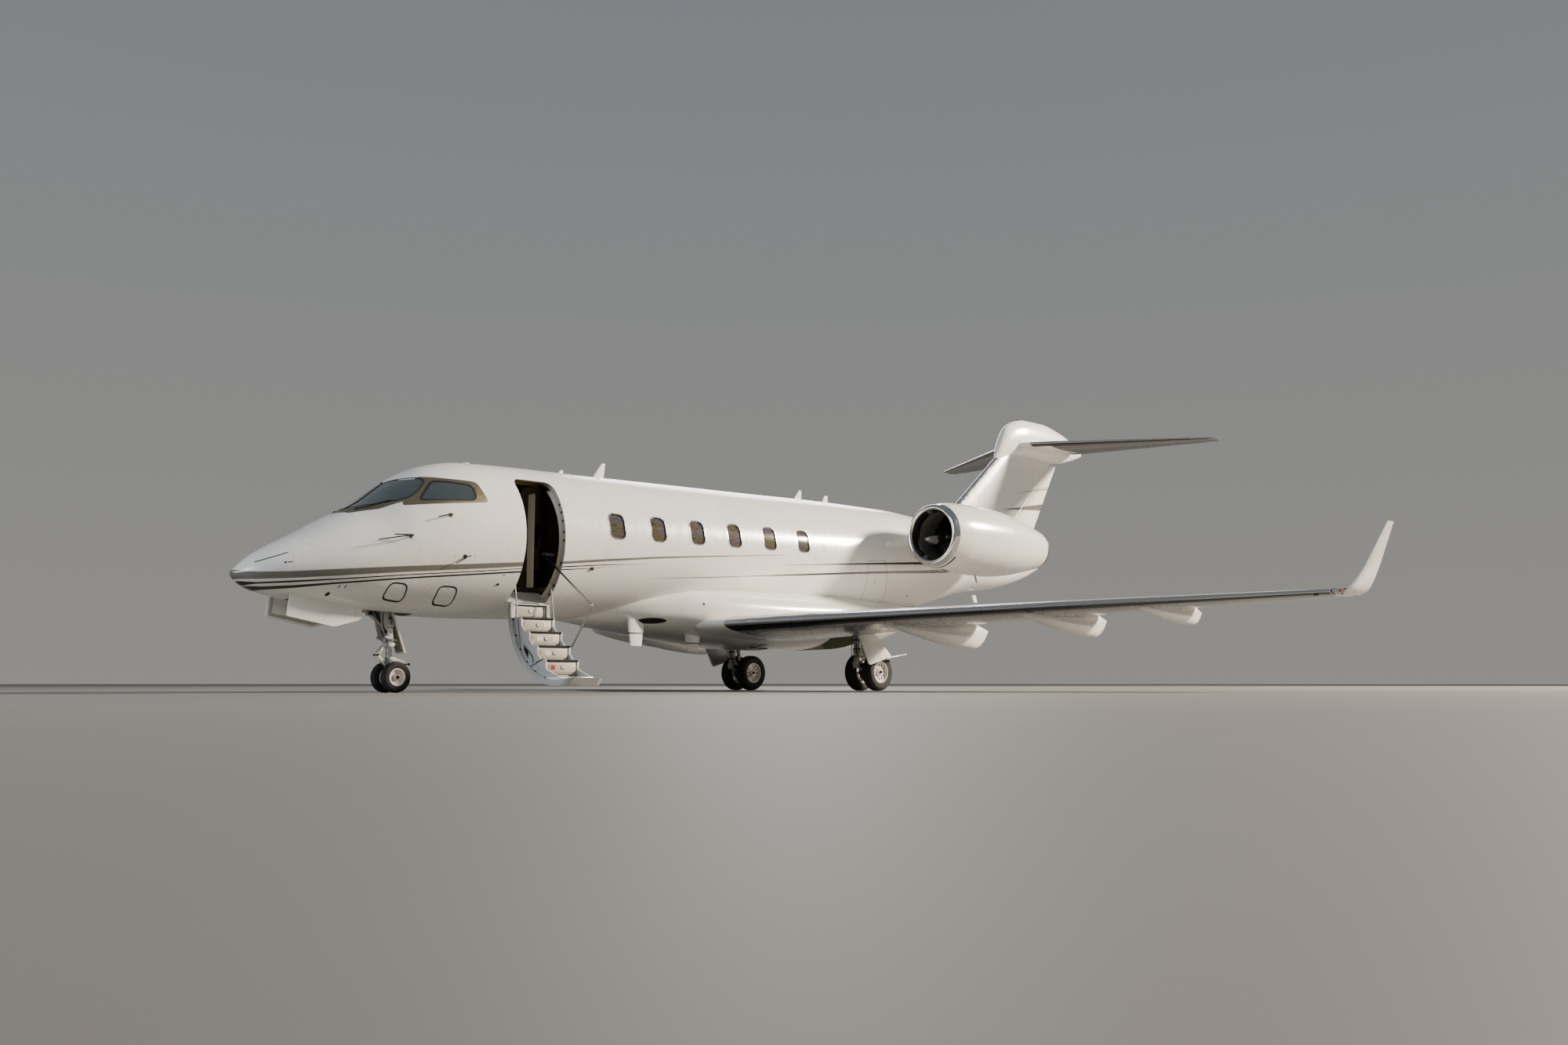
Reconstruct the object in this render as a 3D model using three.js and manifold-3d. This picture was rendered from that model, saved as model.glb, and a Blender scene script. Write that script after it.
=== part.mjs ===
// Business jet with two rear engines and a T-tail, parked on its gear with the airstair down.
// Millimetres. X runs aft, Y to starboard, Z up, the ground is at Z 0.
// Stations are measured aft from the nose tip; the whole aircraft is centred at the end.
import * as THREE from 'three';
import { mergeVertices } from 'three/addons/utils/BufferGeometryUtils.js';
import Module from 'manifold-3d';

const wasm = await Module();
wasm.setup();

// Driving dimensions
const LENGTH = 20920;
const GAP = 0.4;
const MOVING_GAP = 8;
const WALL = 80;
const TAIL_WALL = 50;
const CABIN_RADIUS = 1173;
const AXIS_STATION = 8000;
const AXIS_HEIGHT = 2351;
const AXIS_SLOPE = 0.018;
const RADOME_END = 620;
const FRONT_END = 5000;
const CABIN_END = 10600;
const TAIL_END = 18880;
const COCKPIT_START = 1450;
const FLOOR_BELOW_AXIS = 700;
const FLOOR_THICK = 70;
const RING_POINTS = 32;

const WINDOW_COUNT = 6;
const WINDOW_FIRST = 5621;
const WINDOW_PITCH = 848;
const WINDOW_WIDTH = 330;
const WINDOW_HEIGHT = 410;
const WINDOW_CORNER = 110;
const WINDOW_ABOVE_AXIS = 258;

const DOOR_FRONT = 3885;
const DOOR_AFT = 4600;
const DOOR_SILL = 1335;
const DOOR_TOP = 3180;
const DOOR_CORNER = 120;
const DOOR_SILL_CORNER = 40;
const DOOR_HINGE = { y: -712, z: 1322 };
const DOOR_OPEN = THREE.MathUtils.degToRad(129);

const ENGINE = { start: 12574, y: 1892, z: 2914, slope: -0.02 };
const NOSE_WHEEL = { x: 2418, y: 140, radius: 221, width: 112, rim: 118, axle: 22, sides: 24 };
const MAIN_WHEEL = {
  x: 11086, y: 1605, spread: 205, radius: 334, width: 200, rim: 185, axle: 30, sides: 28,
};
// A bore is wider than its pin by this much, measured at its corners
const PIN_GAP = 0.8;
const HINGE_PIN = { radius: 10, grip: 45, bore: 0.9, sides: 12 };

const whitePaint = () => new THREE.MeshStandardMaterial({ color: 0xf1efe8, roughness: 0.3 });
const polished = () => new THREE.MeshStandardMaterial({ color: 0xc9ccd0, roughness: 0.2, metalness: 1 });
const castMetal = () => new THREE.MeshStandardMaterial({ color: 0x9a9b98, roughness: 0.5, metalness: 0.8 });
const darkMetal = () => new THREE.MeshStandardMaterial({ color: 0x3a3b3d, roughness: 0.5, metalness: 0.7 });
const rubber = () => new THREE.MeshStandardMaterial({ color: 0x1b1b1c, roughness: 0.85 });
const glass = () => new THREE.MeshStandardMaterial({ color: 0x1d2733, roughness: 0.08 });
const trim = () => new THREE.MeshStandardMaterial({ color: 0xd8d2c4, roughness: 0.7 });
const leather = () => new THREE.MeshStandardMaterial({ color: 0xb9a489, roughness: 0.6 });

const aircraft = new THREE.Group();
aircraft.position.x = -LENGTH / 2;

// Solids and meshes
function toSolid(geometry) {
  const bare = geometry.clone();
  bare.deleteAttribute('normal');
  bare.deleteAttribute('uv');
  const merged = mergeVertices(bare, 1e-3);
  const points = merged.attributes.position.array;
  const faces = merged.index.array;
  return new wasm.Manifold(new wasm.Mesh({
    numProp: 3,
    vertProperties: new Float32Array(points),
    triVerts: new Uint32Array(faces),
  }));
}

function toGeometry(solid) {
  const data = solid.getMesh();
  const geometry = new THREE.BufferGeometry();
  geometry.setAttribute('position', new THREE.BufferAttribute(data.vertProperties, 3));
  geometry.setIndex(new THREE.BufferAttribute(data.triVerts, 1));
  geometry.computeVertexNormals();
  return geometry;
}

function addNode(name, solid, material) {
  const mesh = new THREE.Mesh(toGeometry(solid), material);
  mesh.name = name;
  aircraft.add(mesh);
  return mesh;
}

function unite(solids) {
  return solids.reduce((whole, solid) => whole.add(solid));
}

// The same solid after a three.js matrix; a mirror turns its faces over again
function placed(solid, matrix) {
  const geometry = toGeometry(solid);
  geometry.applyMatrix4(matrix);
  if (matrix.determinant() < 0) {
    const order = geometry.index.array;
    for (let i = 0; i < order.length; i += 3) {
      [order[i + 1], order[i + 2]] = [order[i + 2], order[i + 1]];
    }
  }
  return toSolid(geometry);
}

const sideFlip = new THREE.Matrix4().makeScale(1, -1, 1);
const mirrored = (solid, side) => (side > 0 ? solid : placed(solid, sideFlip));
const shifted = (solid, x, y, z) => placed(solid, new THREE.Matrix4().makeTranslation(x, y, z));

// An outline drawn in by a distance (or out, when it is negative); outlines run anticlockwise
function inset(outline, distance) {
  const count = outline.length;
  const area = outline.reduce((sum, [x, y], i) => {
    const [nx, ny] = outline[(i + 1) % count];
    return sum + x * ny - nx * y;
  }, 0);
  const turn = Math.sign(area);
  return outline.map((point, i) => {
    const here = new THREE.Vector2(...point);
    const before = here.clone().sub(new THREE.Vector2(...outline[(i + count - 1) % count])).normalize();
    const after = new THREE.Vector2(...outline[(i + 1) % count]).sub(here).normalize();
    const normal = new THREE.Vector2(-before.y - after.y, before.x + after.x).multiplyScalar(turn);
    const share = 1 + before.dot(after);
    return here.addScaledVector(normal, distance / share).toArray();
  });
}

// A closed skin over rings of equal point count, capped at both ends
function loft(rings) {
  const count = rings[0].length;
  const points = rings.flat();
  const faces = [];
  for (let r = 0; r < rings.length - 1; r += 1) {
    for (let i = 0; i < count; i += 1) {
      const a = r * count + i;
      const b = r * count + ((i + 1) % count);
      faces.push([a, b, a + count], [b, b + count, a + count]);
    }
  }
  for (const [ring, flip] of [[0, true], [rings.length - 1, false]]) {
    const centre = points.length;
    const sum = new THREE.Vector3();
    rings[ring].forEach((p) => sum.add(new THREE.Vector3(...p)));
    points.push(sum.divideScalar(count).toArray());
    for (let i = 0; i < count; i += 1) {
      const a = ring * count + i;
      const b = ring * count + ((i + 1) % count);
      faces.push(flip ? [b, a, centre] : [a, b, centre]);
    }
  }
  let volume = 0;
  for (const [a, b, c] of faces) {
    const p = new THREE.Vector3(...points[a]);
    volume += p.dot(new THREE.Vector3(...points[b]).cross(new THREE.Vector3(...points[c])));
  }
  const index = volume > 0 ? faces : faces.map(([a, b, c]) => [a, c, b]);
  const geometry = new THREE.BufferGeometry();
  geometry.setAttribute('position', new THREE.Float32BufferAttribute(points.flat(), 3));
  geometry.setIndex(index.flat());
  return toSolid(geometry);
}

function box(x0, x1, y0, y1, z0, z1) {
  const geometry = new THREE.BoxGeometry(x1 - x0, y1 - y0, z1 - z0);
  geometry.translate((x0 + x1) / 2, (y0 + y1) / 2, (z0 + z1) / 2);
  return toSolid(geometry);
}

// A cylinder between two points
function rod(from, to, radius, sides = 16) {
  const start = new THREE.Vector3(...from);
  const span = new THREE.Vector3(...to).sub(start);
  const geometry = new THREE.CylinderGeometry(radius, radius, span.length(), sides);
  geometry.translate(0, span.length() / 2, 0);
  const turn = new THREE.Quaternion().setFromUnitVectors(new THREE.Vector3(0, 1, 0), span.normalize());
  geometry.applyQuaternion(turn);
  geometry.translate(...from);
  return toSolid(geometry);
}

// An outline in the side view (station, height) pushed along Y
function sidePrism(outline, y0, y1) {
  const shape = new THREE.Shape(outline.map(([x, z]) => new THREE.Vector2(x, z)));
  const geometry = new THREE.ExtrudeGeometry(shape, { depth: y1 - y0, bevelEnabled: false });
  geometry.rotateX(Math.PI / 2);
  geometry.translate(0, y1, 0);
  return toSolid(geometry);
}

// An outline in the plan view (station, Y) pushed along Z
function planPrism(outline, z0, z1) {
  const shape = new THREE.Shape(outline.map(([x, y]) => new THREE.Vector2(x, y)));
  const geometry = new THREE.ExtrudeGeometry(shape, { depth: z1 - z0, bevelEnabled: false });
  geometry.translate(0, 0, z0);
  return toSolid(geometry);
}

// An outline in the front view (Y, height) pushed along X
function frontPrism(outline, x0, x1) {
  const shape = new THREE.Shape(outline.map(([y, z]) => new THREE.Vector2(y, z)));
  const geometry = new THREE.ExtrudeGeometry(shape, { depth: x1 - x0, bevelEnabled: false });
  geometry.rotateX(Math.PI / 2);
  geometry.rotateZ(Math.PI / 2);
  geometry.translate(x0, 0, 0);
  return toSolid(geometry);
}

function roundedOutline(x0, x1, z0, z1, corner, lower = corner) {
  const outline = [];
  const centres = [[x1 - corner, z1 - corner, corner], [x0 + corner, z1 - corner, corner],
    [x0 + lower, z0 + lower, lower], [x1 - lower, z0 + lower, lower]];
  centres.forEach(([cx, cz, radius], quarter) => {
    for (let i = 0; i <= 3; i += 1) {
      const angle = (quarter + i / 3) * Math.PI / 2;
      outline.push([cx + radius * Math.cos(angle), cz + radius * Math.sin(angle)]);
    }
  });
  return outline;
}

// A body of revolution about a line along X, from [station, radius] pairs
function turned(profile, y, z, sides = 28) {
  const points = profile.map(([x, r]) => new THREE.Vector2(r, x));
  const geometry = new THREE.LatheGeometry(points, sides);
  geometry.rotateZ(-Math.PI / 2);
  geometry.translate(0, y, z);
  return oriented(geometry);
}

// A wheel or disc about a line along Y, from [Y, radius] pairs
function turnedAcross(profile, x, z, sides = 40) {
  const points = profile.map(([y, r]) => new THREE.Vector2(r, y));
  const geometry = new THREE.LatheGeometry(points, sides, Math.PI / sides);
  geometry.translate(x, 0, z);
  return oriented(geometry);
}

// Turned shapes may be drawn in either direction, so their faces are set outward here
function oriented(geometry) {
  const order = geometry.index.array;
  const spots = geometry.attributes.position;
  const point = (i) => new THREE.Vector3().fromBufferAttribute(spots, order[i]);
  let volume = 0;
  for (let i = 0; i < order.length; i += 3) {
    volume += point(i).dot(point(i + 1).cross(point(i + 2)));
  }
  if (volume < 0) {
    for (let i = 0; i < order.length; i += 3) {
      [order[i + 1], order[i + 2]] = [order[i + 2], order[i + 1]];
    }
  }
  return toSolid(geometry);
}

// Pins at both ends of a hinge line: they stand in what carries the surface and reach into its bores
function hingePins(inner, outer, reach, grow = 0) {
  const [a, b] = [inner, outer].map((end) => new THREE.Vector3(...end));
  const along = b.clone().sub(a).normalize();
  return unite([[a, -reach[0], HINGE_PIN.grip], [b, reach[1], -HINGE_PIN.grip]].map(([end, out, into]) => {
    const foot = end.clone().addScaledVector(along, out);
    const tip = end.clone().addScaledVector(along, into + Math.sign(into) * grow);
    return rod(foot.toArray(), tip.toArray(), HINGE_PIN.radius + grow, HINGE_PIN.sides);
  }));
}

// Fuselage
const axisHeight = (station) => AXIS_HEIGHT + AXIS_SLOPE * (station - AXIS_STATION);
const barrelRow = (s) => [s, CABIN_RADIUS, axisHeight(s) + CABIN_RADIUS, axisHeight(s) - CABIN_RADIUS];

// Columns: station, half width, top height, bottom height
const fuselageRows = [
  [0, 14, 1603, 1575],
  [20, 66, 1624, 1536],
  [60, 118, 1652, 1499],
  [200, 285, 1782, 1407],
  [450, 462, 1953, 1327],
  [850, 660, 2170, 1252],
  [1300, 835, 2427, 1180],
  [1750, 965, 2669, 1137],
  [2200, 1060, 3009, 1112],
  [2700, 1128, 3286, 1100],
  [3300, 1163, 3421, 1095],
  barrelRow(4000),
  barrelRow(11800),
  [13000, 1120, 3590, 1395],
  [14300, 985, 3520, 1690],
  [15800, 730, 3400, 2030],
  [17200, 450, 3230, 2215],
  [18300, 250, 3090, 2480],
  [TAIL_END, 120, 2980, 2700],
];

function sectionAt(rows, station) {
  const after = rows.findIndex((row) => row[0] >= station);
  const b = rows[Math.max(after, 1)];
  const a = rows[Math.max(after, 1) - 1];
  const t = (station - a[0]) / (b[0] - a[0]);
  return a.map((value, i) => value + t * (b[i] - value));
}

function ovalRing([station, half, top, bottom], grow = 0, power = 1, count = RING_POINTS) {
  const ring = [];
  for (let i = 0; i < count; i += 1) {
    const angle = (i / count) * 2 * Math.PI;
    const c = Math.sign(Math.cos(angle)) * Math.abs(Math.cos(angle)) ** power;
    const s = Math.sign(Math.sin(angle)) * Math.abs(Math.sin(angle)) ** power;
    const high = (top - bottom) / 2 + grow;
    ring.push([station, (half + grow) * s, (top + bottom) / 2 + high * c]);
  }
  return ring;
}

function bodyLoft(rows, from, to, grow = 0, power = 1, count = RING_POINTS) {
  const inside = rows.filter((row) => row[0] > from + 1 && row[0] < to - 1);
  const all = [sectionAt(rows, from), ...inside, sectionAt(rows, to)];
  return loft(all.map((row) => ovalRing(row, grow, power, count)));
}

const fuselage = (from, to, grow = 0) => bodyLoft(fuselageRows, from, to, grow);
const wholeFuselage = fuselage(0, TAIL_END, GAP);
const cabinRoom = fuselage(COCKPIT_START, CABIN_END + 10, -WALL - GAP);

// Windshield: frame and panes form one insert in the nose skin
const WINDSHIELD_DEPTH = 34;
const windshieldPlan = [[1425, 0], [1500, -330], [1800, -590], [2240, -820], [2500, -600], [2330, -350],
  [2190, 0], [2330, 350], [2500, 600], [2240, 820], [1800, 590], [1500, 330]];
const sideWindowView = [[2050, 2600], [3300, 2735], [3205, 3045], [2380, 3085]];

function windshieldZone(shrink) {
  const front = planPrism(inset(windshieldPlan, shrink), 2300, 3300);
  const sides = [-1, 1].map((side) => {
    const [y0, y1] = side < 0 ? [-1200, -480] : [480, 1200];
    return sidePrism(inset(sideWindowView, shrink), y0, y1);
  });
  return unite([front, ...sides]);
}

function noseSkin(depth) {
  return fuselage(1300, 3500).subtract(fuselage(1200, 3600, -depth));
}

const windshieldOuter = windshieldZone(0);
const WINDSHIELD_LIP = 30;
addNode('windshield', noseSkin(WINDSHIELD_DEPTH - GAP).intersect(windshieldZone(GAP)), glass());

// Nose cone
addNode('radome', fuselage(0, RADOME_END - GAP), whitePaint());

// Nose gear bay under the flight deck
const BAY = { front: 760, aft: 2600, half: 250, top: 1430, wall: 20 };
const bayRoom = box(BAY.front, BAY.aft, -BAY.half, BAY.half, 900, BAY.top);
const bayWalls = box(BAY.front - BAY.wall, BAY.aft + BAY.wall, -BAY.half - BAY.wall,
  BAY.half + BAY.wall, 900, BAY.top + BAY.wall).intersect(fuselage(RADOME_END, FRONT_END));

const doorOutline = (clearance) => roundedOutline(DOOR_FRONT + clearance, DOOR_AFT - clearance,
  DOOR_SILL + clearance, DOOR_TOP - clearance, DOOR_CORNER, DOOR_SILL_CORNER);

// The sill is cut square to the skin, on a line that points at the fuselage axis
const sill = new THREE.Vector2(-695, DOOR_SILL);
const sillInward = new THREE.Vector2(0, axisHeight(DOOR_FRONT)).sub(sill).normalize();
const sillUpward = new THREE.Vector2(-sillInward.y, sillInward.x);
const sillPoint = (up, inward) => sill.clone().addScaledVector(sillUpward, up)
  .addScaledVector(sillInward, inward).toArray();

function doorPrism(clearance) {
  const [low, high] = [sillPoint(clearance, -200), sillPoint(clearance, 250)];
  const wedge = frontPrism([low, [high[0], low[1]], high], DOOR_FRONT - 20, DOOR_AFT + 20);
  return sidePrism(doorOutline(clearance), -1400, high[0]).subtract(wedge);
}

// Two hinges stand outside the sill; each has a knuckle on the door next to one on the fuselage
const KNUCKLE = { radius: 14, width: 46, lug: [-16, 14], stations: [3990, 4455] };

function knuckles(offset, [near, far]) {
  const { y, z } = DOOR_HINGE;
  return unite(KNUCKLE.stations.map((station) => {
    const start = station + offset;
    const end = start + KNUCKLE.width;
    const [outside, inside] = KNUCKLE.lug;
    const corners = [[near, outside], [far, outside], [far, inside], [near, inside]];
    const lug = frontPrism(corners.map(([up, inward]) => sillPoint(up, inward)), start, end);
    return rod([start, y, z], [end, y, z], KNUCKLE.radius, 10).add(lug);
  }));
}

const doorway = doorPrism(0);

const frontShell = fuselage(RADOME_END, FRONT_END)
  .subtract(fuselage(COCKPIT_START, FRONT_END + 10, -WALL))
  .add(bayWalls)
  .subtract(bayRoom)
  .subtract(doorway)
  .subtract(noseSkin(WINDSHIELD_DEPTH).intersect(windshieldOuter))
  .subtract(windshieldZone(WINDSHIELD_LIP))
  .add(knuckles(0, [-40, -3]));
addNode('front_fuselage', frontShell, whitePaint());

// Blade antennas on the crown and under the belly
// Columns: foot station, foot chord, tip sweep, tip chord, height out of the skin
const crownAntennas = [[5560, 120, 70, 50, 80], [6050, 230, 170, 70, 215]];
const tailAntennas = [[10800, 230, 170, 70, 215], [11600, 190, 90, 90, 165]];
const bellyAntennas = [[6230, 320, 60, 230, 360], [7460, 320, 60, 230, 300]];
const ANTENNA = { foot: 13, tip: 7, buried: 15, bellyFoot: 24, bellyTip: 14, bellySide: -700 };

// A diamond section at the foot and at the tip, by height
function bladeAntenna([x, chord, sweep, tip, height], { y, foot, up, root, end }) {
  return loft([[x, chord, foot, root], [x + sweep, tip, foot + up * height, end]]
    .map(([start, length, z, half]) => [[start, y, z], [start + length * 0.4, y + half, z],
      [start + length, y, z], [start + length * 0.4, y - half, z]]));
}

const onCrown = (row) => bladeAntenna(row, {
  y: 0,
  foot: axisHeight(row[0]) + CABIN_RADIUS - ANTENNA.buried,
  up: 1,
  root: ANTENNA.foot,
  end: ANTENNA.tip,
});

// Cabin barrel with six windows a side
function windowCut(i, shrink, y0, y1) {
  const x = WINDOW_FIRST + i * WINDOW_PITCH;
  const z = axisHeight(x) + WINDOW_ABOVE_AXIS;
  return sidePrism(roundedOutline(x - WINDOW_WIDTH / 2 + shrink, x + WINDOW_WIDTH / 2 - shrink,
    z - WINDOW_HEIGHT / 2 + shrink, z + WINDOW_HEIGHT / 2 - shrink, WINDOW_CORNER - shrink), y0, y1);
}

const windowIndexes = [...Array(WINDOW_COUNT).keys()];

const cabinShell = fuselage(FRONT_END + GAP, CABIN_END)
  .subtract(fuselage(FRONT_END - 10, CABIN_END + 10, -WALL))
  .subtract(unite(windowIndexes.map((i) => windowCut(i, 0, -1400, 1400))))
  .add(unite(crownAntennas.map(onCrown)));
addNode('cabin_fuselage', cabinShell, whitePaint());

// Tail shell with the aft pressure bulkhead as a plate across its mouth
const tailShell = fuselage(CABIN_END + GAP, TAIL_END)
  .subtract(fuselage(CABIN_END - 10, TAIL_END - 500, -TAIL_WALL))
  .add(unite(tailAntennas.map(onCrown)));
addNode('tail_fuselage', tailShell, whitePaint());
const BULKHEAD = { front: CABIN_END + 20, thick: 40 };
const bulkhead = fuselage(BULKHEAD.front, BULKHEAD.front + BULKHEAD.thick, -TAIL_WALL - GAP);
addNode('aft_bulkhead', bulkhead, trim());

// Window bands: trim panels inside the barrel that carry the panes
function windowBand(side) {
  const [y0, y1] = side < 0 ? [-1400, 0] : [0, 1400];
  const first = WINDOW_FIRST - 350;
  const last = WINDOW_FIRST + (WINDOW_COUNT - 1) * WINDOW_PITCH + 350;
  const lining = fuselage(first, last, -WALL - GAP)
    .subtract(fuselage(first - 10, last + 10, -WALL - GAP - 18));
  const low = axisHeight(first) + WINDOW_ABOVE_AXIS - WINDOW_HEIGHT / 2 - 90;
  const high = axisHeight(last) + WINDOW_ABOVE_AXIS + WINDOW_HEIGHT / 2 + 90;
  const strip = lining.intersect(box(first, last, y0, y1, low, high));
  const glassLayer = fuselage(first, last, -12).subtract(fuselage(first - 10, last + 10, -WALL - GAP - 18));
  const panes = windowIndexes.map((i) => glassLayer.intersect(windowCut(i, GAP, y0, y1)));
  return unite([strip, ...panes]);
}

addNode('window_band_port', windowBand(-1), glass());
addNode('window_band_stbd', windowBand(1), glass());

// Cabin floor, cut back at the entry
const floorAt = (station) => axisHeight(station) - FLOOR_BELOW_AXIS;

function cabinFloor() {
  const from = COCKPIT_START + 400;
  const to = CABIN_END - 20;
  const ends = [from, to].map((s) => floorAt(s));
  const slab = sidePrism([[from, ends[0] - FLOOR_THICK], [to, ends[1] - FLOOR_THICK],
    [to, ends[1]], [from, ends[0]]], -1200, 1200);
  const entry = box(DOOR_FRONT - 20, DOOR_AFT + 20, -1200, -430, 1000, 2000);
  return slab.intersect(cabinRoom).subtract(entry);
}

addNode('cabin_floor', cabinFloor(), trim());

// Flight deck: instrument panel with its coaming, and two seats on a pedestal
function instrumentPanel() {
  const block = sidePrism([[1560, 2150], [2010, floorAt(2010) + GAP], [2060, floorAt(2060) + GAP],
    [2060, 2480], [1960, 2530], [1640, 2400]], -1100, 1100);
  return block.intersect(cabinRoom);
}

addNode('instrument_panel', instrumentPanel(), darkMetal());

function seat(x, y, width, backHeight, base) {
  const cushion = box(x, x + 480, y - width / 2, y + width / 2, base + 330, base + 450);
  const back = sidePrism([[x + 440, base + 380], [x + 540, base + 360], [x + 660, base + backHeight],
    [x + 570, base + backHeight]], y - width / 2, y + width / 2);
  const foot = box(x + 120, x + 420, y - 110, y + 110, base + 14, base + 340);
  return unite([cushion, back, foot]);
}

const flightSeats = [-430, 430].map((y) => seat(2450, y, 460, 1180, floorAt(3000)));
const pedestal = box(2470, 2850, -225, 225, floorAt(2850) + GAP, floorAt(3000) + 400);
addNode('flight_deck_seats', unite([...flightSeats, pedestal]), leather());

// Partition behind the entry, with the aisle opening
function partition(station, aisleHalf) {
  const foot = floorAt(station) + GAP + 1;
  const plate = cabinRoom.intersect(box(station, station + 40, -1200, 1200, foot, 3600));
  return plate.subtract(box(station - 50, station + 90, -aisleHalf, aisleHalf, 0, floorAt(station) + 1620));
}

addNode('cabin_partition', partition(4760, 300), trim());
addNode('flight_deck_partition', partition(3700, 330), trim());

// Cabin seats, four a side on a rail
const seatStations = [5350, 6450, 7900, 9000];

function seatRow(side) {
  const rail = sidePrism([[5350, floorAt(5350) + GAP], [9500, floorAt(9500) + GAP],
    [9500, floorAt(9500) + 30], [5350, floorAt(5350) + 30]], side * 640 - 90, side * 640 + 90);
  const seats = seatStations.map((x) => seat(x, side * 640, 560, 1050, floorAt(x + 420)));
  return unite([rail, ...seats]);
}

addNode('cabin_seats_port', seatRow(-1), leather());
addNode('cabin_seats_stbd', seatRow(1), leather());

// Airstair door: the cut-out skin swung down about its sill, with five steps and a foot plate
const STEP = { front: 3940, aft: 4545, firstY: -800, firstZ: 1315, run: 205, rise: 210, count: 5 };

function swingOpen(solid) {
  const swing = new THREE.Matrix4().makeTranslation(0, DOOR_HINGE.y, DOOR_HINGE.z);
  swing.multiply(new THREE.Matrix4().makeRotationX(DOOR_OPEN));
  swing.multiply(new THREE.Matrix4().makeTranslation(0, -DOOR_HINGE.y, -DOOR_HINGE.z));
  return placed(solid, swing);
}

function doorShell() {
  const skin = fuselage(DOOR_FRONT - 50, DOOR_AFT + 50)
    .subtract(fuselage(DOOR_FRONT - 60, DOOR_AFT + 60, -WALL));
  return swingOpen(skin.intersect(doorPrism(MOVING_GAP)).add(knuckles(KNUCKLE.width + GAP, [9, 36])));
}

function stairOutline() {
  const outline = [[STEP.firstY + 55, STEP.firstZ]];
  for (let i = 0; i < STEP.count; i += 1) {
    const y = STEP.firstY - i * STEP.run;
    const z = STEP.firstZ - i * STEP.rise;
    outline.push([y, z], [y, z - STEP.rise]);
  }
  outline.pop();
  const lastY = STEP.firstY - (STEP.count - 1) * STEP.run;
  const lastZ = STEP.firstZ - STEP.count * STEP.rise;
  outline.push([lastY, lastZ - 60], [lastY + 110, lastZ - 30], [STEP.firstY + 55, STEP.firstZ - 230]);
  return outline;
}

function airstair() {
  const shell = doorShell();
  const treads = frontPrism(stairOutline(), STEP.front, STEP.aft);
  const web = [[-860, 1130], [-1640, 330], [-1960, 215], [-2040, 170], [-1860, 130], [-1300, 240],
    [-800, 900]];
  const inner = fuselage(DOOR_FRONT - 60, DOOR_AFT + 60, -WALL + 20);
  const room = swingOpen(inner.intersect(box(DOOR_FRONT, DOOR_AFT, -1400, 0, 1000, 3400)));
  const slot = [[-1080, 600], [-1080, 740], [-1200, 600], [-1200, 470]];
  const opening = frontPrism(slot, STEP.front, STEP.aft);
  const webs = [STEP.front, STEP.aft - 30]
    .map((x) => frontPrism(web, x, x + 30).intersect(room).subtract(opening));
  const plate = box(STEP.front, STEP.aft, -1960, -1500, 140, 225);
  return unite([shell, treads, ...webs, plate]);
}

addNode('airstair_door', airstair(), whitePaint());

// Handrail post, bent tube on the aft side of the steps
const HANDRAIL = { side: STEP.aft + 22, foot: [-1385, 640], elbow: [-1840, 1216], radius: 13, boss: 24 };

function handrail() {
  const { side, foot: [y, z], elbow, radius, boss } = HANDRAIL;
  const post = rod([side, y, z], [side, ...elbow], radius, 10);
  const seat = rod([STEP.aft + GAP, y, z + 5], [side + 14, y, z + 5], boss, 10);
  return unite([post, seat]);
}

addNode('airstair_handrail', handrail(), polished());

// Belly fairing round the wing roots, hollowed for the main wheels
// Columns: station, half width, top height, bottom height
const bellyRows = [
  [5250, 120, 1260, 1140],
  [5900, 560, 1560, 1070],
  [6700, 930, 1700, 965],
  [7500, 1150, 1800, 880],
  [8500, 1265, 1820, 780],
  [9400, 1290, 1830, 725],
  [10700, 1285, 1830, 738],
  [11860, 1200, 1800, 790],
  [12900, 950, 1760, 1000],
  [14000, 480, 1700, 1480],
];
const BELLY_POWER = 0.8;
const BELLY_FOOT = 60;
const belly = (grow = 0) => bodyLoft(bellyRows, 5250, 14000, grow, BELLY_POWER);
const WELL = { front: 10620, aft: 11560, inner: 120, outer: 1180, top: 1130 };

// The height of the fairing's skin on its under side
function bellySkin(x, y) {
  const [, half, top, bottom] = sectionAt(bellyRows, x);
  const angle = Math.asin(Math.min(1, Math.abs(y) / half) ** (1 / BELLY_POWER));
  return (top + bottom) / 2 - ((top - bottom) / 2) * Math.cos(angle) ** BELLY_POWER;
}

const underBelly = (row) => bladeAntenna(row, {
  y: ANTENNA.bellySide,
  foot: bellySkin(row[0] + row[1] / 2, ANTENNA.bellySide) + BELLY_FOOT,
  up: -1,
  root: ANTENNA.bellyFoot,
  end: ANTENNA.bellyTip,
});

function bellyFairing() {
  const wells = [-1, 1].map((side) => {
    const [y0, y1] = [side * WELL.inner, side * WELL.outer].sort((a, b) => a - b);
    return box(WELL.front, WELL.aft, y0, y1, 400, WELL.top);
  });
  return belly().add(unite(bellyAntennas.map(underBelly))).subtract(wholeFuselage).subtract(unite(wells));
}

addNode('belly_fairing', bellyFairing(), whitePaint());

// Flying surfaces are blades: rows of leading edge point, chord, thickness and lean
// The lean turns the thickness from upright (0) to sideways (90 degrees)
// Columns: chord fraction, half thickness fraction
const airfoil = [[0, 0], [0.015, 0.3], [0.06, 0.56], [0.16, 0.82], [0.38, 1], [0.6, 0.84], [0.8, 0.47],
  [1, 0.05]];

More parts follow.
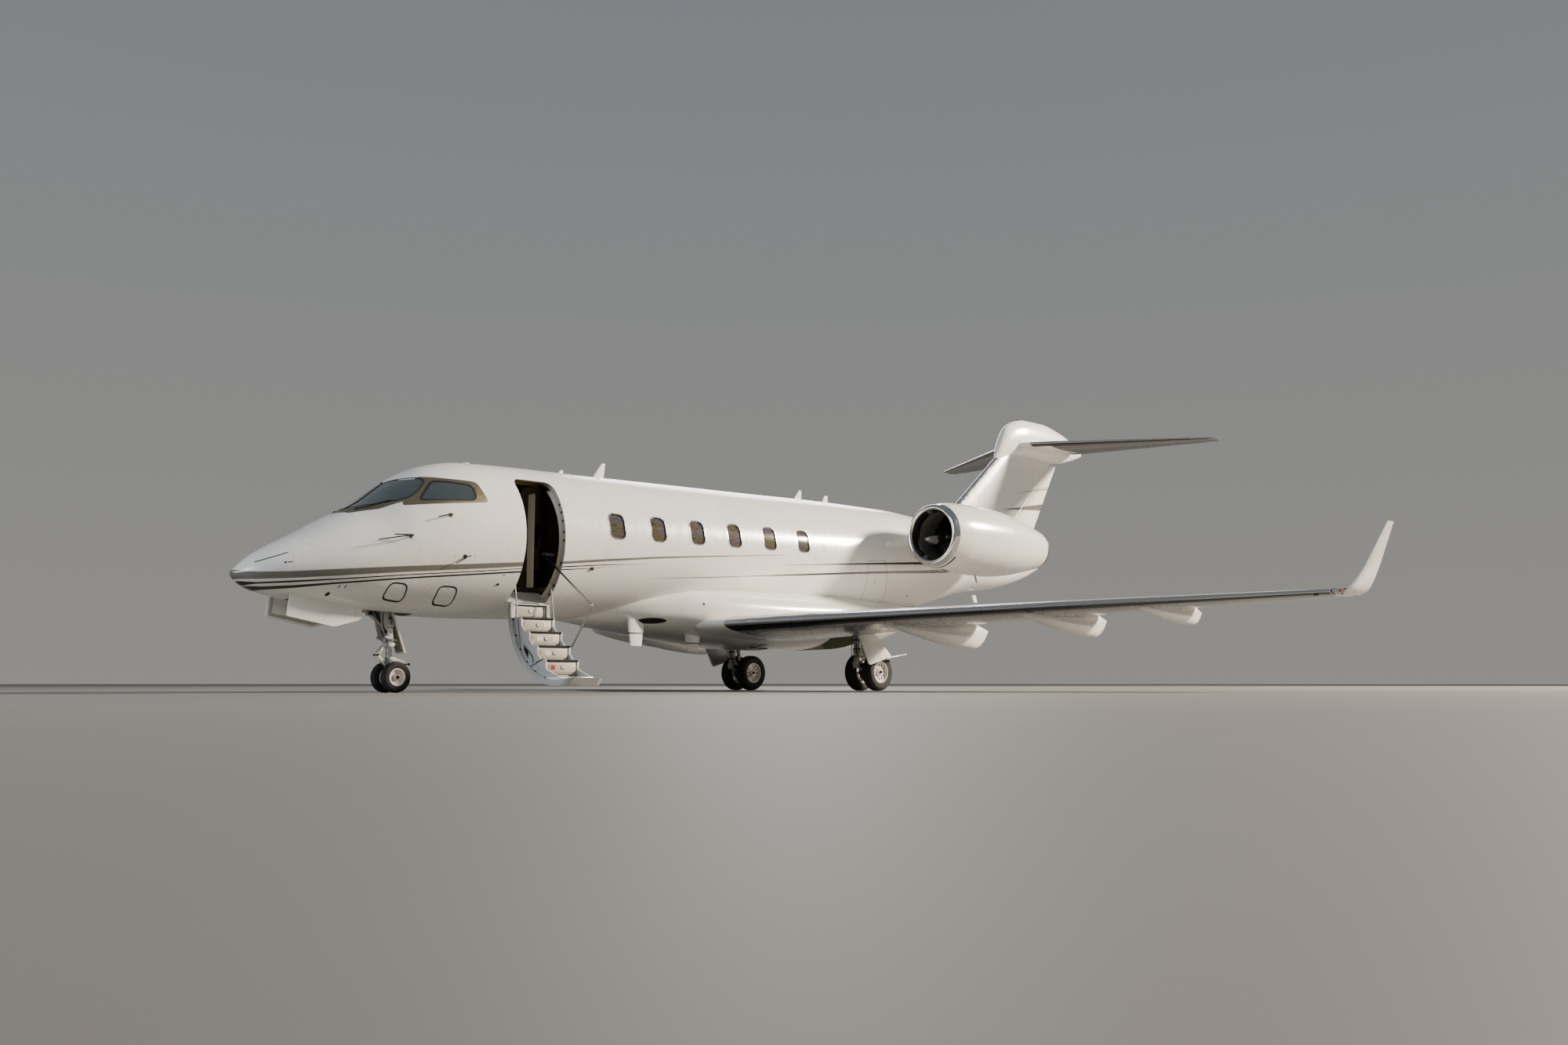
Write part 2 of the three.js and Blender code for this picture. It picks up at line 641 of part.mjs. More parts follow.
function bladeRing({ at, chord, thick, lean = 0, drop = 0 }) {
  const angle = THREE.MathUtils.degToRad(lean);
  const place = (f, side, t) => {
    const off = side * t * thick / 2;
    return [at[0] + f * chord, at[1] - off * Math.sin(angle), at[2] - drop * f + off * Math.cos(angle)];
  };
  const upper = airfoil.map(([f, t]) => place(f, 1, t));
  const lower = airfoil.slice(1).reverse().map(([f, t]) => place(f, -1, t));
  return [...upper, ...lower];
}

const blade = (rows) => loft(rows.map(bladeRing));

// Wing, starboard; the port one is its mirror image
// Columns: Y, leading edge station, leading edge height, chord, thickness, trailing edge drop
const wingRows = [
  [1000, 7400, 1105, 4250, 450, 60],
  [1400, 7670, 1120, 3900, 420, 60],
  [3300, 8950, 1222, 2840, 310, 45],
  [6300, 10975, 1381, 2010, 215, 20],
  [9250, 12966, 1536, 1190, 128, 5],
].map(([y, x, z, chord, thick, drop]) => ({ at: [x, y, z], chord, thick, drop }));

function wingAt(y) {
  const rows = wingRows.map((row) => [row.at[1], row.at[0], row.at[2], row.chord, row.thick, row.drop]);
  const [, x, z, chord, thick, drop] = sectionAt(rows, y);
  return { at: [x, y, z], chord, thick, drop };
}

// A hinged surface behind a round nose: a row's hinge is the chord fraction of its axis
function hingedRing(row) {
  const nose = thicknessAt(row, row.hinge) * 0.94;
  const angle = THREE.MathUtils.degToRad(row.lean ?? 0);
  const cx = row.at[0] + row.hinge * row.chord;
  const place = (x, off) => {
    const f = (x - row.at[0]) / row.chord;
    return [x, row.at[1] - off * Math.sin(angle), row.at[2] - (row.drop ?? 0) * f + off * Math.cos(angle)];
  };
  const ring = [];
  for (let i = 0; i <= 6; i += 1) {
    const turn = Math.PI / 2 + (i / 6) * Math.PI;
    ring.push(place(cx + nose * Math.cos(turn), nose * Math.sin(turn)));
  }
  const end = row.at[0] + row.chord;
  ring.push(place(end, -row.thick * 0.025), place(end, row.thick * 0.025));
  return ring;
}

function thicknessAt(row, fraction) {
  const after = airfoil.findIndex(([f]) => f >= fraction);
  const [f0, t0] = airfoil[after - 1];
  const [f1, t1] = airfoil[after];
  return (row.thick / 2) * (t0 + (t1 - t0) * (fraction - f0) / (f1 - f0));
}

const hingedSurface = (rows) => loft(rows.map(hingedRing));
const noseFront = (row) => row.at[0] + row.hinge * row.chord - thicknessAt(row, row.hinge) - 12;

const FLAP = { inner: 1500, outer: 6980, front: 0.74 };
const AILERON = { inner: 7050, outer: 9050, hinge: 0.75 };
const AILERON_END_GAP = 20;
const aileronRows = [wingAt(AILERON.inner), wingAt(AILERON.outer)]
  .map((row) => ({ ...row, hinge: AILERON.hinge }));

const hingePoint = ({ at, chord, drop = 0, hinge }) => [at[0] + hinge * chord, at[1], at[2] - drop * hinge];
const [aileronIn, aileronOut] = aileronRows.map(hingePoint);
const aileronPins = hingePins(aileronIn, aileronOut, [60, 60]);
const aileronBores = hingePins(aileronIn, aileronOut, [60, 60], HINGE_PIN.bore);

// Room for the aileron in the wing, in the plan view
function aileronNotch() {
  const [inner, outer] = [AILERON.inner - AILERON_END_GAP, AILERON.outer + AILERON_END_GAP];
  const [a, b] = [inner, outer].map((y) => noseFront({ ...wingAt(y), hinge: AILERON.hinge }));
  return planPrism([[a, inner], [16000, inner], [16000, outer], [b, outer]], 0, 3000);
}

function flapZone(grow) {
  const ys = [FLAP.inner - grow, 3300, 6300, FLAP.outer + grow];
  const outline = ys.map((y) => [wingAt(y).at[0] + FLAP.front * wingAt(y).chord - grow, y]);
  outline.push([16000, FLAP.outer + grow], [16000, FLAP.inner - grow]);
  return planPrism(outline, 0, 3000);
}

// The wing's outline a little fatter, for what is fitted against it
const fatter = (row, grow) => ({
  ...row,
  at: [row.at[0] - grow, row.at[1], row.at[2]],
  chord: row.chord + 2 * grow,
  thick: row.thick + 2.4 * grow,
});

// Deep canoe fairings over the flap tracks
// Columns: Y, front station, tail station, height, depth, half width
const trackFairings = [[3450, 9510, 12180, 1045, 320, 105], [5400, 10410, 12910, 1190, 290, 98],
  [6850, 11480, 13510, 1298, 212, 84]];

function trackFairing([y, front, tail, height, depth, half]) {
  // Columns: share of the length, share of the half width, share of the depth, rise of the top
  const shape = [[0, 0.1, 0.03, 30], [0.22, 0.62, 0.42, 110], [0.5, 0.95, 0.8, 120], [0.72, 1, 0.97, 120],
    [0.85, 0.85, 1, 115], [0.94, 0.45, 0.6, 55], [1, 0.1, 0.05, 5]];
  return loft(shape.map(([f, w, d, rise]) => {
    const ring = [];
    for (let i = 0; i < 10; i += 1) {
      const angle = (i / 10) * 2 * Math.PI;
      const high = height + rise;
      const low = height - d * depth;
      ring.push([front + f * (tail - front), y + w * half * Math.sin(angle),
        (high + low) / 2 + ((high - low) / 2) * Math.cos(angle)]);
    }
    return ring;
  }));
}

const wingBlade = blade(wingRows);
const wingRoom = blade(wingRows.map((row) => fatter(row, GAP)));

function wing(side) {
  const fairings = trackFairings.map(trackFairing);
  const flapRoom = wingRoom.intersect(flapZone(GAP));
  const solid = wingBlade
    .subtract(flapZone(GAP))
    .subtract(aileronNotch())
    .add(unite(fairings).subtract(flapRoom))
    .add(aileronPins);
  return mirrored(solid, side).subtract(belly(GAP)).subtract(wholeFuselage);
}

const flap = (side) => mirrored(wingBlade.intersect(flapZone(0)), side);

// Winglet, rising from the wing tip
const WINGLET_GAP = 0.5;
const wingletRows = [
  { at: [13010, 9250 + WINGLET_GAP, 1538], chord: 1120, thick: 122 },
  { at: [13090, 9400, 1552], chord: 900, thick: 96, lean: 30 },
  { at: [13220, 9482, 1640], chord: 760, thick: 74, lean: 70 },
  { at: [14211, 9715, 2690], chord: 250, thick: 26, lean: 78 },
];

for (const [side, tag] of [[-1, 'port'], [1, 'stbd']]) {
  addNode(`wing_${tag}`, wing(side), whitePaint());
  addNode(`winglet_${tag}`, mirrored(blade(wingletRows), side), whitePaint());
  addNode(`flap_${tag}`, flap(side), whitePaint());
  const aileron = hingedSurface(aileronRows).subtract(aileronBores);
  addNode(`aileron_${tag}`, mirrored(aileron, side), whitePaint());
}

// Tail bullet over the fin
// Columns: station, half width, top height, bottom height
const bulletRows = [
  [17380, 30, 5240, 5100],
  [17500, 85, 5490, 5110],
  [17780, 145, 5900, 5160],
  [18120, 185, 6070, 5200],
  [18500, 210, 6145, 5230],
  [19200, 215, 6152, 5240],
  [19900, 190, 6045, 5290],
  [20400, 140, 5905, 5400],
  [LENGTH, 40, 5712, 5565],
];
const bullet = (grow = 0) => bodyLoft(bulletRows, 17380, LENGTH, grow, 1, 20);

// Fin and rudder. Columns: height, leading edge station, trailing edge station, thickness
const finRow = (z, x0, x1, thick) => ({ at: [x0, 0, z], chord: x1 - x0, thick, lean: 90 });
const finAt = (z) => {
  const t = (z - 3250) / 2150;
  return finRow(z, 14990 + t * 2700, 18600 + t * 1345, 330 - t * 105);
};
const finRows = [finAt(2900), finAt(5400)];
// The rudder axis, in the side view: station and height of its foot and head
const RUDDER_AXIS = [[17880, 3745], [19440, 5115]];
const RUDDER_SLOPE = (RUDDER_AXIS[1][1] - RUDDER_AXIS[0][1]) / (RUDDER_AXIS[1][0] - RUDDER_AXIS[0][0]);
const RUDDER = { low: 3300, high: 5205, gap: 28, footStation: 17930, footHeight: 3782, footSlope: -0.28 };

function rudderRow(z) {
  const [[x0, z0], [x1, z1]] = RUDDER_AXIS;
  const row = finAt(z);
  const x = x0 + ((z - z0) / (z1 - z0)) * (x1 - x0);
  return { ...row, hinge: (x - row.at[0]) / row.chord };
}

const rudderRows = [rudderRow(RUDDER.low), rudderRow(RUDDER.high)];

// What lies under the rudder's slanted foot
function underRudder(drop) {
  const foot = (x) => RUDDER.footHeight + RUDDER.footSlope * (x - RUDDER.footStation) - drop;
  return sidePrism([[16500, 2500], [20800, 2500], [20800, foot(20800)], [16500, foot(16500)]], -500, 500);
}

function finNotch() {
  const [low, high] = [rudderRow(RUDDER.low), rudderRow(RUDDER.high + 120)];
  const room = sidePrism([[noseFront(low) - 6, low.at[2]], [20800, low.at[2]], [20800, high.at[2]],
    [noseFront(high) - 6, high.at[2]]], -400, 400);
  return room.subtract(underRudder(RUDDER.gap));
}

// The rudder turns on a pin in the fin's foot and one under the bullet
const rudderFoot = [RUDDER.footStation, 0, 3789];
const rudderHead = [RUDDER_AXIS[1][0] + (RUDDER.high - RUDDER_AXIS[1][1]) / RUDDER_SLOPE, 0, RUDDER.high];
const rudderPins = hingePins(rudderFoot, rudderHead, [70, 150]);
const rudderBores = hingePins(rudderFoot, rudderHead, [70, 150], HINGE_PIN.bore);
const lowerHalf = box(14000, 18600, -500, 500, 2500, 5000);

const finBlade = blade(finRows).subtract(finNotch()).subtract(bullet(GAP)).subtract(wholeFuselage);
addNode('fin', finBlade.add(rudderPins.intersect(lowerHalf)), whitePaint());
addNode('rudder', hingedSurface(rudderRows).subtract(underRudder(0)).subtract(rudderBores), whitePaint());

// Stabiliser and elevators on the bullet
const STAB_HEIGHT = 5535;
const stabRows = [[0, 17980, 2270, 215], [3640, 20300, 618, 66]]
  .map(([y, x, chord, thick]) => ({ at: [x, y, STAB_HEIGHT], chord, thick }));
const stabAt = (y) => {
  const t = y / 3640;
  return { at: [17980 + t * 2320, y, STAB_HEIGHT], chord: 2270 - t * 1652, thick: 215 - t * 149 };
};
const ELEVATOR = { inner: 330, outer: 3420, hinge: 0.7 };
const elevatorRows = [stabAt(ELEVATOR.inner), stabAt(ELEVATOR.outer)]
  .map((row) => ({ ...row, hinge: ELEVATOR.hinge }));
const [elevatorIn, elevatorOut] = elevatorRows.map(hingePoint);
const elevatorPins = hingePins(elevatorIn, elevatorOut, [60, 60]);
const elevatorBores = hingePins(elevatorIn, elevatorOut, [60, 60], HINGE_PIN.bore);

function stabiliser() {
  const [inner, outer] = [ELEVATOR.inner - 14, ELEVATOR.outer + 16];
  const [a, b] = [inner, outer].map((y) => noseFront({ ...stabAt(y), hinge: ELEVATOR.hinge }));
  const notch = planPrism([[a, inner], [21500, inner], [21500, outer], [b, outer]], 5000, 6000);
  const half = blade(stabRows).subtract(notch).add(elevatorPins);
  return unite([half, mirrored(half, -1)]);
}

addNode('stabiliser', stabiliser(), whitePaint());
for (const [side, tag] of [[-1, 'port'], [1, 'stbd']]) {
  const elevator = hingedSurface(elevatorRows).subtract(elevatorBores);
  addNode(`elevator_${tag}`, mirrored(elevator, side), whitePaint());
}
const stabSlot = blade(stabRows.map((row) => fatter(row, GAP)));
const rudderHeadPin = rudderPins.subtract(lowerHalf);
const bulletShell = bullet().subtract(unite([stabSlot, mirrored(stabSlot, -1)]));
addNode('tail_bullet', bulletShell.add(rudderHeadPin), whitePaint());

// Engines: nacelle tube, pylon, fan and a plain core block with its tail cone
// Columns: station, radius
const nacelleOuter = [[0, 548], [60, 578], [200, 610], [550, 655], [1100, 673], [1700, 665], [2300, 608],
  [2900, 498], [3430, 385]];
const nacelleInner = [[3420, 352], [2300, 500], [1500, 520], [900, 510], [640, 506], [420, 466], [180, 448],
  [50, 476], [8, 512]];
const FAN = { station: 700, depth: 140, hub: 150, rear: 1002, shaft: 40, bore: 70 };
const FAN_BLADE = { count: 20, chord: 150, thick: 14 };
// Columns: radius, angle of the chord to the engine's axis in degrees
const bladeTwist = [[110, 32], [486, 62]];
const CORE = { front: 1010, aft: 2200, cone: 3500 };

function engineFrame(solid, side) {
  const place = new THREE.Matrix4().makeTranslation(ENGINE.start, side * ENGINE.y, ENGINE.z);
  return placed(solid, place.multiply(new THREE.Matrix4().makeRotationY(Math.atan(-ENGINE.slope))));
}

const outerBody = (grow) => turned([[0 - grow, 0], ...nacelleOuter.map(([x, r]) => [x, r + grow]),
  [3430 + grow, 0]], 0, 0);
const ductRadius = (x) => {
  const rows = [...nacelleInner].reverse();
  return sectionAt(rows, x)[1];
};

function pylon(side) {
  const rows = [[700, 12960, 2700, 250], [1900, 13060, 2600, 230]]
    .map(([y, x, chord, thick]) => ({ at: [x, y, ENGINE.z - 20], chord, thick }));
  return mirrored(blade(rows), side)
    .subtract(engineFrame(outerBody(GAP), side))
    .subtract(wholeFuselage);
}

function fanBlade(turn) {
  const middle = FAN.station + FAN.depth / 2;
  const rings = bladeTwist.map(([radius, degrees]) => {
    const pitch = THREE.MathUtils.degToRad(degrees);
    const [along, across] = [new THREE.Vector2(Math.cos(pitch), Math.sin(pitch)),
      new THREE.Vector2(-Math.sin(pitch), Math.cos(pitch))];
    return [[-1, -1], [1, -1], [1, 1], [-1, 1]].map(([end, face]) => {
      const corner = along.clone().multiplyScalar(end * FAN_BLADE.chord / 2)
        .addScaledVector(across, face * FAN_BLADE.thick / 2);
      return [middle + corner.x, corner.y, radius];
    });
  });
  return placed(loft(rings), new THREE.Matrix4().makeRotationX(turn));
}

// The spinner, the hub and its ring of twisted blades, on a bore round the core's shaft
function fan() {
  const { station, depth, hub, rear, shaft, bore } = FAN;
  const drum = turned([[station - 230, 0], [station - 150, 70], [station, 130], [station + depth, hub],
    [rear, 120], [rear, shaft + PIN_GAP], [rear - bore, shaft + PIN_GAP], [rear - bore, 0]], 0, 0);
  const { count } = FAN_BLADE;
  return unite([drum, ...[...Array(count).keys()].map((i) => fanBlade((i / count) * 2 * Math.PI))]);
}

function core() {
  const shaftTip = FAN.rear - FAN.bore + 10;
  const profile = [[shaftTip, 0], [shaftTip, FAN.shaft], [CORE.front, FAN.shaft],
    [CORE.front, ductRadius(CORE.front) - GAP],
    [1500, ductRadius(1500) - GAP], [CORE.aft, ductRadius(CORE.aft) - GAP], [CORE.aft, 300],
    [2900, 250], [CORE.cone, 30], [CORE.cone, 0]];
  return turned(profile, 0, 0);
}

const nacelleTube = turned([...nacelleOuter, ...nacelleInner, nacelleOuter[0]], 0, 0);
for (const [side, tag] of [[-1, 'port'], [1, 'stbd']]) {
  addNode(`nacelle_${tag}`, engineFrame(nacelleTube, side), whitePaint());
  addNode(`pylon_${tag}`, pylon(side), whitePaint());
  addNode(`fan_${tag}`, engineFrame(fan(), side), darkMetal());
  addNode(`engine_core_${tag}`, engineFrame(core(), side), darkMetal());
}

// Nose gear: raked leg, steered fork, twin wheels, bay doors
const STRUT_TOP = [2285, 0, BAY.top - GAP];
const STRUT_FOOT = [2405, 0, 330];
const BARREL = { radius: 62, foot: 640 };
const PISTON = { radius: 40, bore: 40.95, sides: 24 };
const strutPoint = (z) => {
  const t = (STRUT_TOP[2] - z) / (STRUT_TOP[2] - STRUT_FOOT[2]);
  return [STRUT_TOP[0] + t * (STRUT_FOOT[0] - STRUT_TOP[0]), 0, z];
};

function noseLeg() {
  const barrel = rod(strutPoint(BAY.top - GAP), strutPoint(BARREL.foot), BARREL.radius)
    .subtract(rod(strutPoint(820), strutPoint(600), PISTON.bore, PISTON.sides));
  const pin = rod([2300, -BAY.half + GAP, 1370], [2300, BAY.half - GAP, 1370], 38);
  const brace = rod([1750, 0, 1330], [2340, 0, 900], 30, 12);
  const bracePin = rod([1750, -BAY.half + GAP, 1330], [1750, BAY.half - GAP, 1330], 30, 12);
  const cap = box(2225, 2345, -60, 60, BAY.top - 60, BAY.top - GAP);
  const overhead = box(1000, 3000, -400, 400, BAY.top - GAP, 2200);
  return unite([barrel, pin, brace, bracePin, cap]).subtract(overhead);
}

addNode('nose_gear_leg', noseLeg(), castMetal());

function noseFork() {
  const piston = rod(strutPoint(800), strutPoint(NOSE_WHEEL.radius + 40), PISTON.radius, PISTON.sides);
  const axle = rod([NOSE_WHEEL.x, -70, NOSE_WHEEL.radius], [NOSE_WHEEL.x, 70, NOSE_WHEEL.radius], 58, 20);
  const { x, radius, axle: shaftRadius } = NOSE_WHEEL;
  const hub = box(x - 50, x + 50, -50, 50, radius - 40, radius + 90);
  const shaft = rod([x, -195, radius], [x, 195, radius], shaftRadius);
  return unite([piston, axle, hub, shaft]);
}

addNode('nose_gear_fork', noseFork(), castMetal());

// The small door behind the strut is clamped to its barrel and folds away with it
function legDoor() {
  const plate = sidePrism([[2350, 1130], [2372, 1136], [2585, 566], [2562, 560]], -120, 120);
  const clamps = [700, 960].map((z) => box(2380, 2350 + (1140 - z) * 0.372, -30, 30, z - 25, z + 25));
  const strut = rod(strutPoint(BAY.top), strutPoint(500), BARREL.radius + PIN_GAP);
  return unite([plate, ...clamps]).subtract(strut);
}

addNode('nose_leg_door', legDoor(), whitePaint());

// A tyre on its dished rim. Sizes: half width, tyre radius, rim radius, bore radius
function wheelProfile(half, radius, rim, bore) {
  const shoulder = radius - 0.13 * radius;
  const face = [[0.5, bore], [0.4, rim - 14], [0.85, rim], [1, shoulder], [0.45, radius]];
  const inner = face.map(([share, r]) => [-half * share, r]);
  const outer = face.map(([share, r]) => [half * share, r]).reverse();
  return [...inner, ...outer, inner[0]];
}

// Tyres are polygons that rest on a flat, which lies at the true radius
function wheelAt({ x, radius, width, rim, axle, sides }, y) {
  const profile = wheelProfile(width / 2, radius / Math.cos(Math.PI / sides), rim, axle + PIN_GAP);
  return shifted(turnedAcross(profile, x, radius, sides), 0, y, 0);
}

addNode('nose_wheel_port', wheelAt(NOSE_WHEEL, -NOSE_WHEEL.y), rubber());
addNode('nose_wheel_stbd', wheelAt(NOSE_WHEEL, NOSE_WHEEL.y), rubber());

function noseDoor(side) {
  const hinge = side * (BAY.half + 46);
  const outline = [[700, 1400], [1770, 1230], [1745, 1010], [1350, 905], [655, 1030]];
  const [y0, y1] = [hinge, hinge + side * 18].sort((a, b) => a - b);
  return sidePrism(outline, y0, y1).subtract(wholeFuselage);
}

addNode('nose_door_port', noseDoor(-1), whitePaint());
addNode('nose_door_stbd', noseDoor(1), whitePaint());

// Main gear: forged leg, trailing link with the axle, twin wheels and the leg door
function mainLeg(side) {
  const y = side * MAIN_WHEEL.y;
  const leg = rod([10760, y, 1060], [10790, y, 470], 75);
  const lug = box(10700, 10900, y - 55, y + 55, 400, 520);
  const link = rod([10810, y, 450], [MAIN_WHEEL.x, y, MAIN_WHEEL.radius], 52);
  const damper = rod([10900, y, 960], [11020, y, 420], 38);
  const head = rod([10740, y, 1040], [10930, y, 1010], 60);
  const shaft = rod([MAIN_WHEEL.x, y - 300, MAIN_WHEEL.radius], [MAIN_WHEEL.x, y + 300, MAIN_WHEEL.radius],
    MAIN_WHEEL.axle);
  return unite([leg, lug, link, damper, head, shaft]).subtract(mirrored(wingRoom, side));
}

function mainDoor(side) {
  const y = side * (MAIN_WHEEL.y + 385);
  const outline = [[10330, 1010], [10640, 1130], [11250, 610], [10640, 450]];
  const [y0, y1] = [y, y + side * 22].sort((a, b) => a - b);
  return sidePrism(outline, y0, y1).subtract(mirrored(wingRoom, side));
}

for (const [side, tag] of [[-1, 'port'], [1, 'stbd']]) {
  addNode(`main_gear_leg_${tag}`, mainLeg(side), castMetal());
  for (const [end, step] of [['inner', -1], ['outer', 1]]) {
    const y = side * (MAIN_WHEEL.y + step * MAIN_WHEEL.spread);
    addNode(`main_wheel_${end}_${tag}`, wheelAt(MAIN_WHEEL, y), rubber());
  }
  addNode(`main_gear_door_${tag}`, mainDoor(side), whitePaint());
}

export default aircraft;
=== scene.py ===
# Business jet on its wheels with the airstair down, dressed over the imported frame.
# Metres. X runs aft, Y to starboard, Z up, and the ground is at Z 0.
import math

import bmesh
import bpy
import numpy as np
from mathutils import Matrix, Vector


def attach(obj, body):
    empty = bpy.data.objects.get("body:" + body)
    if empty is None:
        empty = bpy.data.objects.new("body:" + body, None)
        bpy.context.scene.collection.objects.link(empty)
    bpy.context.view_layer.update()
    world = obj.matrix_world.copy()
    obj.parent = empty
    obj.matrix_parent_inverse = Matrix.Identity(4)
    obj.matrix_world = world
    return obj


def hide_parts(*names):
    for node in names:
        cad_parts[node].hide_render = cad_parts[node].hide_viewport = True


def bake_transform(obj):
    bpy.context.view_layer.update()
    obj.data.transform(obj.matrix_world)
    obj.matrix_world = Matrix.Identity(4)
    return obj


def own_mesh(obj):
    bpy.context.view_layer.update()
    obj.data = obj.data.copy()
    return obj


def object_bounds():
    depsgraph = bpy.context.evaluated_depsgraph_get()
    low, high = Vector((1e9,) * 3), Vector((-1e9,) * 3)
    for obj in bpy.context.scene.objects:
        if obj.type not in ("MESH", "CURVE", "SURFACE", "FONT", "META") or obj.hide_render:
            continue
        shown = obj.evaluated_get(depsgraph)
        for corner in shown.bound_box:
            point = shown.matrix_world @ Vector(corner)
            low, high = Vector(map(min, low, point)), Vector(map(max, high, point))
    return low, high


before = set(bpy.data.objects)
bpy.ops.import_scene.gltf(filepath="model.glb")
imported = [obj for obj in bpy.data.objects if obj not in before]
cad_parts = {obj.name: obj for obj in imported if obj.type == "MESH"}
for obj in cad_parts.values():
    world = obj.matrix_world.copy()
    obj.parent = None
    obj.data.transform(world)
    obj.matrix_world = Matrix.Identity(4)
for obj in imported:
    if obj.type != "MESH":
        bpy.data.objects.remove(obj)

cad_low, cad_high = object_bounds()


# Fuselage skins.
# Aluminium sheet riveted over frames and stringers in four lengths, then painted: glossy off-white
# with thin black and grey cheat lines, a dark band round the nose and a butt joint at each length.
NOSE = cad_low.x
CABIN_RADIUS = 1.173
AXIS_HEIGHT, AXIS_SLOPE, AXIS_STATION = 2.351, 0.018, 8.0
SKIN_THICK, TAIL_THICK = 0.08, 0.05
RING_POINTS = 128
STATION_STEP = 0.07


def axis_height(station):
    return AXIS_HEIGHT + AXIS_SLOPE * (station - AXIS_STATION)


def barrel_row(station):
    return (station, CABIN_RADIUS, axis_height(station) + CABIN_RADIUS, axis_height(station) - CABIN_RADIUS)


# Columns: station, half width, top height, bottom height
FUSELAGE_ROWS = [
    (0, 0.014, 1.603, 1.575), (0.02, 0.066, 1.624, 1.536), (0.06, 0.118, 1.652, 1.499),
    (0.2, 0.285, 1.782, 1.407), (0.45, 0.462, 1.953, 1.327), (0.85, 0.66, 2.17, 1.252),
    (1.3, 0.835, 2.427, 1.18), (1.75, 0.965, 2.669, 1.137), (2.2, 1.06, 3.009, 1.112),
    (2.7, 1.128, 3.286, 1.1), (3.3, 1.163, 3.421, 1.095), barrel_row(4.0), barrel_row(6.0),
    barrel_row(9.0), barrel_row(11.8), (13.0, 1.12, 3.59, 1.395), (14.3, 0.985, 3.52, 1.69),
    (15.8, 0.73, 3.4, 2.03), (17.2, 0.45, 3.23, 2.215), (18.3, 0.25, 3.09, 2.48),
    (18.88, 0.12, 2.98, 2.7),
]


def smooth_table(rows):
    """Reads the columns of a table at any first column, on curves that never overshoot a row."""
    table = np.array(rows, float)
    x, y = table[:, 0], table[:, 1:]
    step = np.diff(x)[:, None]
    slope = np.diff(y, axis=0) / step
    bend = np.zeros_like(y)
    same = slope[:-1] * slope[1:] > 0
    before, after = 2 * step[1:] + step[:-1], step[1:] + 2 * step[:-1]
    with np.errstate(divide="ignore", invalid="ignore"):
        mean = (before + after) / (before / slope[:-1] + after / slope[1:])
    bend[1:-1] = np.where(same, mean, 0)
    bend[0], bend[-1] = slope[0], slope[-1]

    def read(at):
        i = int(np.clip(np.searchsorted(x, at) - 1, 0, len(x) - 2))
        h = x[i + 1] - x[i]
        t = (at - x[i]) / h
        return ((1 + 2 * t) * (1 - t) ** 2 * y[i] + t * (1 - t) ** 2 * h * bend[i]
                + t * t * (3 - 2 * t) * y[i + 1] + t * t * (t - 1) * h * bend[i + 1])

    return read


fuselage_at = smooth_table(FUSELAGE_ROWS)


def oval_ring(station, half, top, bottom, grow=0.0, power=1.0, count=RING_POINTS):
    turn = np.linspace(0, 2 * math.pi, count, endpoint=False)
    across = np.sign(np.sin(turn)) * np.abs(np.sin(turn)) ** power
    upward = np.sign(np.cos(turn)) * np.abs(np.cos(turn)) ** power
    high = (top - bottom) / 2 + grow
    return np.column_stack([np.full(count, NOSE + station), (half + grow) * across,
                            (top + bottom) / 2 + high * upward])


def stations(start, end, step=STATION_STEP):
    return np.linspace(start, end, max(2, round((end - start) / step) + 1))


def body_rings(read, places, grow=0.0, power=1.0, count=RING_POINTS):
    return [oval_ring(place, *read(place), grow, power, count) for place in places]


def new_piece(name, points, faces):
    mesh = bpy.data.meshes.new(name)
    mesh.from_pydata([tuple(point) for point in points], [], faces)
    shape = bmesh.new()
    shape.from_mesh(mesh)
    bmesh.ops.recalc_face_normals(shape, faces=shape.faces)
    shape.to_mesh(mesh)
    shape.free()
    piece = bpy.data.objects.new(name, mesh)
    bpy.context.scene.collection.objects.link(piece)
    return piece


def loft(name, rings, loop=False):
    """A closed skin over rings of equal point count: capped at its ends, or joined last ring to first."""
    count = len(rings[0])
    points = np.concatenate(rings)
    spans = len(rings) if loop else len(rings) - 1
    faces = []
    for r in range(spans):
        a, b = r * count, (r + 1) % len(rings) * count
        faces += [(a + i, a + (i + 1) % count, b + (i + 1) % count, b + i) for i in range(count)]
    if not loop:
        faces += [tuple(range(count)), tuple(range(len(points) - count, len(points)))]
    return new_piece(name, points, faces)


def skin_layer(name, start, end, outer, inner, step=0.04, read=fuselage_at, power=1.0):
    """The stretch of a skin between two heights above its surface, negative ones below it."""
    places = stations(start, end, step)
    rings = [body_rings(read, places, depth, power) for depth in (outer, inner)]
    return loft(name, rings[0] + rings[1][::-1], loop=True)


def settle(piece):
    """Applies a piece's modifiers to its mesh."""
    graph = bpy.context.evaluated_depsgraph_get()
    mesh = bpy.data.meshes.new_from_object(piece.evaluated_get(graph))
    mesh.materials.clear()
    piece.modifiers.clear()
    piece.data = mesh
    return piece


def carve(piece, cutter, operation="DIFFERENCE", keep=False):
    change = piece.modifiers.new("carve", "BOOLEAN")
    change.object, change.operation, change.solver = cutter, operation, "MANIFOLD"
    settle(piece)
    if not keep:
        bpy.data.objects.remove(cutter)
    return piece


def joined(name, pieces):
    """One object from several, each keeping its own materials."""
    with bpy.context.temp_override(active_object=pieces[0], selected_editable_objects=pieces):
        bpy.ops.object.join()
    pieces[0].name = name
    return pieces[0]


def shade(piece, angle=30):
    piece.data.shade_smooth()
    piece.data.set_sharp_from_angle(angle=math.radians(angle))
    return piece


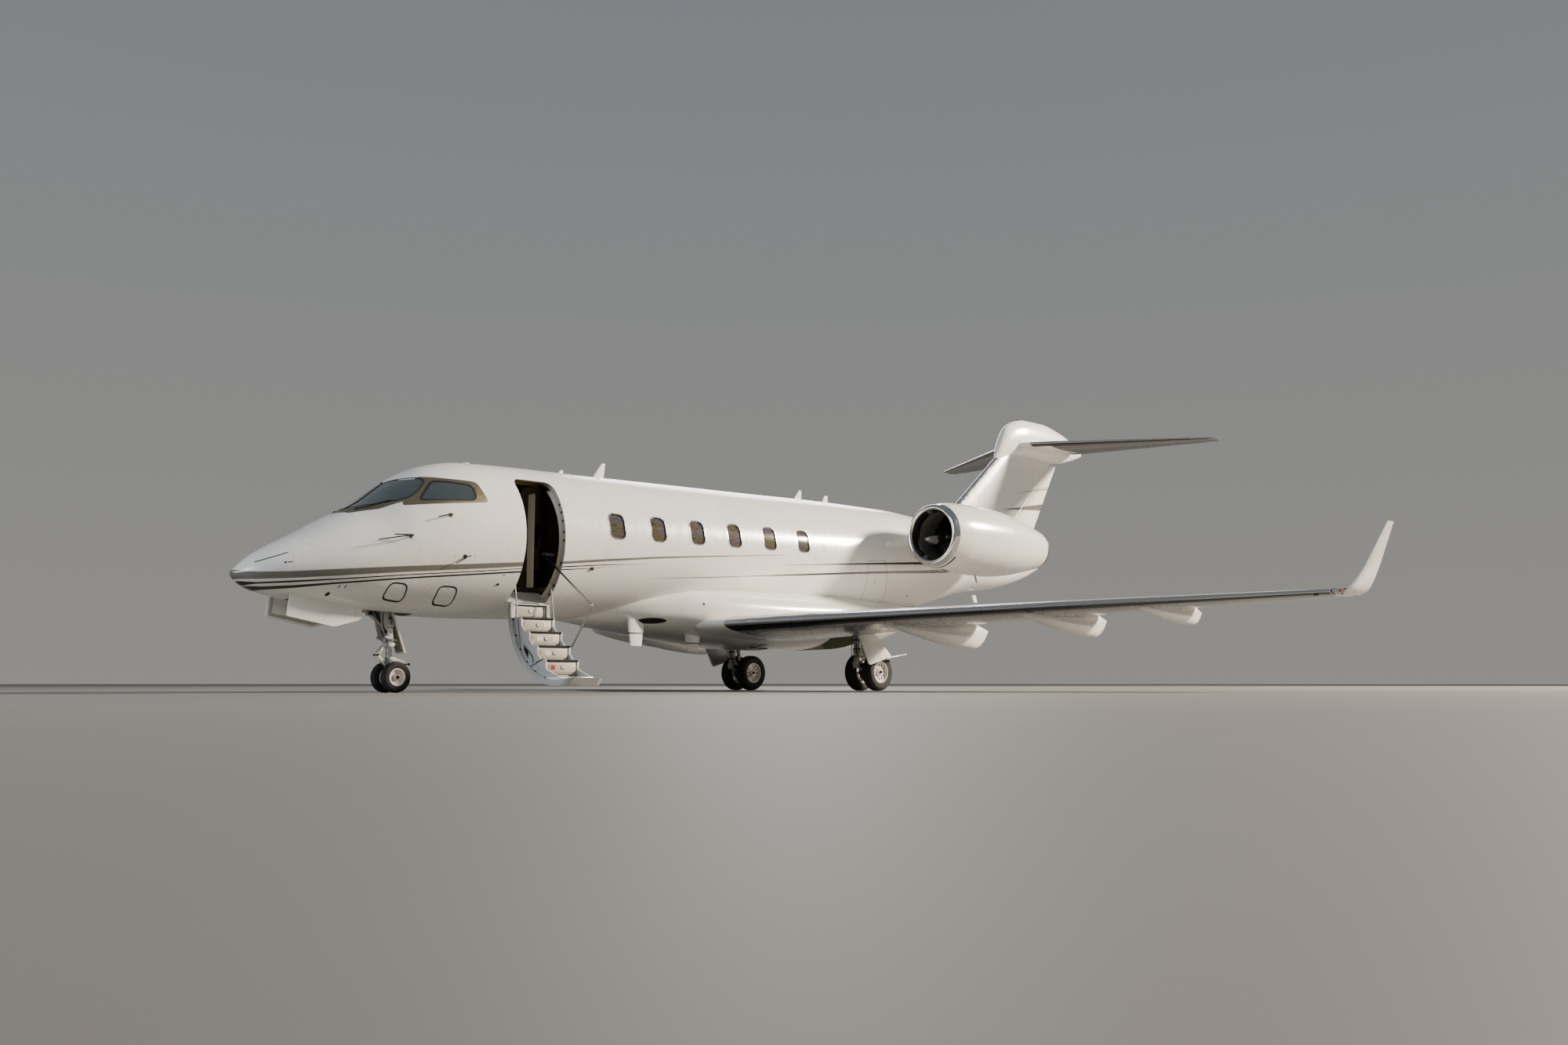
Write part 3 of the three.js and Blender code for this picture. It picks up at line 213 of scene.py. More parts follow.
def prism(name, outline, low, high, axis):
    """An outline in the two other axes, pushed along the one named. X in an outline is a station."""
    order = {"x": (2, 0, 1), "y": (0, 2, 1), "z": (0, 1, 2)}[axis]
    points = []
    for depth in (low, high):
        for u, v in outline:
            flat = (u, v, depth)
            points.append([flat[k] for k in order])
    points = np.array(points)
    points[:, 0] += NOSE
    count = len(outline)
    faces = [tuple(range(count)), tuple(range(count, 2 * count))]
    faces += [(i, (i + 1) % count, count + (i + 1) % count, count + i) for i in range(count)]
    return new_piece(name, points, faces)


def rounded(x0, x1, z0, z1, corner, steps=8):
    outline = []
    for quarter, (cx, cz) in enumerate([(x1 - corner, z1 - corner), (x0 + corner, z1 - corner),
                                        (x0 + corner, z0 + corner), (x1 - corner, z0 + corner)]):
        for i in range(steps + 1):
            angle = (quarter + i / steps) * math.pi / 2
            outline.append((cx + corner * math.cos(angle), cz + corner * math.sin(angle)))
    return outline


def linear(code):
    """An sRGB hex colour in the linear values that the shaders use."""
    channels = [int(code[i:i + 2], 16) / 255 for i in (1, 3, 5)]
    return [c / 12.92 if c <= 0.04045 else ((c + 0.055) / 1.055) ** 2.4 for c in channels] + [1.0]


def add(tree, kind, inputs=None, **settings):
    node = tree.nodes.new("ShaderNode" + kind)
    for name, value in settings.items():
        setattr(node, name, value)
    for socket, value in (inputs or {}).items():
        if isinstance(value, bpy.types.NodeSocket):
            tree.links.new(value, node.inputs[socket])
        else:
            node.inputs[socket].default_value = value
    return node


def new_finish(name, **values):
    material = bpy.data.materials.new(name)
    material.use_nodes = True
    tree = material.node_tree
    tree.nodes.clear()
    shader = add(tree, "BsdfPrincipled", {k.replace("_", " "): v for k, v in values.items()})
    add(tree, "OutputMaterial", {0: shader.outputs[0]})
    return material, tree, shader, add(tree, "TexCoord").outputs["Object"]


def wire(tree, shader, **sources):
    """Links outputs to the shader's sockets of those names."""
    for name, source in sources.items():
        tree.links.new(source, shader.inputs[name.replace("_", " ")])


def strongest(tree, masks):
    """The largest of several masks."""
    most = masks[0]
    for mask in masks[1:]:
        most = add(tree, "Math", {0: most, 1: mask}, operation="MAXIMUM").outputs[0]
    return most


def softened(outline, radius, steps=5):
    """An outline with each corner rounded off, starting at most that far from the corner."""
    soft = []
    count = len(outline)
    for i in range(count):
        before, here, after = (Vector(outline[k % count]) for k in (i - 1, i, i + 1))
        start = here + (before - here).normalized() * min(radius, (before - here).length * 0.45)
        end = here + (after - here).normalized() * min(radius, (after - here).length * 0.45)
        for k in range(steps + 1):
            t = k / steps
            soft.append(tuple(start * (1 - t) ** 2 + here * 2 * t * (1 - t) + end * t * t))
    return soft


def inset(outline, distance):
    """An outline drawn in by a distance, or out when it is negative."""
    count = len(outline)
    area = sum(outline[i][0] * outline[(i + 1) % count][1] - outline[(i + 1) % count][0] * outline[i][1]
               for i in range(count))
    turn = math.copysign(1, area)
    moved = []
    for i in range(count):
        before = (Vector(outline[i]) - Vector(outline[i - 1])).normalized()
        after = (Vector(outline[(i + 1) % count]) - Vector(outline[i])).normalized()
        normal = Vector((-before.y - after.y, before.x + after.x)) * turn
        moved.append(tuple(Vector(outline[i]) + normal * (distance / (1 + before.dot(after)))))
    return moved


def band(tree, value, low, high, edge=0.002):
    """1 where a value lies between two others, with an edge about as soft as a masked paint line."""
    above = add(tree, "Math", {0: value, 1: low}, operation="SUBTRACT")
    below = add(tree, "Math", {0: high, 1: value}, operation="SUBTRACT")
    least = add(tree, "Math", {0: above.outputs[0], 1: below.outputs[0]}, operation="MINIMUM")
    return add(tree, "Math", {0: least.outputs[0], 1: 1 / edge}, operation="MULTIPLY",
               use_clamp=True).outputs[0]


def gloss_coat(name, base, shade_colour, roughness=0.2):
    """Polyurethane gloss over primer: faint patches of wear and grime, orange peel, a hard clear gloss."""
    material, tree, shader, place = new_finish(name, Roughness=roughness, Coat_Weight=0.35,
                                               Coat_Roughness=0.15)
    patches = add(tree, "TexNoise", {"Vector": place, "Scale": 0.9, "Detail": 6.0, "Roughness": 0.6})
    streaks = add(tree, "Mapping", {"Vector": place, "Scale": (14.0, 14.0, 1.1)})
    runs = add(tree, "TexNoise", {"Vector": streaks.outputs[0], "Scale": 1.0, "Detail": 5.0})
    dirt = add(tree, "Math", {0: patches.outputs[0], 1: runs.outputs[0]}, operation="MULTIPLY")
    much = add(tree, "MapRange", {0: dirt.outputs[0], 1: 0.24, 2: 0.5, 3: 0.0, 4: 0.55})
    colour = add(tree, "Mix", {0: much.outputs[0], 6: linear(base), 7: linear(shade_colour)},
                 data_type="RGBA")
    sheen = add(tree, "MapRange", {0: runs.outputs[0], 1: 0.3, 2: 0.7, 3: roughness - 0.05,
                                             4: roughness + 0.1})
    peel = add(tree, "TexNoise", {"Vector": place, "Scale": 3.0, "Detail": 4.0})
    bump = add(tree, "Bump", {"Height": peel.outputs[0], "Strength": 0.05, "Distance": 0.03})
    wire(tree, shader, Base_Color=colour.outputs[2], Roughness=sheen.outputs[0], Normal=bump.outputs[0])
    return material, tree, shader, place, colour.outputs[2]


OFF_WHITE, GRIMED_WHITE = "#F2F0EA", "#D3CDC0"
BAND_GREY, LINE_BLACK = "#6F6D66", "#0C0C0D"

# Columns of each painted line: station, top height, bottom height. The first is the grey band
CHEAT_LINES = [
    [(0, 1.63, 1.5), (0.2, 1.596, 1.497), (0.6, 1.614, 1.521), (1.16, 1.664, 1.57), (2.11, 1.749, 1.666),
     (3.22, 1.844, 1.768), (3.8, 1.895, 1.828), (4.64, 1.961, 1.917), (5.34, 2.036, 1.995),
     (6.42, 2.142, 2.108), (7.59, 2.234, 2.212), (9.19, 2.351, 2.341), (9.9, 2.39, 2.39)],
    [(0, 1.49, 1.2), (0.15, 1.471, 1.42), (0.25, 1.464, 1.438), (0.62, 1.493, 1.463), (1.18, 1.539, 1.518),
     (2.14, 1.638, 1.622), (3.24, 1.745, 1.728), (3.82, 1.807, 1.794), (4.66, 1.89, 1.87),
     (5.36, 1.955, 1.939), (6.7, 2.05, 2.05)],
    [(0, 1.43, 1.2), (0.3, 1.409, 1.36), (0.65, 1.433, 1.392), (1.2, 1.493, 1.465), (2.15, 1.6, 1.574),
     (3.26, 1.712, 1.685), (3.84, 1.77, 1.743), (4.67, 1.847, 1.827), (5.85, 1.955, 1.955)],
    [(5.8, 1.757, 1.757), (7.68, 1.893, 1.876), (9.59, 2.041, 2.013), (11.76, 2.214, 2.169),
     (13.52, 2.345, 2.278), (15.5, 2.5, 2.43), (17.4, 2.64, 2.64)],
    [(8.8, 2.147, 2.147), (10.98, 2.313, 2.288), (13.3, 2.489, 2.436), (15.0, 2.61, 2.56),
     (16.8, 2.74, 2.74)],
]
LINE_SPAN = 21.0
LINE_TOP = 4.0
SKIN_JOINTS = [0.62, 1.4, 3.42, 5.0, 10.6, 12.62, 14.9, 17.1]
BELOW_LINES = -1.0


def line_edge(tree, station_share, rows, column):
    """The height of a painted line's edge along the fuselage."""
    curve = add(tree, "FloatCurve", {"Value": station_share})
    points = curve.mapping.curves[0].points
    knots = [(row[0] / LINE_SPAN, row[column] / LINE_TOP) for row in rows]
    points[0].location = (knots[0][0], knots[0][1])
    points[-1].location = (knots[-1][0], knots[-1][1])
    for knot in knots[1:-1]:
        points.new(*knot)
    for point in points:
        point.handle_type = "VECTOR"
    curve.mapping.update()
    return add(tree, "Math", {0: curve.outputs[0], 1: LINE_TOP}, operation="MULTIPLY").outputs[0]


def striped_paint(name, turn=0, shift=(0, 0, 0)):
    """The fuselage's gloss white with its masked lines and, faint under the gloss, the skin's butt joints.
    A turn about X and a shift carry the lines onto a door that stands open."""
    material, tree, shader, place, white = gloss_coat(name, OFF_WHITE, GRIMED_WHITE)
    if turn:
        place = add(tree, "Mapping",
                    {"Vector": place, "Rotation": (turn, 0, 0), "Location": shift}).outputs[0]
    split = add(tree, "SeparateXYZ", {0: place})
    station = add(tree, "Math", {0: split.outputs["X"], 1: -NOSE}, operation="ADD").outputs[0]
    share = add(tree, "Math", {0: station, 1: LINE_SPAN}, operation="DIVIDE").outputs[0]
    masks = []
    for rows in CHEAT_LINES:
        top, bottom = (line_edge(tree, share, rows, column) for column in (1, 2))
        across = band(tree, split.outputs["Z"], bottom, top, 0.003)
        along = band(tree, station, rows[0][0] + BELOW_LINES * (rows[0][0] == 0), rows[-1][0])
        masks.append(add(tree, "Math", {0: across, 1: along}, operation="MULTIPLY").outputs[0])
    black = strongest(tree, masks[1:])
    joints = strongest(tree,
                       [band(tree, station, joint - 0.0025, joint + 0.0025, 0.0015) for joint in SKIN_JOINTS])
    faint = add(tree, "Math", {0: joints, 1: 0.35}, operation="MULTIPLY").outputs[0]
    seamed = add(tree, "Mix", {0: faint, 6: white, 7: linear("#8C8980")}, data_type="RGBA")
    grey = add(tree, "Mix", {0: masks[0], 6: seamed.outputs[2], 7: linear(BAND_GREY)},
               data_type="RGBA")
    lined = add(tree, "Mix", {0: black, 6: grey.outputs[2], 7: linear(LINE_BLACK)}, data_type="RGBA")
    wire(tree, shader, Base_Color=lined.outputs[2])
    return material


# Polyurethane gloss, sprayed and masked: a clean hard gloss with soft patches of grime
cheat_line_paint = striped_paint("cheat_line_polyurethane_gloss")


def grained(name, base, dark, roughness=0.6, scale=60.0, strength=0.3, depth=0.002):
    """A dull finish with a fine grain: trim foil, flat primer, moulded plastic, cloth or pile."""
    material, tree, shader, place = new_finish(name, Roughness=roughness)
    grain = add(tree, "TexNoise", {"Vector": place, "Scale": scale, "Detail": 3.0})
    tone = add(tree, "Mix", {0: grain.outputs[0], 6: linear(base), 7: linear(dark)}, data_type="RGBA")
    bump = add(tree, "Bump", {"Height": grain.outputs[0], "Strength": strength, "Distance": depth})
    wire(tree, shader, Base_Color=tone.outputs[2], Normal=bump.outputs[0])
    return material


# Foil-faced trim panel behind the skin: pale, dull and finely grained
trim_panel = grained("laminated_trim_panel", "#D6CFBF", "#C3BAA8")
# Zinc chromate primer on the unseen structure: flat, a little blotchy
bay_primer = grained("zinc_chromate_primer", "#9DA08E", "#7C7F70", 0.7)


def faces_inside(piece, read, slot, share=0.93):
    """Gives the faces of a piece that lie inside the skin another of its materials."""
    for face in piece.data.polygons:
        centre = face.center
        half, top, bottom = read(centre.x - NOSE)
        far = (centre.y / half) ** 2 + ((centre.z - (top + bottom) / 2) / ((top - bottom) / 2)) ** 2
        if far < share:
            face.material_index = slot


def dress(piece, materials, body, slot_name, *nodes):
    """Materials, body and the CAD nodes that a piece stands for. The record slot is not used."""
    for material in materials:
        piece.data.materials.append(material)
    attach(piece, body)
    if nodes:
        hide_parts(*nodes)
    return piece


RADOME_END, FRONT_END, CABIN_END, TAIL_END = 0.62, 5.0, 10.6, 18.88
JOINT_GAP = 0.0008
COCKPIT_START = 1.45

radome = loft("radome",
              body_rings(fuselage_at, [0, 0.004, 0.012, 0.03, *stations(0.06, RADOME_END - JOINT_GAP)]))
dress(shade(radome, 40), [cheat_line_paint], "airframe", "paint", "radome")

# Nose gear bay: a sheet box under the flight deck, open below. Doorway: cut square at its sill
BAY_FRONT, BAY_AFT, BAY_HALF, BAY_TOP, BAY_WALL = 0.76, 2.6, 0.25, 1.43, 0.02
DOOR_FRONT, DOOR_AFT, DOOR_SILL, DOOR_TOP = 3.885, 4.6, 1.335, 3.18
DOOR_CORNER, SILL_CORNER = 0.12, 0.04
SILL_Y = -0.695
DOOR_SPAN = (3.8, 4.7)
PANE_HEIGHTS = (2.3, 3.3)


def rectangle(u0, u1, v0, v1):
    return [(u0, v0), (u1, v0), (u1, v1), (u0, v1)]


def door_outline(clearance=0.0):
    x0, x1 = DOOR_FRONT + clearance, DOOR_AFT - clearance
    z0, z1 = DOOR_SILL + clearance, DOOR_TOP - clearance
    upper = rounded(x0, x1, z0, z1, DOOR_CORNER)
    lower = rounded(x0, x1, z0, z1, SILL_CORNER)
    return upper[:len(upper) // 2] + lower[len(lower) // 2:]


sill_inward = Vector((-SILL_Y, axis_height(DOOR_FRONT) - DOOR_SILL)).normalized()
sill_upward = Vector((-sill_inward.y, sill_inward.x))


def sill_point(up, inward):
    spot = Vector((SILL_Y, DOOR_SILL)) + sill_upward * up + sill_inward * inward
    return (spot.x, spot.y)


def doorway(name, clearance=0.0, outline=None):
    low, high = sill_point(clearance, -0.2), sill_point(clearance, 0.25)
    room = prism(name, outline or door_outline(clearance), -1.4, high[0], "y")
    wedge = prism("sill_wedge", [low, (high[0], low[1]), high], DOOR_FRONT - 0.02, DOOR_AFT + 0.02, "x")
    return carve(room, wedge)


# Windshield opening: two front panes seen in plan and a side pane each side
FRONT_ZONE = [(1.425, 0), (1.5, -0.33), (1.8, -0.59), (2.24, -0.82), (2.5, -0.6), (2.33, -0.35), (2.19, 0),
              (2.33, 0.35), (2.5, 0.6), (2.24, 0.82), (1.8, 0.59), (1.5, 0.33)]
SIDE_ZONE = [(2.05, 2.6), (3.3, 2.735), (3.205, 3.045), (2.38, 3.085)]
FRAME_THICK, FRAME_LAP = 0.034, 0.03


def windshield_zone(name, shrink=0.0):
    zone = prism(name, inset(FRONT_ZONE, shrink), *PANE_HEIGHTS, "z")
    for low, high in ((-1.2, -0.48), (0.48, 1.2)):
        carve(zone, prism("side_zone", softened(inset(SIDE_ZONE, shrink), 0.06), low, high, "y"), "UNION")
    return zone


nose_skin = loft("front_fuselage", body_rings(fuselage_at, stations(RADOME_END, FRONT_END - JOINT_GAP)))
carve(nose_skin,
      loft("room", body_rings(fuselage_at, stations(COCKPIT_START, FRONT_END + 0.05), -SKIN_THICK)))
bay_box = prism("bay_box", rectangle(BAY_FRONT - BAY_WALL, BAY_AFT + BAY_WALL, -BAY_HALF - BAY_WALL,
                                     BAY_HALF + BAY_WALL), 0.9, BAY_TOP + BAY_WALL, "z")
carve(bay_box, loft("hull", body_rings(fuselage_at, stations(RADOME_END, FRONT_END), -0.002)), "INTERSECT")
carve(nose_skin, bay_box, "UNION")
carve(nose_skin, prism("bay", rectangle(BAY_FRONT, BAY_AFT, -BAY_HALF, BAY_HALF), 0.9, BAY_TOP, "z"))
carve(nose_skin, doorway("doorway"))
pocket = skin_layer("pocket", 1.3, 3.5, 0.02, -FRAME_THICK)
carve(nose_skin, carve(pocket, windshield_zone("pocket_zone"), "INTERSECT"))
carve(nose_skin, windshield_zone("opening", FRAME_LAP))
faces_inside(nose_skin, fuselage_at, 1)
dress(shade(nose_skin), [cheat_line_paint, bay_primer], "airframe", "paint", "front_fuselage")

# Cabin windows: rounded openings, a polished rim let into each and a coated acrylic pane behind it
WINDOW_COUNT, WINDOW_FIRST, WINDOW_PITCH = 6, 5.621, 0.848
WINDOW_WIDTH, WINDOW_HEIGHT, WINDOW_CORNER, WINDOW_ABOVE_AXIS = 0.33, 0.41, 0.11, 0.258


def window_outline(i, grow=0.0):
    x = WINDOW_FIRST + i * WINDOW_PITCH
    z = axis_height(x) + WINDOW_ABOVE_AXIS
    return rounded(x - WINDOW_WIDTH / 2 - grow, x + WINDOW_WIDTH / 2 + grow, z - WINDOW_HEIGHT / 2 - grow,
                   z + WINDOW_HEIGHT / 2 + grow, WINDOW_CORNER + grow, 6)


cabin_skin = skin_layer("cabin_fuselage", FRONT_END, CABIN_END - JOINT_GAP, 0, -SKIN_THICK, 0.14)
for i in range(WINDOW_COUNT):
    carve(cabin_skin, prism("window", window_outline(i), -1.4, 1.4, "y"))
faces_inside(cabin_skin, fuselage_at, 1)
dress(shade(cabin_skin), [cheat_line_paint, trim_panel], "airframe", "paint", "cabin_fuselage")

tail_skin = skin_layer("tail_fuselage", CABIN_END, TAIL_END, 0, -TAIL_THICK, 0.1)
faces_inside(tail_skin, fuselage_at, 1, 0.8)
dress(shade(tail_skin, 50), [cheat_line_paint, bay_primer], "airframe", "paint", "tail_fuselage")


# Windshield.
# Stretched acrylic and glass panes in a machined alloy frame, bedded on black sealant and held by a
# close row of countersunk screws; the frame is bare metal, warmed by its chromate finish.
FRONT_PANE = [(1.56, 0.028), (1.804, 0.435), (2.041, 0.666), (2.186, 0.737), (2.347, 0.719), (2.48, 0.635),
              (2.481, 0.554), (2.321, 0.307), (2.2, 0.028)]
SIDE_PANE = [(2.305, 2.704), (2.353, 2.776), (2.551, 2.989), (2.619, 3.008), (2.872, 3.003), (3.088, 2.98),
             (3.119, 2.907), (3.108, 2.794), (3.058, 2.75), (2.656, 2.721)]
PANE_CORNER = 0.05
SIDES = ((-1, "port"), (1, "stbd"))
SEAL_WIDTH = 0.014
PANE_DEPTH, PANE_THICK = 0.004, 0.012
PANE_SPAN = (1.3, 3.5)
SCREW_PITCH, SCREW_RADIUS, SCREW_RISE = 0.034, 0.0042, 0.0016


def pane_cutters(name, grow=0.0):
    """The four pane outlines as prisms, grown by a distance: front pair in plan, side pair in side view."""
    cutters = []
    for side, tag in SIDES:
        front = [(x, side * y) for x, y in inset(FRONT_PANE, -grow)]
        cutters.append(prism(f"{name}_front_{tag}", softened(front, PANE_CORNER), *PANE_HEIGHTS, "z"))
        low, high = sorted((side * 0.5, side * 1.2))
        view = softened(inset(SIDE_PANE, -grow), PANE_CORNER)
        cutters.append(prism(f"{name}_side_{tag}", view, low, high, "y"))
    return cutters


def metal(name, base, dark, roughness=0.3, grain=40.0, metallic=1.0):
    """Worked metal: fine scratches and dull patches in the gloss, a little colour drift."""
    material, tree, shader, place = new_finish(name, Metallic=metallic)
    cloud = add(tree, "TexNoise", {"Vector": place, "Scale": grain, "Detail": 6.0, "Roughness": 0.65})
    tone = add(tree, "Mix", {0: cloud.outputs[0], 6: linear(base), 7: linear(dark)},
               data_type="RGBA")
    gloss = add(tree, "MapRange", {0: cloud.outputs[0], 1: 0.3, 2: 0.7, 3: roughness * 0.7,
                                             4: roughness * 1.5})
    bump = add(tree, "Bump", {"Height": cloud.outputs[0], "Strength": 0.12, "Distance": 0.001})
    wire(tree, shader, Base_Color=tone.outputs[2], Roughness=gloss.outputs[0], Normal=bump.outputs[0])
    return material


def rubber(name, base, dark, roughness=0.75):
    """Moulded or gunned elastomer: matt black, greyed by dust in its pores."""
    material, tree, shader, place = new_finish(name, Roughness=roughness)
    dust = add(tree, "TexNoise", {"Vector": place, "Scale": 9.0, "Detail": 8.0, "Roughness": 0.7})
    share = add(tree, "MapRange", {0: dust.outputs[0], 1: 0.45, 2: 0.75})
    tone = add(tree, "Mix", {0: share.outputs[0], 6: linear(base), 7: linear(dark)},
               data_type="RGBA")
    pores = add(tree, "TexNoise", {"Vector": place, "Scale": 400.0, "Detail": 2.0})
    bump = add(tree, "Bump", {"Height": pores.outputs[0], "Strength": 0.25, "Distance": 0.0008})
    wire(tree, shader, Base_Color=tone.outputs[2], Normal=bump.outputs[0])
    return material


def clear_pane(name, tint, roughness=0.03, transmission=0.82):
    """Laminated pane with a gold film: smoked, mirror smooth, a faint haze of dust on it."""
    material, tree, shader, place = new_finish(name, Base_Color=linear(tint),
                                               Transmission_Weight=transmission,
                                        IOR=1.5, Coat_Weight=1.0, Coat_Roughness=0.02)
    haze = add(tree, "TexNoise", {"Vector": place, "Scale": 5.0, "Detail": 5.0})
    gloss = add(tree, "MapRange", {0: haze.outputs[0], 1: 0.4, 2: 0.8, 3: roughness, 4: roughness + 0.06})
    wire(tree, shader, Roughness=gloss.outputs[0])
    return material


# Chromate-converted aluminium, machined and left bare: dull champagne with darker handling marks
chromate_frame = metal("chromate_converted_aluminium", "#A89E87", "#7D7462", 0.42, 30.0)
# Polysulphide sealant: flat black, softly edged
black_sealant = rubber("polysulphide_sealant", "#101011", "#1E1E1E")
# Electrically heated laminated glass: dark blue-green, mirror smooth
heated_glass = clear_pane("heated_laminated_glass", "#7E8F94")

frame_cut = carve(skin_layer("windshield_frame", *PANE_SPAN, 0.0012, -FRAME_THICK + 0.001),
                  windshield_zone("frame_zone", 0.0008), "INTERSECT")
for cutter in pane_cutters("rebate", SEAL_WIDTH):
    carve(frame_cut, cutter)
dress(shade(frame_cut), [chromate_frame], "airframe", "paint", "windshield")

seals = []
for outer, inner in zip(pane_cutters("seal_outer", SEAL_WIDTH), pane_cutters("seal_inner", -0.006)):
    layer = skin_layer("seal_layer", *PANE_SPAN, 0.0022, -0.026)
    seals.append(carve(carve(layer, outer, "INTERSECT"), inner))
dress(shade(joined("windshield_seals", seals)), [black_sealant], "airframe", "glazing")

panes = []
for cutter in pane_cutters("pane"):
    layer = skin_layer("pane_layer", *PANE_SPAN, -PANE_DEPTH, -PANE_DEPTH - PANE_THICK)
    panes.append(carve(layer, cutter, "INTERSECT"))
dress(shade(joined("windshield_panes", panes)), [heated_glass], "airframe", "glazing")


def crown_point(x, y):
    """A point on the upper skin by its plan position, and the way out of the skin there."""
    half, top, bottom = fuselage_at(x)
    high = (top - bottom) / 2
    rise = math.sqrt(max(0.0, 1 - (y / half) ** 2))
    spot = Vector((NOSE + x, y, (top + bottom) / 2 + high * rise))
    return spot, Vector((0, y / half ** 2, rise / high)).normalized()


def side_point(x, z, side=-1):
    """A point on the side skin by its side-view position, and the way out of the skin there."""
    half, top, bottom = fuselage_at(x)
    high = (top - bottom) / 2
    up = (z - (top + bottom) / 2) / high
    out = math.sqrt(max(0.0, 1 - up ** 2))
    return Vector((NOSE + x, side * half * out, z)), Vector((0, side * out / half, up / high)).normalized()


def walk(outline, pitch, closed=True):
    """Points at an even pitch along an outline."""
    ends = [Vector(p) for p in outline] + ([Vector(outline[0])] if closed else [])
    spots, carry = [], 0.0
    for a, b in zip(ends, ends[1:]):
        length = (b - a).length
        while carry < length:
            spots.append(tuple(a.lerp(b, carry / length)))
            carry += pitch
        carry -= length
    return spots


def domes(name, seats, radius, rise, sides=6):
    """Screw or rivet heads, one low dome on each seat of place and outward direction."""
    points, faces = [], []
    for spot, out in seats:
        turn = out.to_track_quat("Z", "Y")
        base = len(points)
        for share, height in ((1.0, -0.0006), (0.8, rise * 0.7)):
            for i in range(sides):
                angle = 2 * math.pi * i / sides
                points.append(spot + turn @ Vector((radius * share * math.cos(angle),
                                                    radius * share * math.sin(angle), height)))
        for i in range(sides):
            j = (i + 1) % sides
            faces.append((base + i, base + j, base + sides + j, base + sides + i))
        faces.append(tuple(base + sides + i for i in range(sides)))
        faces.append(tuple(base + i for i in reversed(range(sides))))
    mesh = bpy.data.meshes.new(name)
    mesh.from_pydata([tuple(p) for p in points], [], faces)
    piece = bpy.data.objects.new(name, mesh)
    bpy.context.scene.collection.objects.link(piece)
    return piece


seats = []
for side in (-1, 1):
    for row in (0.012, -0.012):
        for x, z in walk(softened(inset(SIDE_PANE, -0.038 + row), PANE_CORNER), SCREW_PITCH):
            seats.append(side_point(x, z, side))
    for x, y in walk([(1.5, 0.33), (1.8, 0.572), (2.2, 0.79)], SCREW_PITCH, closed=False):
        seats.append(crown_point(x, side * (y - 0.004)))
dress(domes("windshield_screws", seats, SCREW_RADIUS, SCREW_RISE),
      [metal("cadmium_plated_screws", "#6C665A", "#3E3B34", 0.5)], "airframe", "gear_steel")


# Cabin windows.
# Coated stretched acrylic, two plies in a polished retaining ring that stands just proud of the skin.
RIM_WIDTH, RIM_PROUD, RIM_DEEP = 0.017, 0.0025, 0.03
PANE_BACK = 0.016


def window_pieces(name, side, outer, inner, grow, hollow=None):
    made = []
    for i in range(WINDOW_COUNT):
        x = WINDOW_FIRST + i * WINDOW_PITCH
        layer = skin_layer(name, x - 0.3, x + 0.3, outer, inner, 0.3)
        low, high = sorted((side * 0.6, side * 1.4))
        carve(layer, prism("outline", window_outline(i, grow), low, high, "y"), "INTERSECT")
        if hollow is not None:
            carve(layer, prism("hole", window_outline(i, hollow), low, high, "y"))
        made.append(layer)
    return shade(joined(name, made))


# Polished stainless ring: bright, with a soft reflection of the sky
polished_rim = metal("polished_stainless", "#C9CBCC", "#A3A6A8", 0.16, 18.0)


def coated_acrylic():
    """Acrylic with an interference coating over a pleated shade; the bands of olive, violet, amber and blue
    that drift across it are partly the coating's tint and partly painted reflections.
    """
    material, tree, shader, place = new_finish("coated_acrylic_painted_reflections", Roughness=0.07, Coat_Weight=1.0,
                                               IOR=1.49)
    stretch = add(tree, "Mapping", {"Vector": place, "Scale": (1.3, 1.0, 5.0)})
    drift = add(tree, "TexNoise", {"Vector": stretch.outputs[0], "Scale": 1.9, "Detail": 3.0})
    ramp = add(tree, "ValToRGB", {0: drift.outputs[0]})
    # Colours of the drifting bands: partly the coating's tint, partly painted reflections
    reflection_tints = [(0.3, "#2B2F22"), (0.42, "#5C5B33"), (0.5, "#473A4B"), (0.57, "#6B5A45"), (0.66, "#3A4660"),
             (0.78, "#6E6258")]
    stops = ramp.color_ramp.elements
    stops[0].position, stops[0].color = reflection_tints[0][0], linear(reflection_tints[0][1])
    stops[1].position, stops[1].color = reflection_tints[-1][0], linear(reflection_tints[-1][1])
    for spot, tint in reflection_tints[1:-1]:
        stops.new(spot).color = linear(tint)
    pleats = add(tree, "TexWave", {"Vector": place, "Scale": 21.0}, bands_direction="Z")
    tone = add(tree, "Mix", {0: 0.35, 6: ramp.outputs[0], 7: pleats.outputs[0]},
               data_type="RGBA", blend_type="MULTIPLY")
    wire(tree, shader, Base_Color=tone.outputs[2])
    return material


window_acrylic = coated_acrylic()
for side, tag in SIDES:
    rims = window_pieces(f"window_rims_{tag}", side, RIM_PROUD, -RIM_DEEP, 0.004, 0.004 - RIM_WIDTH)
    dress(rims, [polished_rim], "airframe", "polished")
    panes = window_pieces(f"window_panes_{tag}", side, -PANE_BACK, -PANE_BACK - 0.01, -0.0105)
    dress(panes, [window_acrylic], "airframe", "glazing")
    reveals = window_pieces(f"window_reveals_{tag}", side, -SKIN_THICK - 0.001, -SKIN_THICK - 0.019, 0.03,
                            -0.012)
    dress(reveals, [trim_panel], "airframe", "cabin_trim", f"window_band_{tag}")


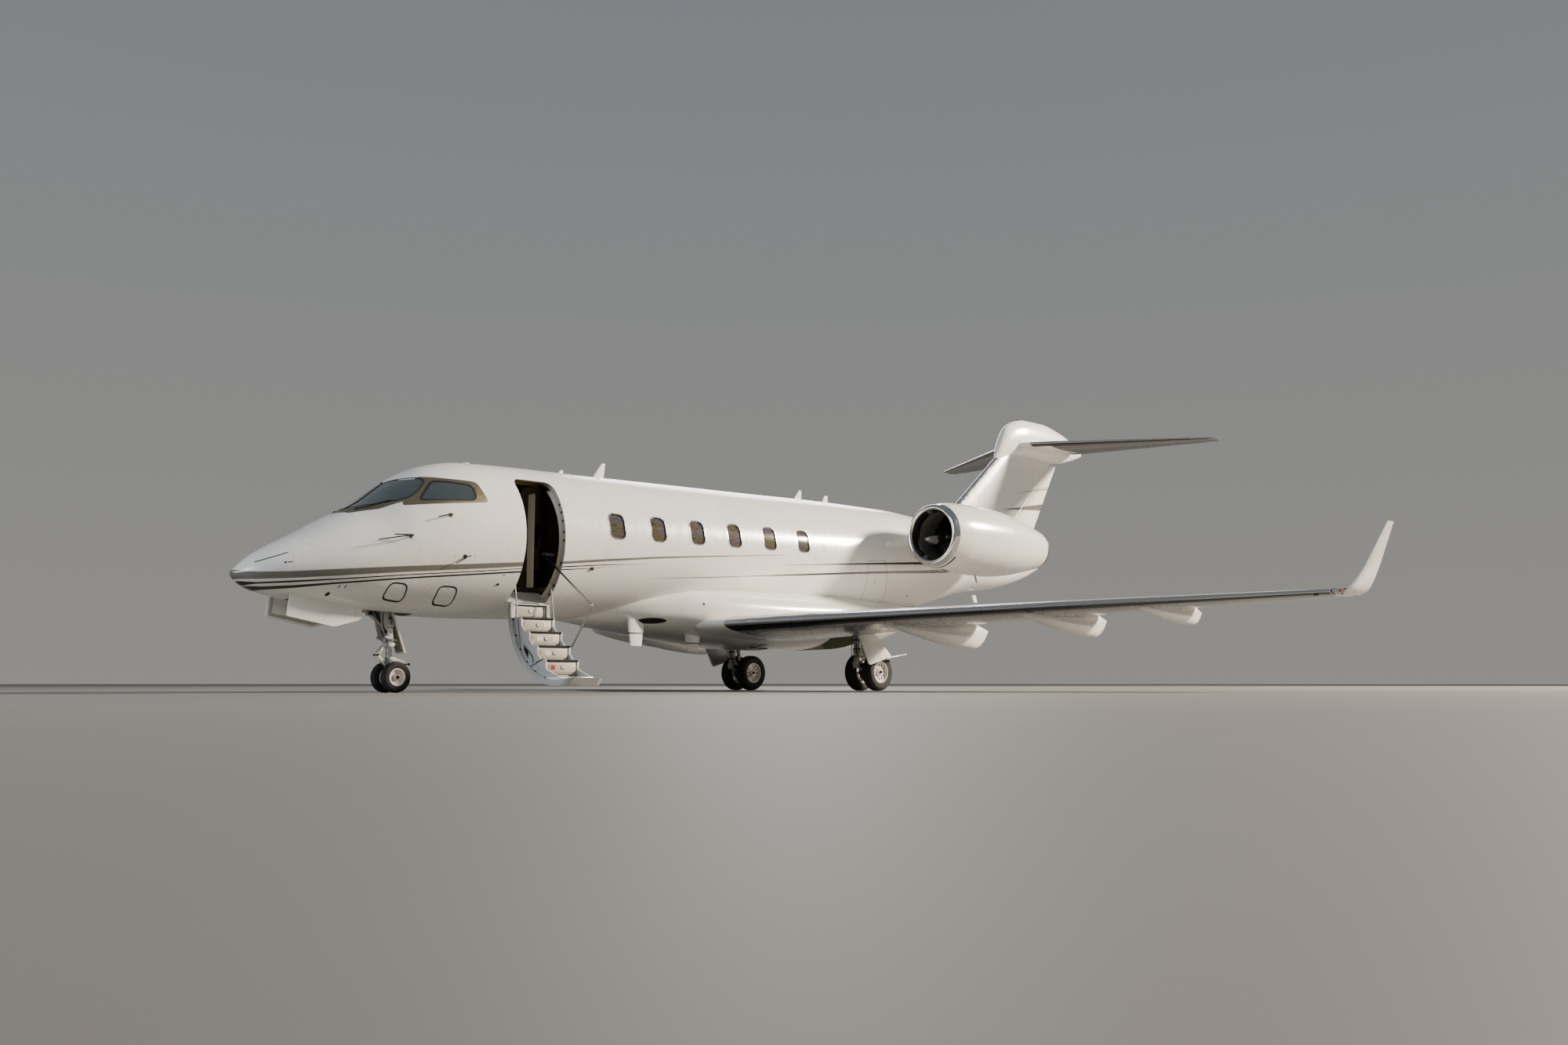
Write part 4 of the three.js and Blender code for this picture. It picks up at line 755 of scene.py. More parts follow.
# Belly fairing.
# Composite sandwich panels screwed round the wing roots, open over the main wheels, in gloss white.
# Columns: station, half width, top height, bottom height
BELLY_ROWS = [
    (5.25, 0.12, 1.26, 1.14), (5.9, 0.56, 1.56, 1.07), (6.7, 0.93, 1.7, 0.965), (7.5, 1.15, 1.8, 0.88),
    (8.5, 1.265, 1.82, 0.78), (9.4, 1.29, 1.83, 0.725), (10.7, 1.285, 1.83, 0.738), (11.86, 1.2, 1.8, 0.79),
    (12.9, 0.95, 1.76, 1.0), (14.0, 0.48, 1.7, 1.48),
]
BELLY_POWER = 0.8
BELLY_START, BELLY_END = 5.25, 14.0
WELL_FRONT, WELL_AFT, WELL_INNER, WELL_OUTER, WELL_TOP = 10.62, 11.56, 0.12, 1.18, 1.13
belly_at = smooth_table(BELLY_ROWS)


def panel_paint(name, spacing, seam_width=0.003, strength=0.5):
    """Gloss white over panels: fine dark joints at the spacing of the panels along each axis (0 for none)."""
    material, tree, shader, place, white = gloss_coat(name, OFF_WHITE, GRIMED_WHITE)
    split = add(tree, "SeparateXYZ", {0: place})
    lines = []
    for axis, gap in zip("XYZ", spacing):
        if gap:
            wave = add(tree, "Math", {0: split.outputs[axis], 1: gap}, operation="PINGPONG")
            line = add(tree, "Math", {0: wave.outputs[0], 1: seam_width / 2}, operation="LESS_THAN")
            lines.append(line.outputs[0])
    share = add(tree, "Math", {0: strongest(tree, lines), 1: strength}, operation="MULTIPLY")
    seamed = add(tree, "Mix", {0: share.outputs[0], 6: white, 7: linear("#57544E")},
                 data_type="RGBA")
    wire(tree, shader, Base_Color=seamed.outputs[2])
    return material


# Gloss white with a fine joint round the fairing at each panel
fairing_paint = panel_paint("fairing_polyurethane_gloss", (1.1, 0, 0))
belly = loft("belly_fairing", body_rings(belly_at, stations(BELLY_START, BELLY_END, 0.1), 0, BELLY_POWER))
carve(belly, loft("hull", body_rings(fuselage_at, stations(3.0, 16.0, 0.2), 0.0006)))
for side in (-1, 1):
    low, high = sorted((side * WELL_INNER, side * WELL_OUTER))
    carve(belly, prism("wheel_well", rectangle(WELL_FRONT, WELL_AFT, low, high), 0.4, WELL_TOP, "z"))
for face in belly.data.polygons:
    station = face.center.x - NOSE
    inside = WELL_FRONT - 0.001 < station < WELL_AFT + 0.001 and abs(face.center.y) < WELL_OUTER + 0.001
    face.material_index = int(inside and (face.normal.z < -0.99 or abs(face.normal.z) < 0.01)
                              and face.center.z < WELL_TOP + 0.01 and abs(face.normal.x)
                              + abs(face.normal.y) != 0
                              or inside and abs(face.center.z - WELL_TOP) < 0.01)
dress(shade(belly, 50), [fairing_paint, bay_primer], "airframe", "paint", "belly_fairing")


# Wings.
# Milled skins on spars, gloss white, with polished bare metal along the upper leading edge and deep composite
# canoes over the flap tracks; outboard of the root the underside is grey and the lower leading edge black,
# both painted shade.
# Columns of the section: root of the chord fraction, half thickness fraction
FOIL = smooth_table([(0, 0), (0.122, 0.3), (0.245, 0.56), (0.4, 0.82), (0.616, 1), (0.775, 0.84),
                     (0.894, 0.47), (1, 0.05)])
EDGE_SHARE, EDGE_START = 0.075, 1.4
FOIL_STEPS = np.concatenate([np.linspace(0, math.sqrt(EDGE_SHARE), 9),
                             np.linspace(math.sqrt(EDGE_SHARE), 1, 24)[1:]])


def foil_ring(row):
    """One section of a flying surface. Columns: Y, station, height, chord, thickness, drop and lean."""
    y, x, z, chord, thick, drop, lean = row
    tilt = math.radians(lean)
    ring = []
    for root, side in [(u, 1) for u in FOIL_STEPS] + [(u, -1) for u in FOIL_STEPS[:0:-1]]:
        share = root * root
        off = side * float(FOIL(root)[0]) * thick / 2
        ring.append((NOSE + x + share * chord, y - off * math.sin(tilt), z - drop * share
                     + off * math.cos(tilt)))
    return np.array(ring)


def blade(name, rows, side=1):
    rings = [foil_ring(row) * (1, side, 1) for row in rows]
    return loft(name, rings)


def between(rows, column, value):
    """A row of a table at any value of one column, straight between its rows."""
    table = np.array(rows, float)
    return [float(np.interp(value, table[:, column], table[:, k])) for k in range(table.shape[1])]


# Columns: Y, leading edge station, its height, chord, thickness, drop, lean
WING_ROWS = [
    (1.0, 7.4, 1.105, 4.25, 0.45, 0.06, 0), (1.4, 7.67, 1.12, 3.9, 0.42, 0.06, 0),
    (3.3, 8.95, 1.222, 2.84, 0.31, 0.045, 0), (6.3, 10.975, 1.381, 2.01, 0.215, 0.02, 0),
    (9.25, 12.966, 1.536, 1.19, 0.128, 0.005, 0),
]
FLAP_INNER, FLAP_OUTER, FLAP_FRONT = 1.5, 6.98, 0.74
AILERON_INNER, AILERON_OUTER, AILERON_HINGE, AILERON_GAP = 7.05, 9.05, 0.75, 0.02
FLAP_GAP = 0.006


def wing_at(y):
    return between(WING_ROWS, 0, y)


def nose_radius(row, hinge):
    return 0.94 * row[4] / 2 * float(FOIL(math.sqrt(hinge))[0])


def hinged(name, rows, hinges, side=1):
    """A hinged surface: a round nose about its hinge line, drawn back to a thin trailing edge."""
    rings = []
    for row, hinge in zip(rows, hinges):
        y, x, z, chord, thick, drop, lean = row
        tilt, radius = math.radians(lean), nose_radius(row, hinge)
        spots = [(hinge * chord + radius * math.cos(a), radius * math.sin(a))
                 for a in np.linspace(math.pi / 2, 1.5 * math.pi, 13)]
        spots += [(chord, -thick * 0.025), (chord, thick * 0.025)]
        rings.append([(NOSE + x + u, side * (y - v * math.sin(tilt)), z - drop * u / chord
                       + v * math.cos(tilt))
                      for u, v in spots])
    return loft(name, [np.array(ring) for ring in rings])


def flap_zone(name, side, grow):
    ys = [FLAP_INNER - grow, 3.3, 6.3, FLAP_OUTER + grow]
    outline = [(wing_at(y)[1] + FLAP_FRONT * wing_at(y)[3] - grow, side * y) for y in ys]
    outline += [(16.0, side * (FLAP_OUTER + grow)), (16.0, side * (FLAP_INNER - grow))]
    return prism(name, outline, 0, 3, "z")


def aileron_notch(name, side):
    inner, outer = AILERON_INNER - AILERON_GAP, AILERON_OUTER + AILERON_GAP
    fronts = [wing_at(y)[1] + AILERON_HINGE * wing_at(y)[3] - nose_radius(wing_at(y), AILERON_HINGE) - 0.012
              for y in (inner, outer)]
    return prism(name, [(fronts[0], side * inner), (16, side * inner), (16, side * outer),
                        (fronts[1], side * outer)], 0, 3, "z")


def line_leading_edge(piece, row_at, axis, side=1, start=EDGE_START):
    """Polished metal on the nose of a surface outboard of its root, a black film below it and grey gloss on
    the lower faces behind; the black and the grey are painted shade.
    """
    for face in piece.data.polygons:
        row = row_at(side * face.center[axis])
        share = (face.center.x - NOSE - row[1]) / row[3]
        if share < EDGE_SHARE and side * face.center[axis] > start:
            face.material_index = 1 if face.normal.z > -0.75 else 2
        elif face.normal.z < -0.3 and side * face.center[axis] > start:
            face.material_index = 3


# Gloss white with a fine joint across the wing at each skin panel
wing_paint = panel_paint("wing_polyurethane_gloss", (0, 0.9, 0))
# Polished bare leading edge: a clear mirror with fine fore-and-aft scratches
polished_edge = metal("polished_aluminium_clad", "#DDDFE0", "#B9BCBE", 0.2, 12.0)
# Black glossy film on the lower leading edge, a little dusty: painted shade and painted reflection of the
# ground
black_painted_shade_film = rubber("black_film_painted_edge_shade", "#09090A", "#161617", 0.28)
# Grey gloss on the wing's underside outboard of the root: painted shade and painted reflection of the ground
# on white paint
wing_underside_painted_shade = gloss_coat("grey_gloss_painted_wing_underside_shade", "#8D8F91", "#77787A", 0.24)[0]
WELL_HULL = body_rings(belly_at, stations(BELLY_START, BELLY_END, 0.2), 0.0006, BELLY_POWER)

# Columns: Y, front station, tail station, height, depth, half width
CANOES = [(3.45, 9.51, 12.18, 1.045, 0.32, 0.105), (5.4, 10.41, 12.91, 1.19, 0.29, 0.098),
          (6.85, 11.48, 13.51, 1.298, 0.212, 0.084)]
# Columns: share of the length, share of the half width, share of the depth, rise of the top
CANOE_SHAPE = smooth_table([(0, 0.03, 0.0, 0.02), (0.05, 0.2, 0.1, 0.06), (0.22, 0.62, 0.42, 0.11),
                            (0.5, 0.95, 0.8, 0.12), (0.72, 1, 0.97, 0.12), (0.85, 0.85, 1, 0.115),
                            (0.94, 0.45, 0.6, 0.055), (1, 0.06, 0.04, 0.005)])
CANOE_POINTS = 28
TAIL_CUT, TAIL_SLANT, TAIL_SEAM = 0.83, 0.11, 0.006

# Gloss white on the canoes, a little warmer and grimier than the wing's
canoe_paint = gloss_coat("canoe_polyurethane_gloss", "#E9E7E1", "#C4BEB2", 0.26)[0]


def canoe(name, spec, side):
    y, front, tail, height, depth, half = spec
    rings = []
    for share in np.concatenate([np.linspace(0, 0.08, 5), np.linspace(0.1, 0.9, 17),
                                 np.linspace(0.92, 1, 5)]):
        width, deep, rise = CANOE_SHAPE(share)
        high, low = height + rise, height - deep * depth
        turn = np.linspace(0, 2 * math.pi, CANOE_POINTS, endpoint=False)
        rings.append(np.column_stack([np.full(CANOE_POINTS, NOSE + front + share * (tail - front)),
                                      side * y + width * half * np.sin(turn),
                                      (high + low) / 2 + (high - low) / 2 * np.cos(turn)]))
    body = loft(name, rings)
    cut = front + TAIL_CUT * (tail - front)
    seam = [(cut, height + 0.3), (cut + TAIL_SEAM, height + 0.3),
            (cut + TAIL_SEAM - TAIL_SLANT, height - 0.5),
            (cut - TAIL_SLANT, height - 0.5)]
    low, high = sorted((side * (y - 0.2), side * (y + 0.2)))
    ring = carve(prism("seam", seam, low, high, "y"), prism("core", rectangle(cut - 0.3, cut + 0.2,
                 side * y - half * 0.9, side * y + half * 0.9), height - depth * 0.93, height + 0.05, "z"))
    return carve(body, ring)


for side, tag in SIDES:
    wing = blade(f"wing_{tag}", WING_ROWS, side)
    carve(wing, flap_zone("flap_room", side, FLAP_GAP))
    carve(wing, aileron_notch("aileron_room", side))
    carve(wing, loft("belly_room", WELL_HULL))
    # Painted shade: the lower leading edge black and the underside grey outboard of the root
    line_leading_edge(wing, wing_at, 1, side)
    dress(shade(wing, 40), [wing_paint, polished_edge, black_painted_shade_film, wing_underside_painted_shade], "airframe", "paint",
          f"wing_{tag}")
    flap = carve(blade(f"flap_{tag}", WING_ROWS, side), flap_zone("flap_zone", side, 0), "INTERSECT")
    dress(shade(flap, 40), [wing_paint], "airframe", "paint", f"flap_{tag}")
    aileron = hinged(f"aileron_{tag}", [wing_at(AILERON_INNER), wing_at(AILERON_OUTER)], [AILERON_HINGE] * 2,
                     side)
    dress(shade(aileron, 40), [wing_paint], f"aileron_{tag}", "paint", f"aileron_{tag}")
    canoes = [canoe("canoe", spec, side) for spec in CANOES]
    dress(shade(joined(f"flap_track_canoes_{tag}", canoes), 40), [canoe_paint], "airframe", "paint")


# Winglets.
# Carbon composite tips blended up from the wing, painted white, with a clear lens let into the leading
# edge of the root over a red lamp to port and a green one to starboard.
# Columns: share of the height, then a section's seven
WINGLET_ROWS = smooth_table([
    (0, 9.2505, 13.01, 1.538, 1.12, 0.122, 0, 0), (0.14, 9.4, 13.09, 1.552, 0.9, 0.096, 0, 30),
    (0.25, 9.482, 13.22, 1.64, 0.76, 0.074, 0, 70), (1, 9.715, 14.211, 2.69, 0.25, 0.026, 0, 78),
])
WINGLET_STEPS = 26
LENS_OUTER, LENS_SHARE, LENS_SEAM = 9.435, 0.14, 0.012
LAMP_CENTRE, LAMP_HALF = 9.37, 0.02
# Gloss white with a fine joint up the winglet; clear acrylic over the lamps, bright and smooth
winglet_paint = panel_paint("winglet_polyurethane_gloss", (0, 0, 0.52))
clear_lens = clear_pane("clear_acrylic_lens", "#C9CDCB", 0.03, 0.35)
for side, tag, colour, tint in ((-1, "port", "red", "#D8271C"), (1, "stbd", "green", "#1E9A4C")):
    rows = [WINGLET_ROWS(t) for t in np.linspace(0, 1, WINGLET_STEPS) ** 1.3]
    winglet = blade(f"winglet_{tag}", rows, side)
    for face in winglet.data.polygons:
        far, row = abs(face.center.y), between(rows, 2, face.center.z)
        if (face.center.x - NOSE - row[1]) / row[3] < LENS_SHARE and far < LENS_OUTER:
            seam = min(far - WINGLET_ROWS(0)[0], LENS_OUTER - far)
            face.material_index = 1 if seam < LENS_SEAM else 3 if abs(far - LAMP_CENTRE) < LAMP_HALF else 2
    lamp = clear_pane(f"{colour}_position_lens", tint, 0.05, 0.2)
    dress(shade(winglet, 40), [winglet_paint, black_sealant, clear_lens, lamp], "airframe", "paint",
          f"winglet_{tag}")


# Tail.
# Swept fin and rudder with a long bullet on top that carries the tailplane: gloss white, with a polished
# strip up each leading edge; the tailplane's underside and tips are dark grey and its lower leading edge
# black, both painted shade.
# Columns: station, half width, top height, bottom height
BULLET_ROWS = [
    (17.38, 0.03, 5.24, 5.1), (17.5, 0.085, 5.49, 5.11), (17.78, 0.145, 5.9, 5.16), (18.12, 0.185, 6.07, 5.2),
    (18.5, 0.21, 6.145, 5.23), (19.2, 0.215, 6.152, 5.24), (19.9, 0.19, 6.045, 5.29),
               (20.4, 0.14, 5.905, 5.4),
    (20.92, 0.04, 5.712, 5.565),
]
BULLET_START, BULLET_END = 17.38, 20.92
# Columns of each painted wedge: its tip, then the station and the two heights at its wide end, and colour
FIN_WEDGES = [((17.42, 3.975), 19.19, 4.116, 4.262, "#6B6860"),
              ((17.95, 4.385), 19.44, 4.615, 4.69, "#B9B7AF")]
# Outlines of the inspection panels on the fin, drawn as fine joints
FIN_PANELS = [[(17.72, 5.15), (17.76, 5.8)], [(18.11, 5.2), (18.15, 5.9)], [(17.72, 5.1), (18.11, 5.18)],
              [(18.08, 4.92), (17.86, 4.7)], [(17.86, 4.7), (18.11, 4.43)], [(18.11, 4.43), (18.32, 4.66)],
              [(18.32, 4.66), (18.08, 4.92)], [(17.69, 4.28), (17.51, 4.08)], [(17.51, 4.08), (17.65, 3.88)],
              [(17.65, 3.88), (17.85, 4.08)], [(17.85, 4.08), (17.69, 4.28)], [(18.15, 4.93), (19.1, 4.97)]]
UPRIGHT_JOINT = 0.1


def sloped(tree, station, start, end, lift=0.0):
    """The height of the straight line between two points at any station, and how far above it."""
    slope = (end[1] - start[1]) / (end[0] - start[0])
    return add(tree, "Math", {0: station, 1: slope, 2: start[1] - slope * start[0] + lift},
               operation="MULTIPLY_ADD").outputs[0]


def tail_gloss():
    """The tail's gloss white with two masked wedges that point forward and the fin's panel joints."""
    material, tree, shader, place, white = gloss_coat("tail_polyurethane_gloss", OFF_WHITE, GRIMED_WHITE)
    split = add(tree, "SeparateXYZ", {0: place})
    station = add(tree, "Math", {0: split.outputs["X"], 1: -NOSE}, operation="ADD").outputs[0]
    height = split.outputs["Z"]
    lines = []
    for start, end in (sorted(ends) for ends in FIN_PANELS):
        if end[0] - start[0] < UPRIGHT_JOINT:
            middle = (start[0] + end[0]) / 2
            across = band(tree, station, middle - 0.003, middle + 0.003)
            along = band(tree, height, *sorted((start[1], end[1])))
        else:
            low = sloped(tree, station, start, end, -0.0035)
            across = band(tree, height, low, sloped(tree, station, start, end, 0.0035))
            along = band(tree, station, start[0], end[0])
        lines.append(add(tree, "Math", {0: across, 1: along}, operation="MULTIPLY").outputs[0])
    faint = add(tree, "Math", {0: strongest(tree, lines), 1: 0.45}, operation="MULTIPLY")
    colour = add(tree, "Mix", {0: faint.outputs[0], 6: white, 7: linear("#57544E")}, data_type="RGBA")
    for tip, end, low, high, tint in FIN_WEDGES:
        across = band(tree, height, *(sloped(tree, station, tip, (end, edge)) for edge in (low, high)))
        along = band(tree, station, tip[0], end + 1)
        mask = add(tree, "Math", {0: across, 1: along}, operation="MULTIPLY")
        colour = add(tree, "Mix", {0: mask.outputs[0], 6: colour.outputs[2], 7: linear(tint)},
                     data_type="RGBA")
    wire(tree, shader, Base_Color=colour.outputs[2])
    return material


bullet_at = smooth_table(BULLET_ROWS)
bullet = loft("tail_bullet", body_rings(bullet_at, stations(BULLET_START, BULLET_END, 0.05), 0, 1, 64))
tail_paint = tail_gloss()
dress(shade(bullet, 50), [tail_paint], "airframe", "paint", "tail_bullet")


def fin_at(z):
    t = (z - 3.25) / 2.15
    return [0, 14.99 + t * 2.7, z, 3.61 - t * 1.355, 0.33 - t * 0.105, 0, 90]


RUDDER_FOOT, RUDDER_HEAD = (17.88, 3.745), (19.44, 5.115)
RUDDER_LOW, RUDDER_HIGH, RUDDER_GAP = 3.3, 5.205, 0.028
FIN_FOOT, FIN_TOP, EDGE_FOOT = 2.9, 5.4, 3.45
BEHIND_FIN = 20.8
FOOT_STATION, FOOT_HEIGHT, FOOT_SLOPE = 17.93, 3.782, -0.28


def rudder_line(z):
    return RUDDER_FOOT[0] + (z - RUDDER_FOOT[1]) / (RUDDER_HEAD[1] - RUDDER_FOOT[1]) * (
        RUDDER_HEAD[0] - RUDDER_FOOT[0])


def rudder_hinge(z):
    row = fin_at(z)
    return (rudder_line(z) - row[1]) / row[3]


def under_rudder(name, drop):
    foot = [FOOT_HEIGHT + FOOT_SLOPE * (x - FOOT_STATION) - drop for x in (16.5, BEHIND_FIN)]
    view = [(16.5, 2.5), (BEHIND_FIN, 2.5), (BEHIND_FIN, foot[1]), (16.5, foot[0])]
    return prism(name, view, -0.5, 0.5, "y")


fin = blade("fin", [fin_at(z) for z in np.linspace(FIN_FOOT, FIN_TOP, 14)])
ends = []
for z in (RUDDER_LOW, RUDDER_HIGH + 0.12):
    row = fin_at(z)
    ends.append((rudder_line(z) - nose_radius(row, rudder_hinge(z)) - 0.018, z))
notch = prism("notch", [ends[0], (BEHIND_FIN, ends[0][1]), (BEHIND_FIN, ends[1][1]), ends[1]], -0.4, 0.4, "y")
carve(fin, carve(notch, under_rudder("foot", RUDDER_GAP)))
for face in fin.data.polygons:
    row = fin_at(face.center.z)
    if (face.center.x - NOSE - row[1]) / row[3] < EDGE_SHARE * 0.6 and face.center.z > EDGE_FOOT:
        face.material_index = 1
dress(shade(fin, 40), [tail_paint, polished_edge], "airframe", "paint", "fin")

rudder_ends = (RUDDER_LOW, RUDDER_HIGH)
rudder = hinged("rudder", [fin_at(z) for z in rudder_ends], [rudder_hinge(z) for z in rudder_ends])
carve(rudder, under_rudder("foot", 0))
dress(shade(rudder, 40), [tail_paint], "rudder", "paint", "rudder")

# Columns: Y, leading edge station, its height, chord, thickness, drop, lean
STAB_ROWS = [(0, 17.98, 5.535, 2.27, 0.215, 0, 0), (3.64, 20.3, 5.535, 0.618, 0.066, 0, 0)]
ELEVATOR_INNER, ELEVATOR_OUTER, ELEVATOR_HINGE = 0.33, 3.42, 0.7
PAINTED_SHADE_ROOT, PAINTED_SHADE_TIP = 0.55, 3.635


def stab_at(y):
    return between(STAB_ROWS, 0, y)


# Dark grey gloss under the tailplane and on its tips: painted shade and painted reflection of the ground
tail_underside_painted_shade = gloss_coat("dark_grey_gloss_painted_tail_underside_shade", "#2C2D30", "#3B3A38", 0.22)[0]
halves = []
for side, tag in SIDES:
    half = blade("half", [stab_at(y) for y in np.linspace(0.05, 3.64, 12)], side)
    inner, outer = ELEVATOR_INNER - 0.014, ELEVATOR_OUTER + 0.016
    fronts = [stab_at(y)[1] + ELEVATOR_HINGE * stab_at(y)[3] - nose_radius(stab_at(y), ELEVATOR_HINGE) - 0.012
              for y in (inner, outer)]
    carve(half, prism("notch", [(fronts[0], side * inner), (21.5, side * inner), (21.5, side * outer),
                                (fronts[1], side * outer)], 5, 6, "z"))
    line_leading_edge(half, stab_at, 1, side, 0.3)
    # Painted shade: the tip faces take the dark grey, and the underside near the root stays white
    for face in half.data.polygons:
        far = abs(face.center.y)
        if face.material_index == 0 and far > PAINTED_SHADE_TIP or face.material_index == 3 and far < PAINTED_SHADE_ROOT:
            face.material_index = 3 - face.material_index
    for finish in (tail_paint, polished_edge, black_painted_shade_film, tail_underside_painted_shade):
        half.data.materials.append(finish)
    halves.append(half)
    ends = [stab_at(ELEVATOR_INNER), stab_at(ELEVATOR_OUTER)]
    elevator = hinged(f"elevator_{tag}", ends, [ELEVATOR_HINGE] * 2, side)
    # Painted shade: the elevator's lower faces outboard of the root take the dark grey
    for face in elevator.data.polygons:
        face.material_index = int(face.normal.z < -0.3 and abs(face.center.y) > PAINTED_SHADE_ROOT)
    dress(shade(elevator, 40), [tail_paint, tail_underside_painted_shade], f"elevator_{tag}", "paint", f"elevator_{tag}")
dress(shade(joined("stabiliser", halves), 40), [], "airframe", "paint", "stabiliser")


# Engines.
# Two-piece composite cowls with a spun aluminium lip, a wide-chord titanium fan on a plain core, and
# a heat-stained nozzle; each hangs on a stub pylon.
ENGINE_START, ENGINE_Y, ENGINE_Z, ENGINE_SLOPE = 12.574, 1.892, 2.914, -0.02
ENGINE_STEPS = 96
# Columns: station from the lip, radius
COWL_OUTER = smooth_table([(0, 0.548), (0.06, 0.578), (0.2, 0.61), (0.55, 0.655), (1.1, 0.673), (1.7, 0.665),
                           (2.3, 0.608), (2.9, 0.498), (3.43, 0.385)])
COWL_INNER = smooth_table([(0.008, 0.512), (0.05, 0.476), (0.18, 0.448), (0.42, 0.466), (0.64, 0.506),
                           (0.9, 0.51), (1.5, 0.52), (2.3, 0.5), (3.42, 0.352)])
LIP_END, LIP_THROAT, NOZZLE_START = 0.17, 0.2, 3.38
COWL_JOINTS = [0.46, 1.62, 2.52]


def turned(name, profile, steps=ENGINE_STEPS, matrix=None):
    """A body of revolution about X from pairs of X and radius; a profile that closes on itself is a ring."""
    ring_shape = profile[0] == profile[-1]
    loop = profile[:-1] if ring_shape else profile
    turn = np.linspace(0, 2 * math.pi, steps, endpoint=False)
    rings = [np.column_stack([np.full(steps, x), max(r, 1e-5) * np.cos(turn), max(r, 1e-5) * np.sin(turn)])
             for x, r in loop]
    piece = loft(name, rings, loop=ring_shape)
    if matrix is not None:
        piece.data.transform(matrix)
    return piece


def engine_place(side):
    return Matrix.Translation((NOSE + ENGINE_START, side * ENGINE_Y, ENGINE_Z)) @ Matrix.Rotation(
        math.atan(-ENGINE_SLOPE), 4, "Y")


def curve_points(read, start, end, steps):
    return [(float(x), float(read(x)[0])) for x in np.linspace(start, end, steps)]


outer_line = curve_points(COWL_OUTER, 0.06, 3.43, 46)
inner_line = curve_points(COWL_INNER, 3.42, 0.06, 40)
lip_middle = (outer_line[0][1] + inner_line[-1][1]) / 2
lip_half = (outer_line[0][1] - inner_line[-1][1]) / 2
lip_line = [(0.06 - 0.06 * math.sin(a), lip_middle - lip_half * math.cos(a))
            for a in np.linspace(0, math.pi, 13)[1:-1]]
cowl_profile = outer_line + inner_line + lip_line + outer_line[:1]


def cowl_gloss():
    """Gloss white cowl with the joint between the inlet and the fan cowl, and the cowl doors' split line."""
    material, tree, shader, place, white = gloss_coat("cowl_polyurethane_gloss", OFF_WHITE, GRIMED_WHITE)
    split = add(tree, "SeparateXYZ", {0: place})
    spots = [("X", NOSE + ENGINE_START + joint) for joint in COWL_JOINTS] + [("Z", ENGINE_Z)]
    lines = [band(tree, split.outputs[axis], spot - 0.003, spot + 0.003, 0.002) for axis, spot in spots]
    share = add(tree, "Math", {0: strongest(tree, lines), 1: 0.55}, operation="MULTIPLY")
    seamed = add(tree, "Mix", {0: share.outputs[0], 6: white, 7: linear("#57544E")},
                 data_type="RGBA")
    wire(tree, shader, Base_Color=seamed.outputs[2])
    return material


cowl_paint = cowl_gloss()
# Spun lip skin, polished: mirror bright, with rings of fine scratches
lip_metal = metal("spun_polished_aluminium", "#DADCDD", "#B9BBBD", 0.1, 10.0)
# Acoustic duct liner: dark grey, dull, full of tiny holes
duct_liner = rubber("perforated_duct_liner", "#5A5855", "#75726D", 0.5)
# Forged titanium: mid grey, satin, darker where the air has dirtied it
titanium = metal("forged_titanium", "#6E6C69", "#3C3B3A", 0.32, 8.0)
# Heat-stained nickel alloy: straw and blue over grey
burnt_alloy = metal("heat_stained_nickel_alloy", "#8A7A66", "#4A4C57", 0.38, 4.0)

FAN_STATION, FAN_DEPTH, FAN_HUB, FAN_REAR = 0.7, 0.14, 0.15, 1.0
BLADE_COUNT, BLADE_CHORD, BLADE_THICK, BLADE_TIP = 20, 0.16, 0.011, 0.487
# Columns: radius, chord angle to the axis in degrees, share of the full chord, forward sweep
BLADE_TWIST = smooth_table([(0.11, 30, 0.8, 0), (0.22, 40, 0.92, 0.004), (0.36, 53, 1, 0.012),
                            (BLADE_TIP, 62, 0.94, 0.0)])
BLADE_SPANS, BLADE_SECTION = 9, 9
# Columns: station from the cowl's lip, radius
CORE_PROFILE = [(0.932, 0), (0.932, 0.04), (1.01, 0.04), (1.01, 0.505), (1.5, 0.515), (2.2, 0.49), (2.2, 0.3),
                (2.45, 0.292), (2.9, 0.25), (3.2, 0.15), (3.42, 0.055), (3.5, 0.03), (3.5, 0)]


def fan_blade(turn):
    rings = []
    for radius in np.linspace(0.11, BLADE_TIP, BLADE_SPANS):
        degrees, share, sweep = BLADE_TWIST(radius)
        pitch = math.radians(degrees)
        chord = BLADE_CHORD * share
        ring = []
        for side in (1, -1):
            for t in np.linspace(0, 1, BLADE_SECTION)[:: side][:-1]:
                along = (t - 0.5) * chord
                camber = 0.05 * chord * (1 - (2 * t - 1) ** 2)
                off = camber + side * BLADE_THICK / 2 * math.sqrt(max(0.0, 1 - (2 * t - 1) ** 2))
                ring.append((FAN_STATION + FAN_DEPTH / 2 - sweep
                             + along * math.cos(pitch) - off * math.sin(pitch),
                             along * math.sin(pitch) + off * math.cos(pitch), radius))
        rings.append(np.array(ring))
    blade_piece = loft("fan_blade", rings)
    blade_piece.data.transform(Matrix.Rotation(turn, 4, "X"))
    return blade_piece


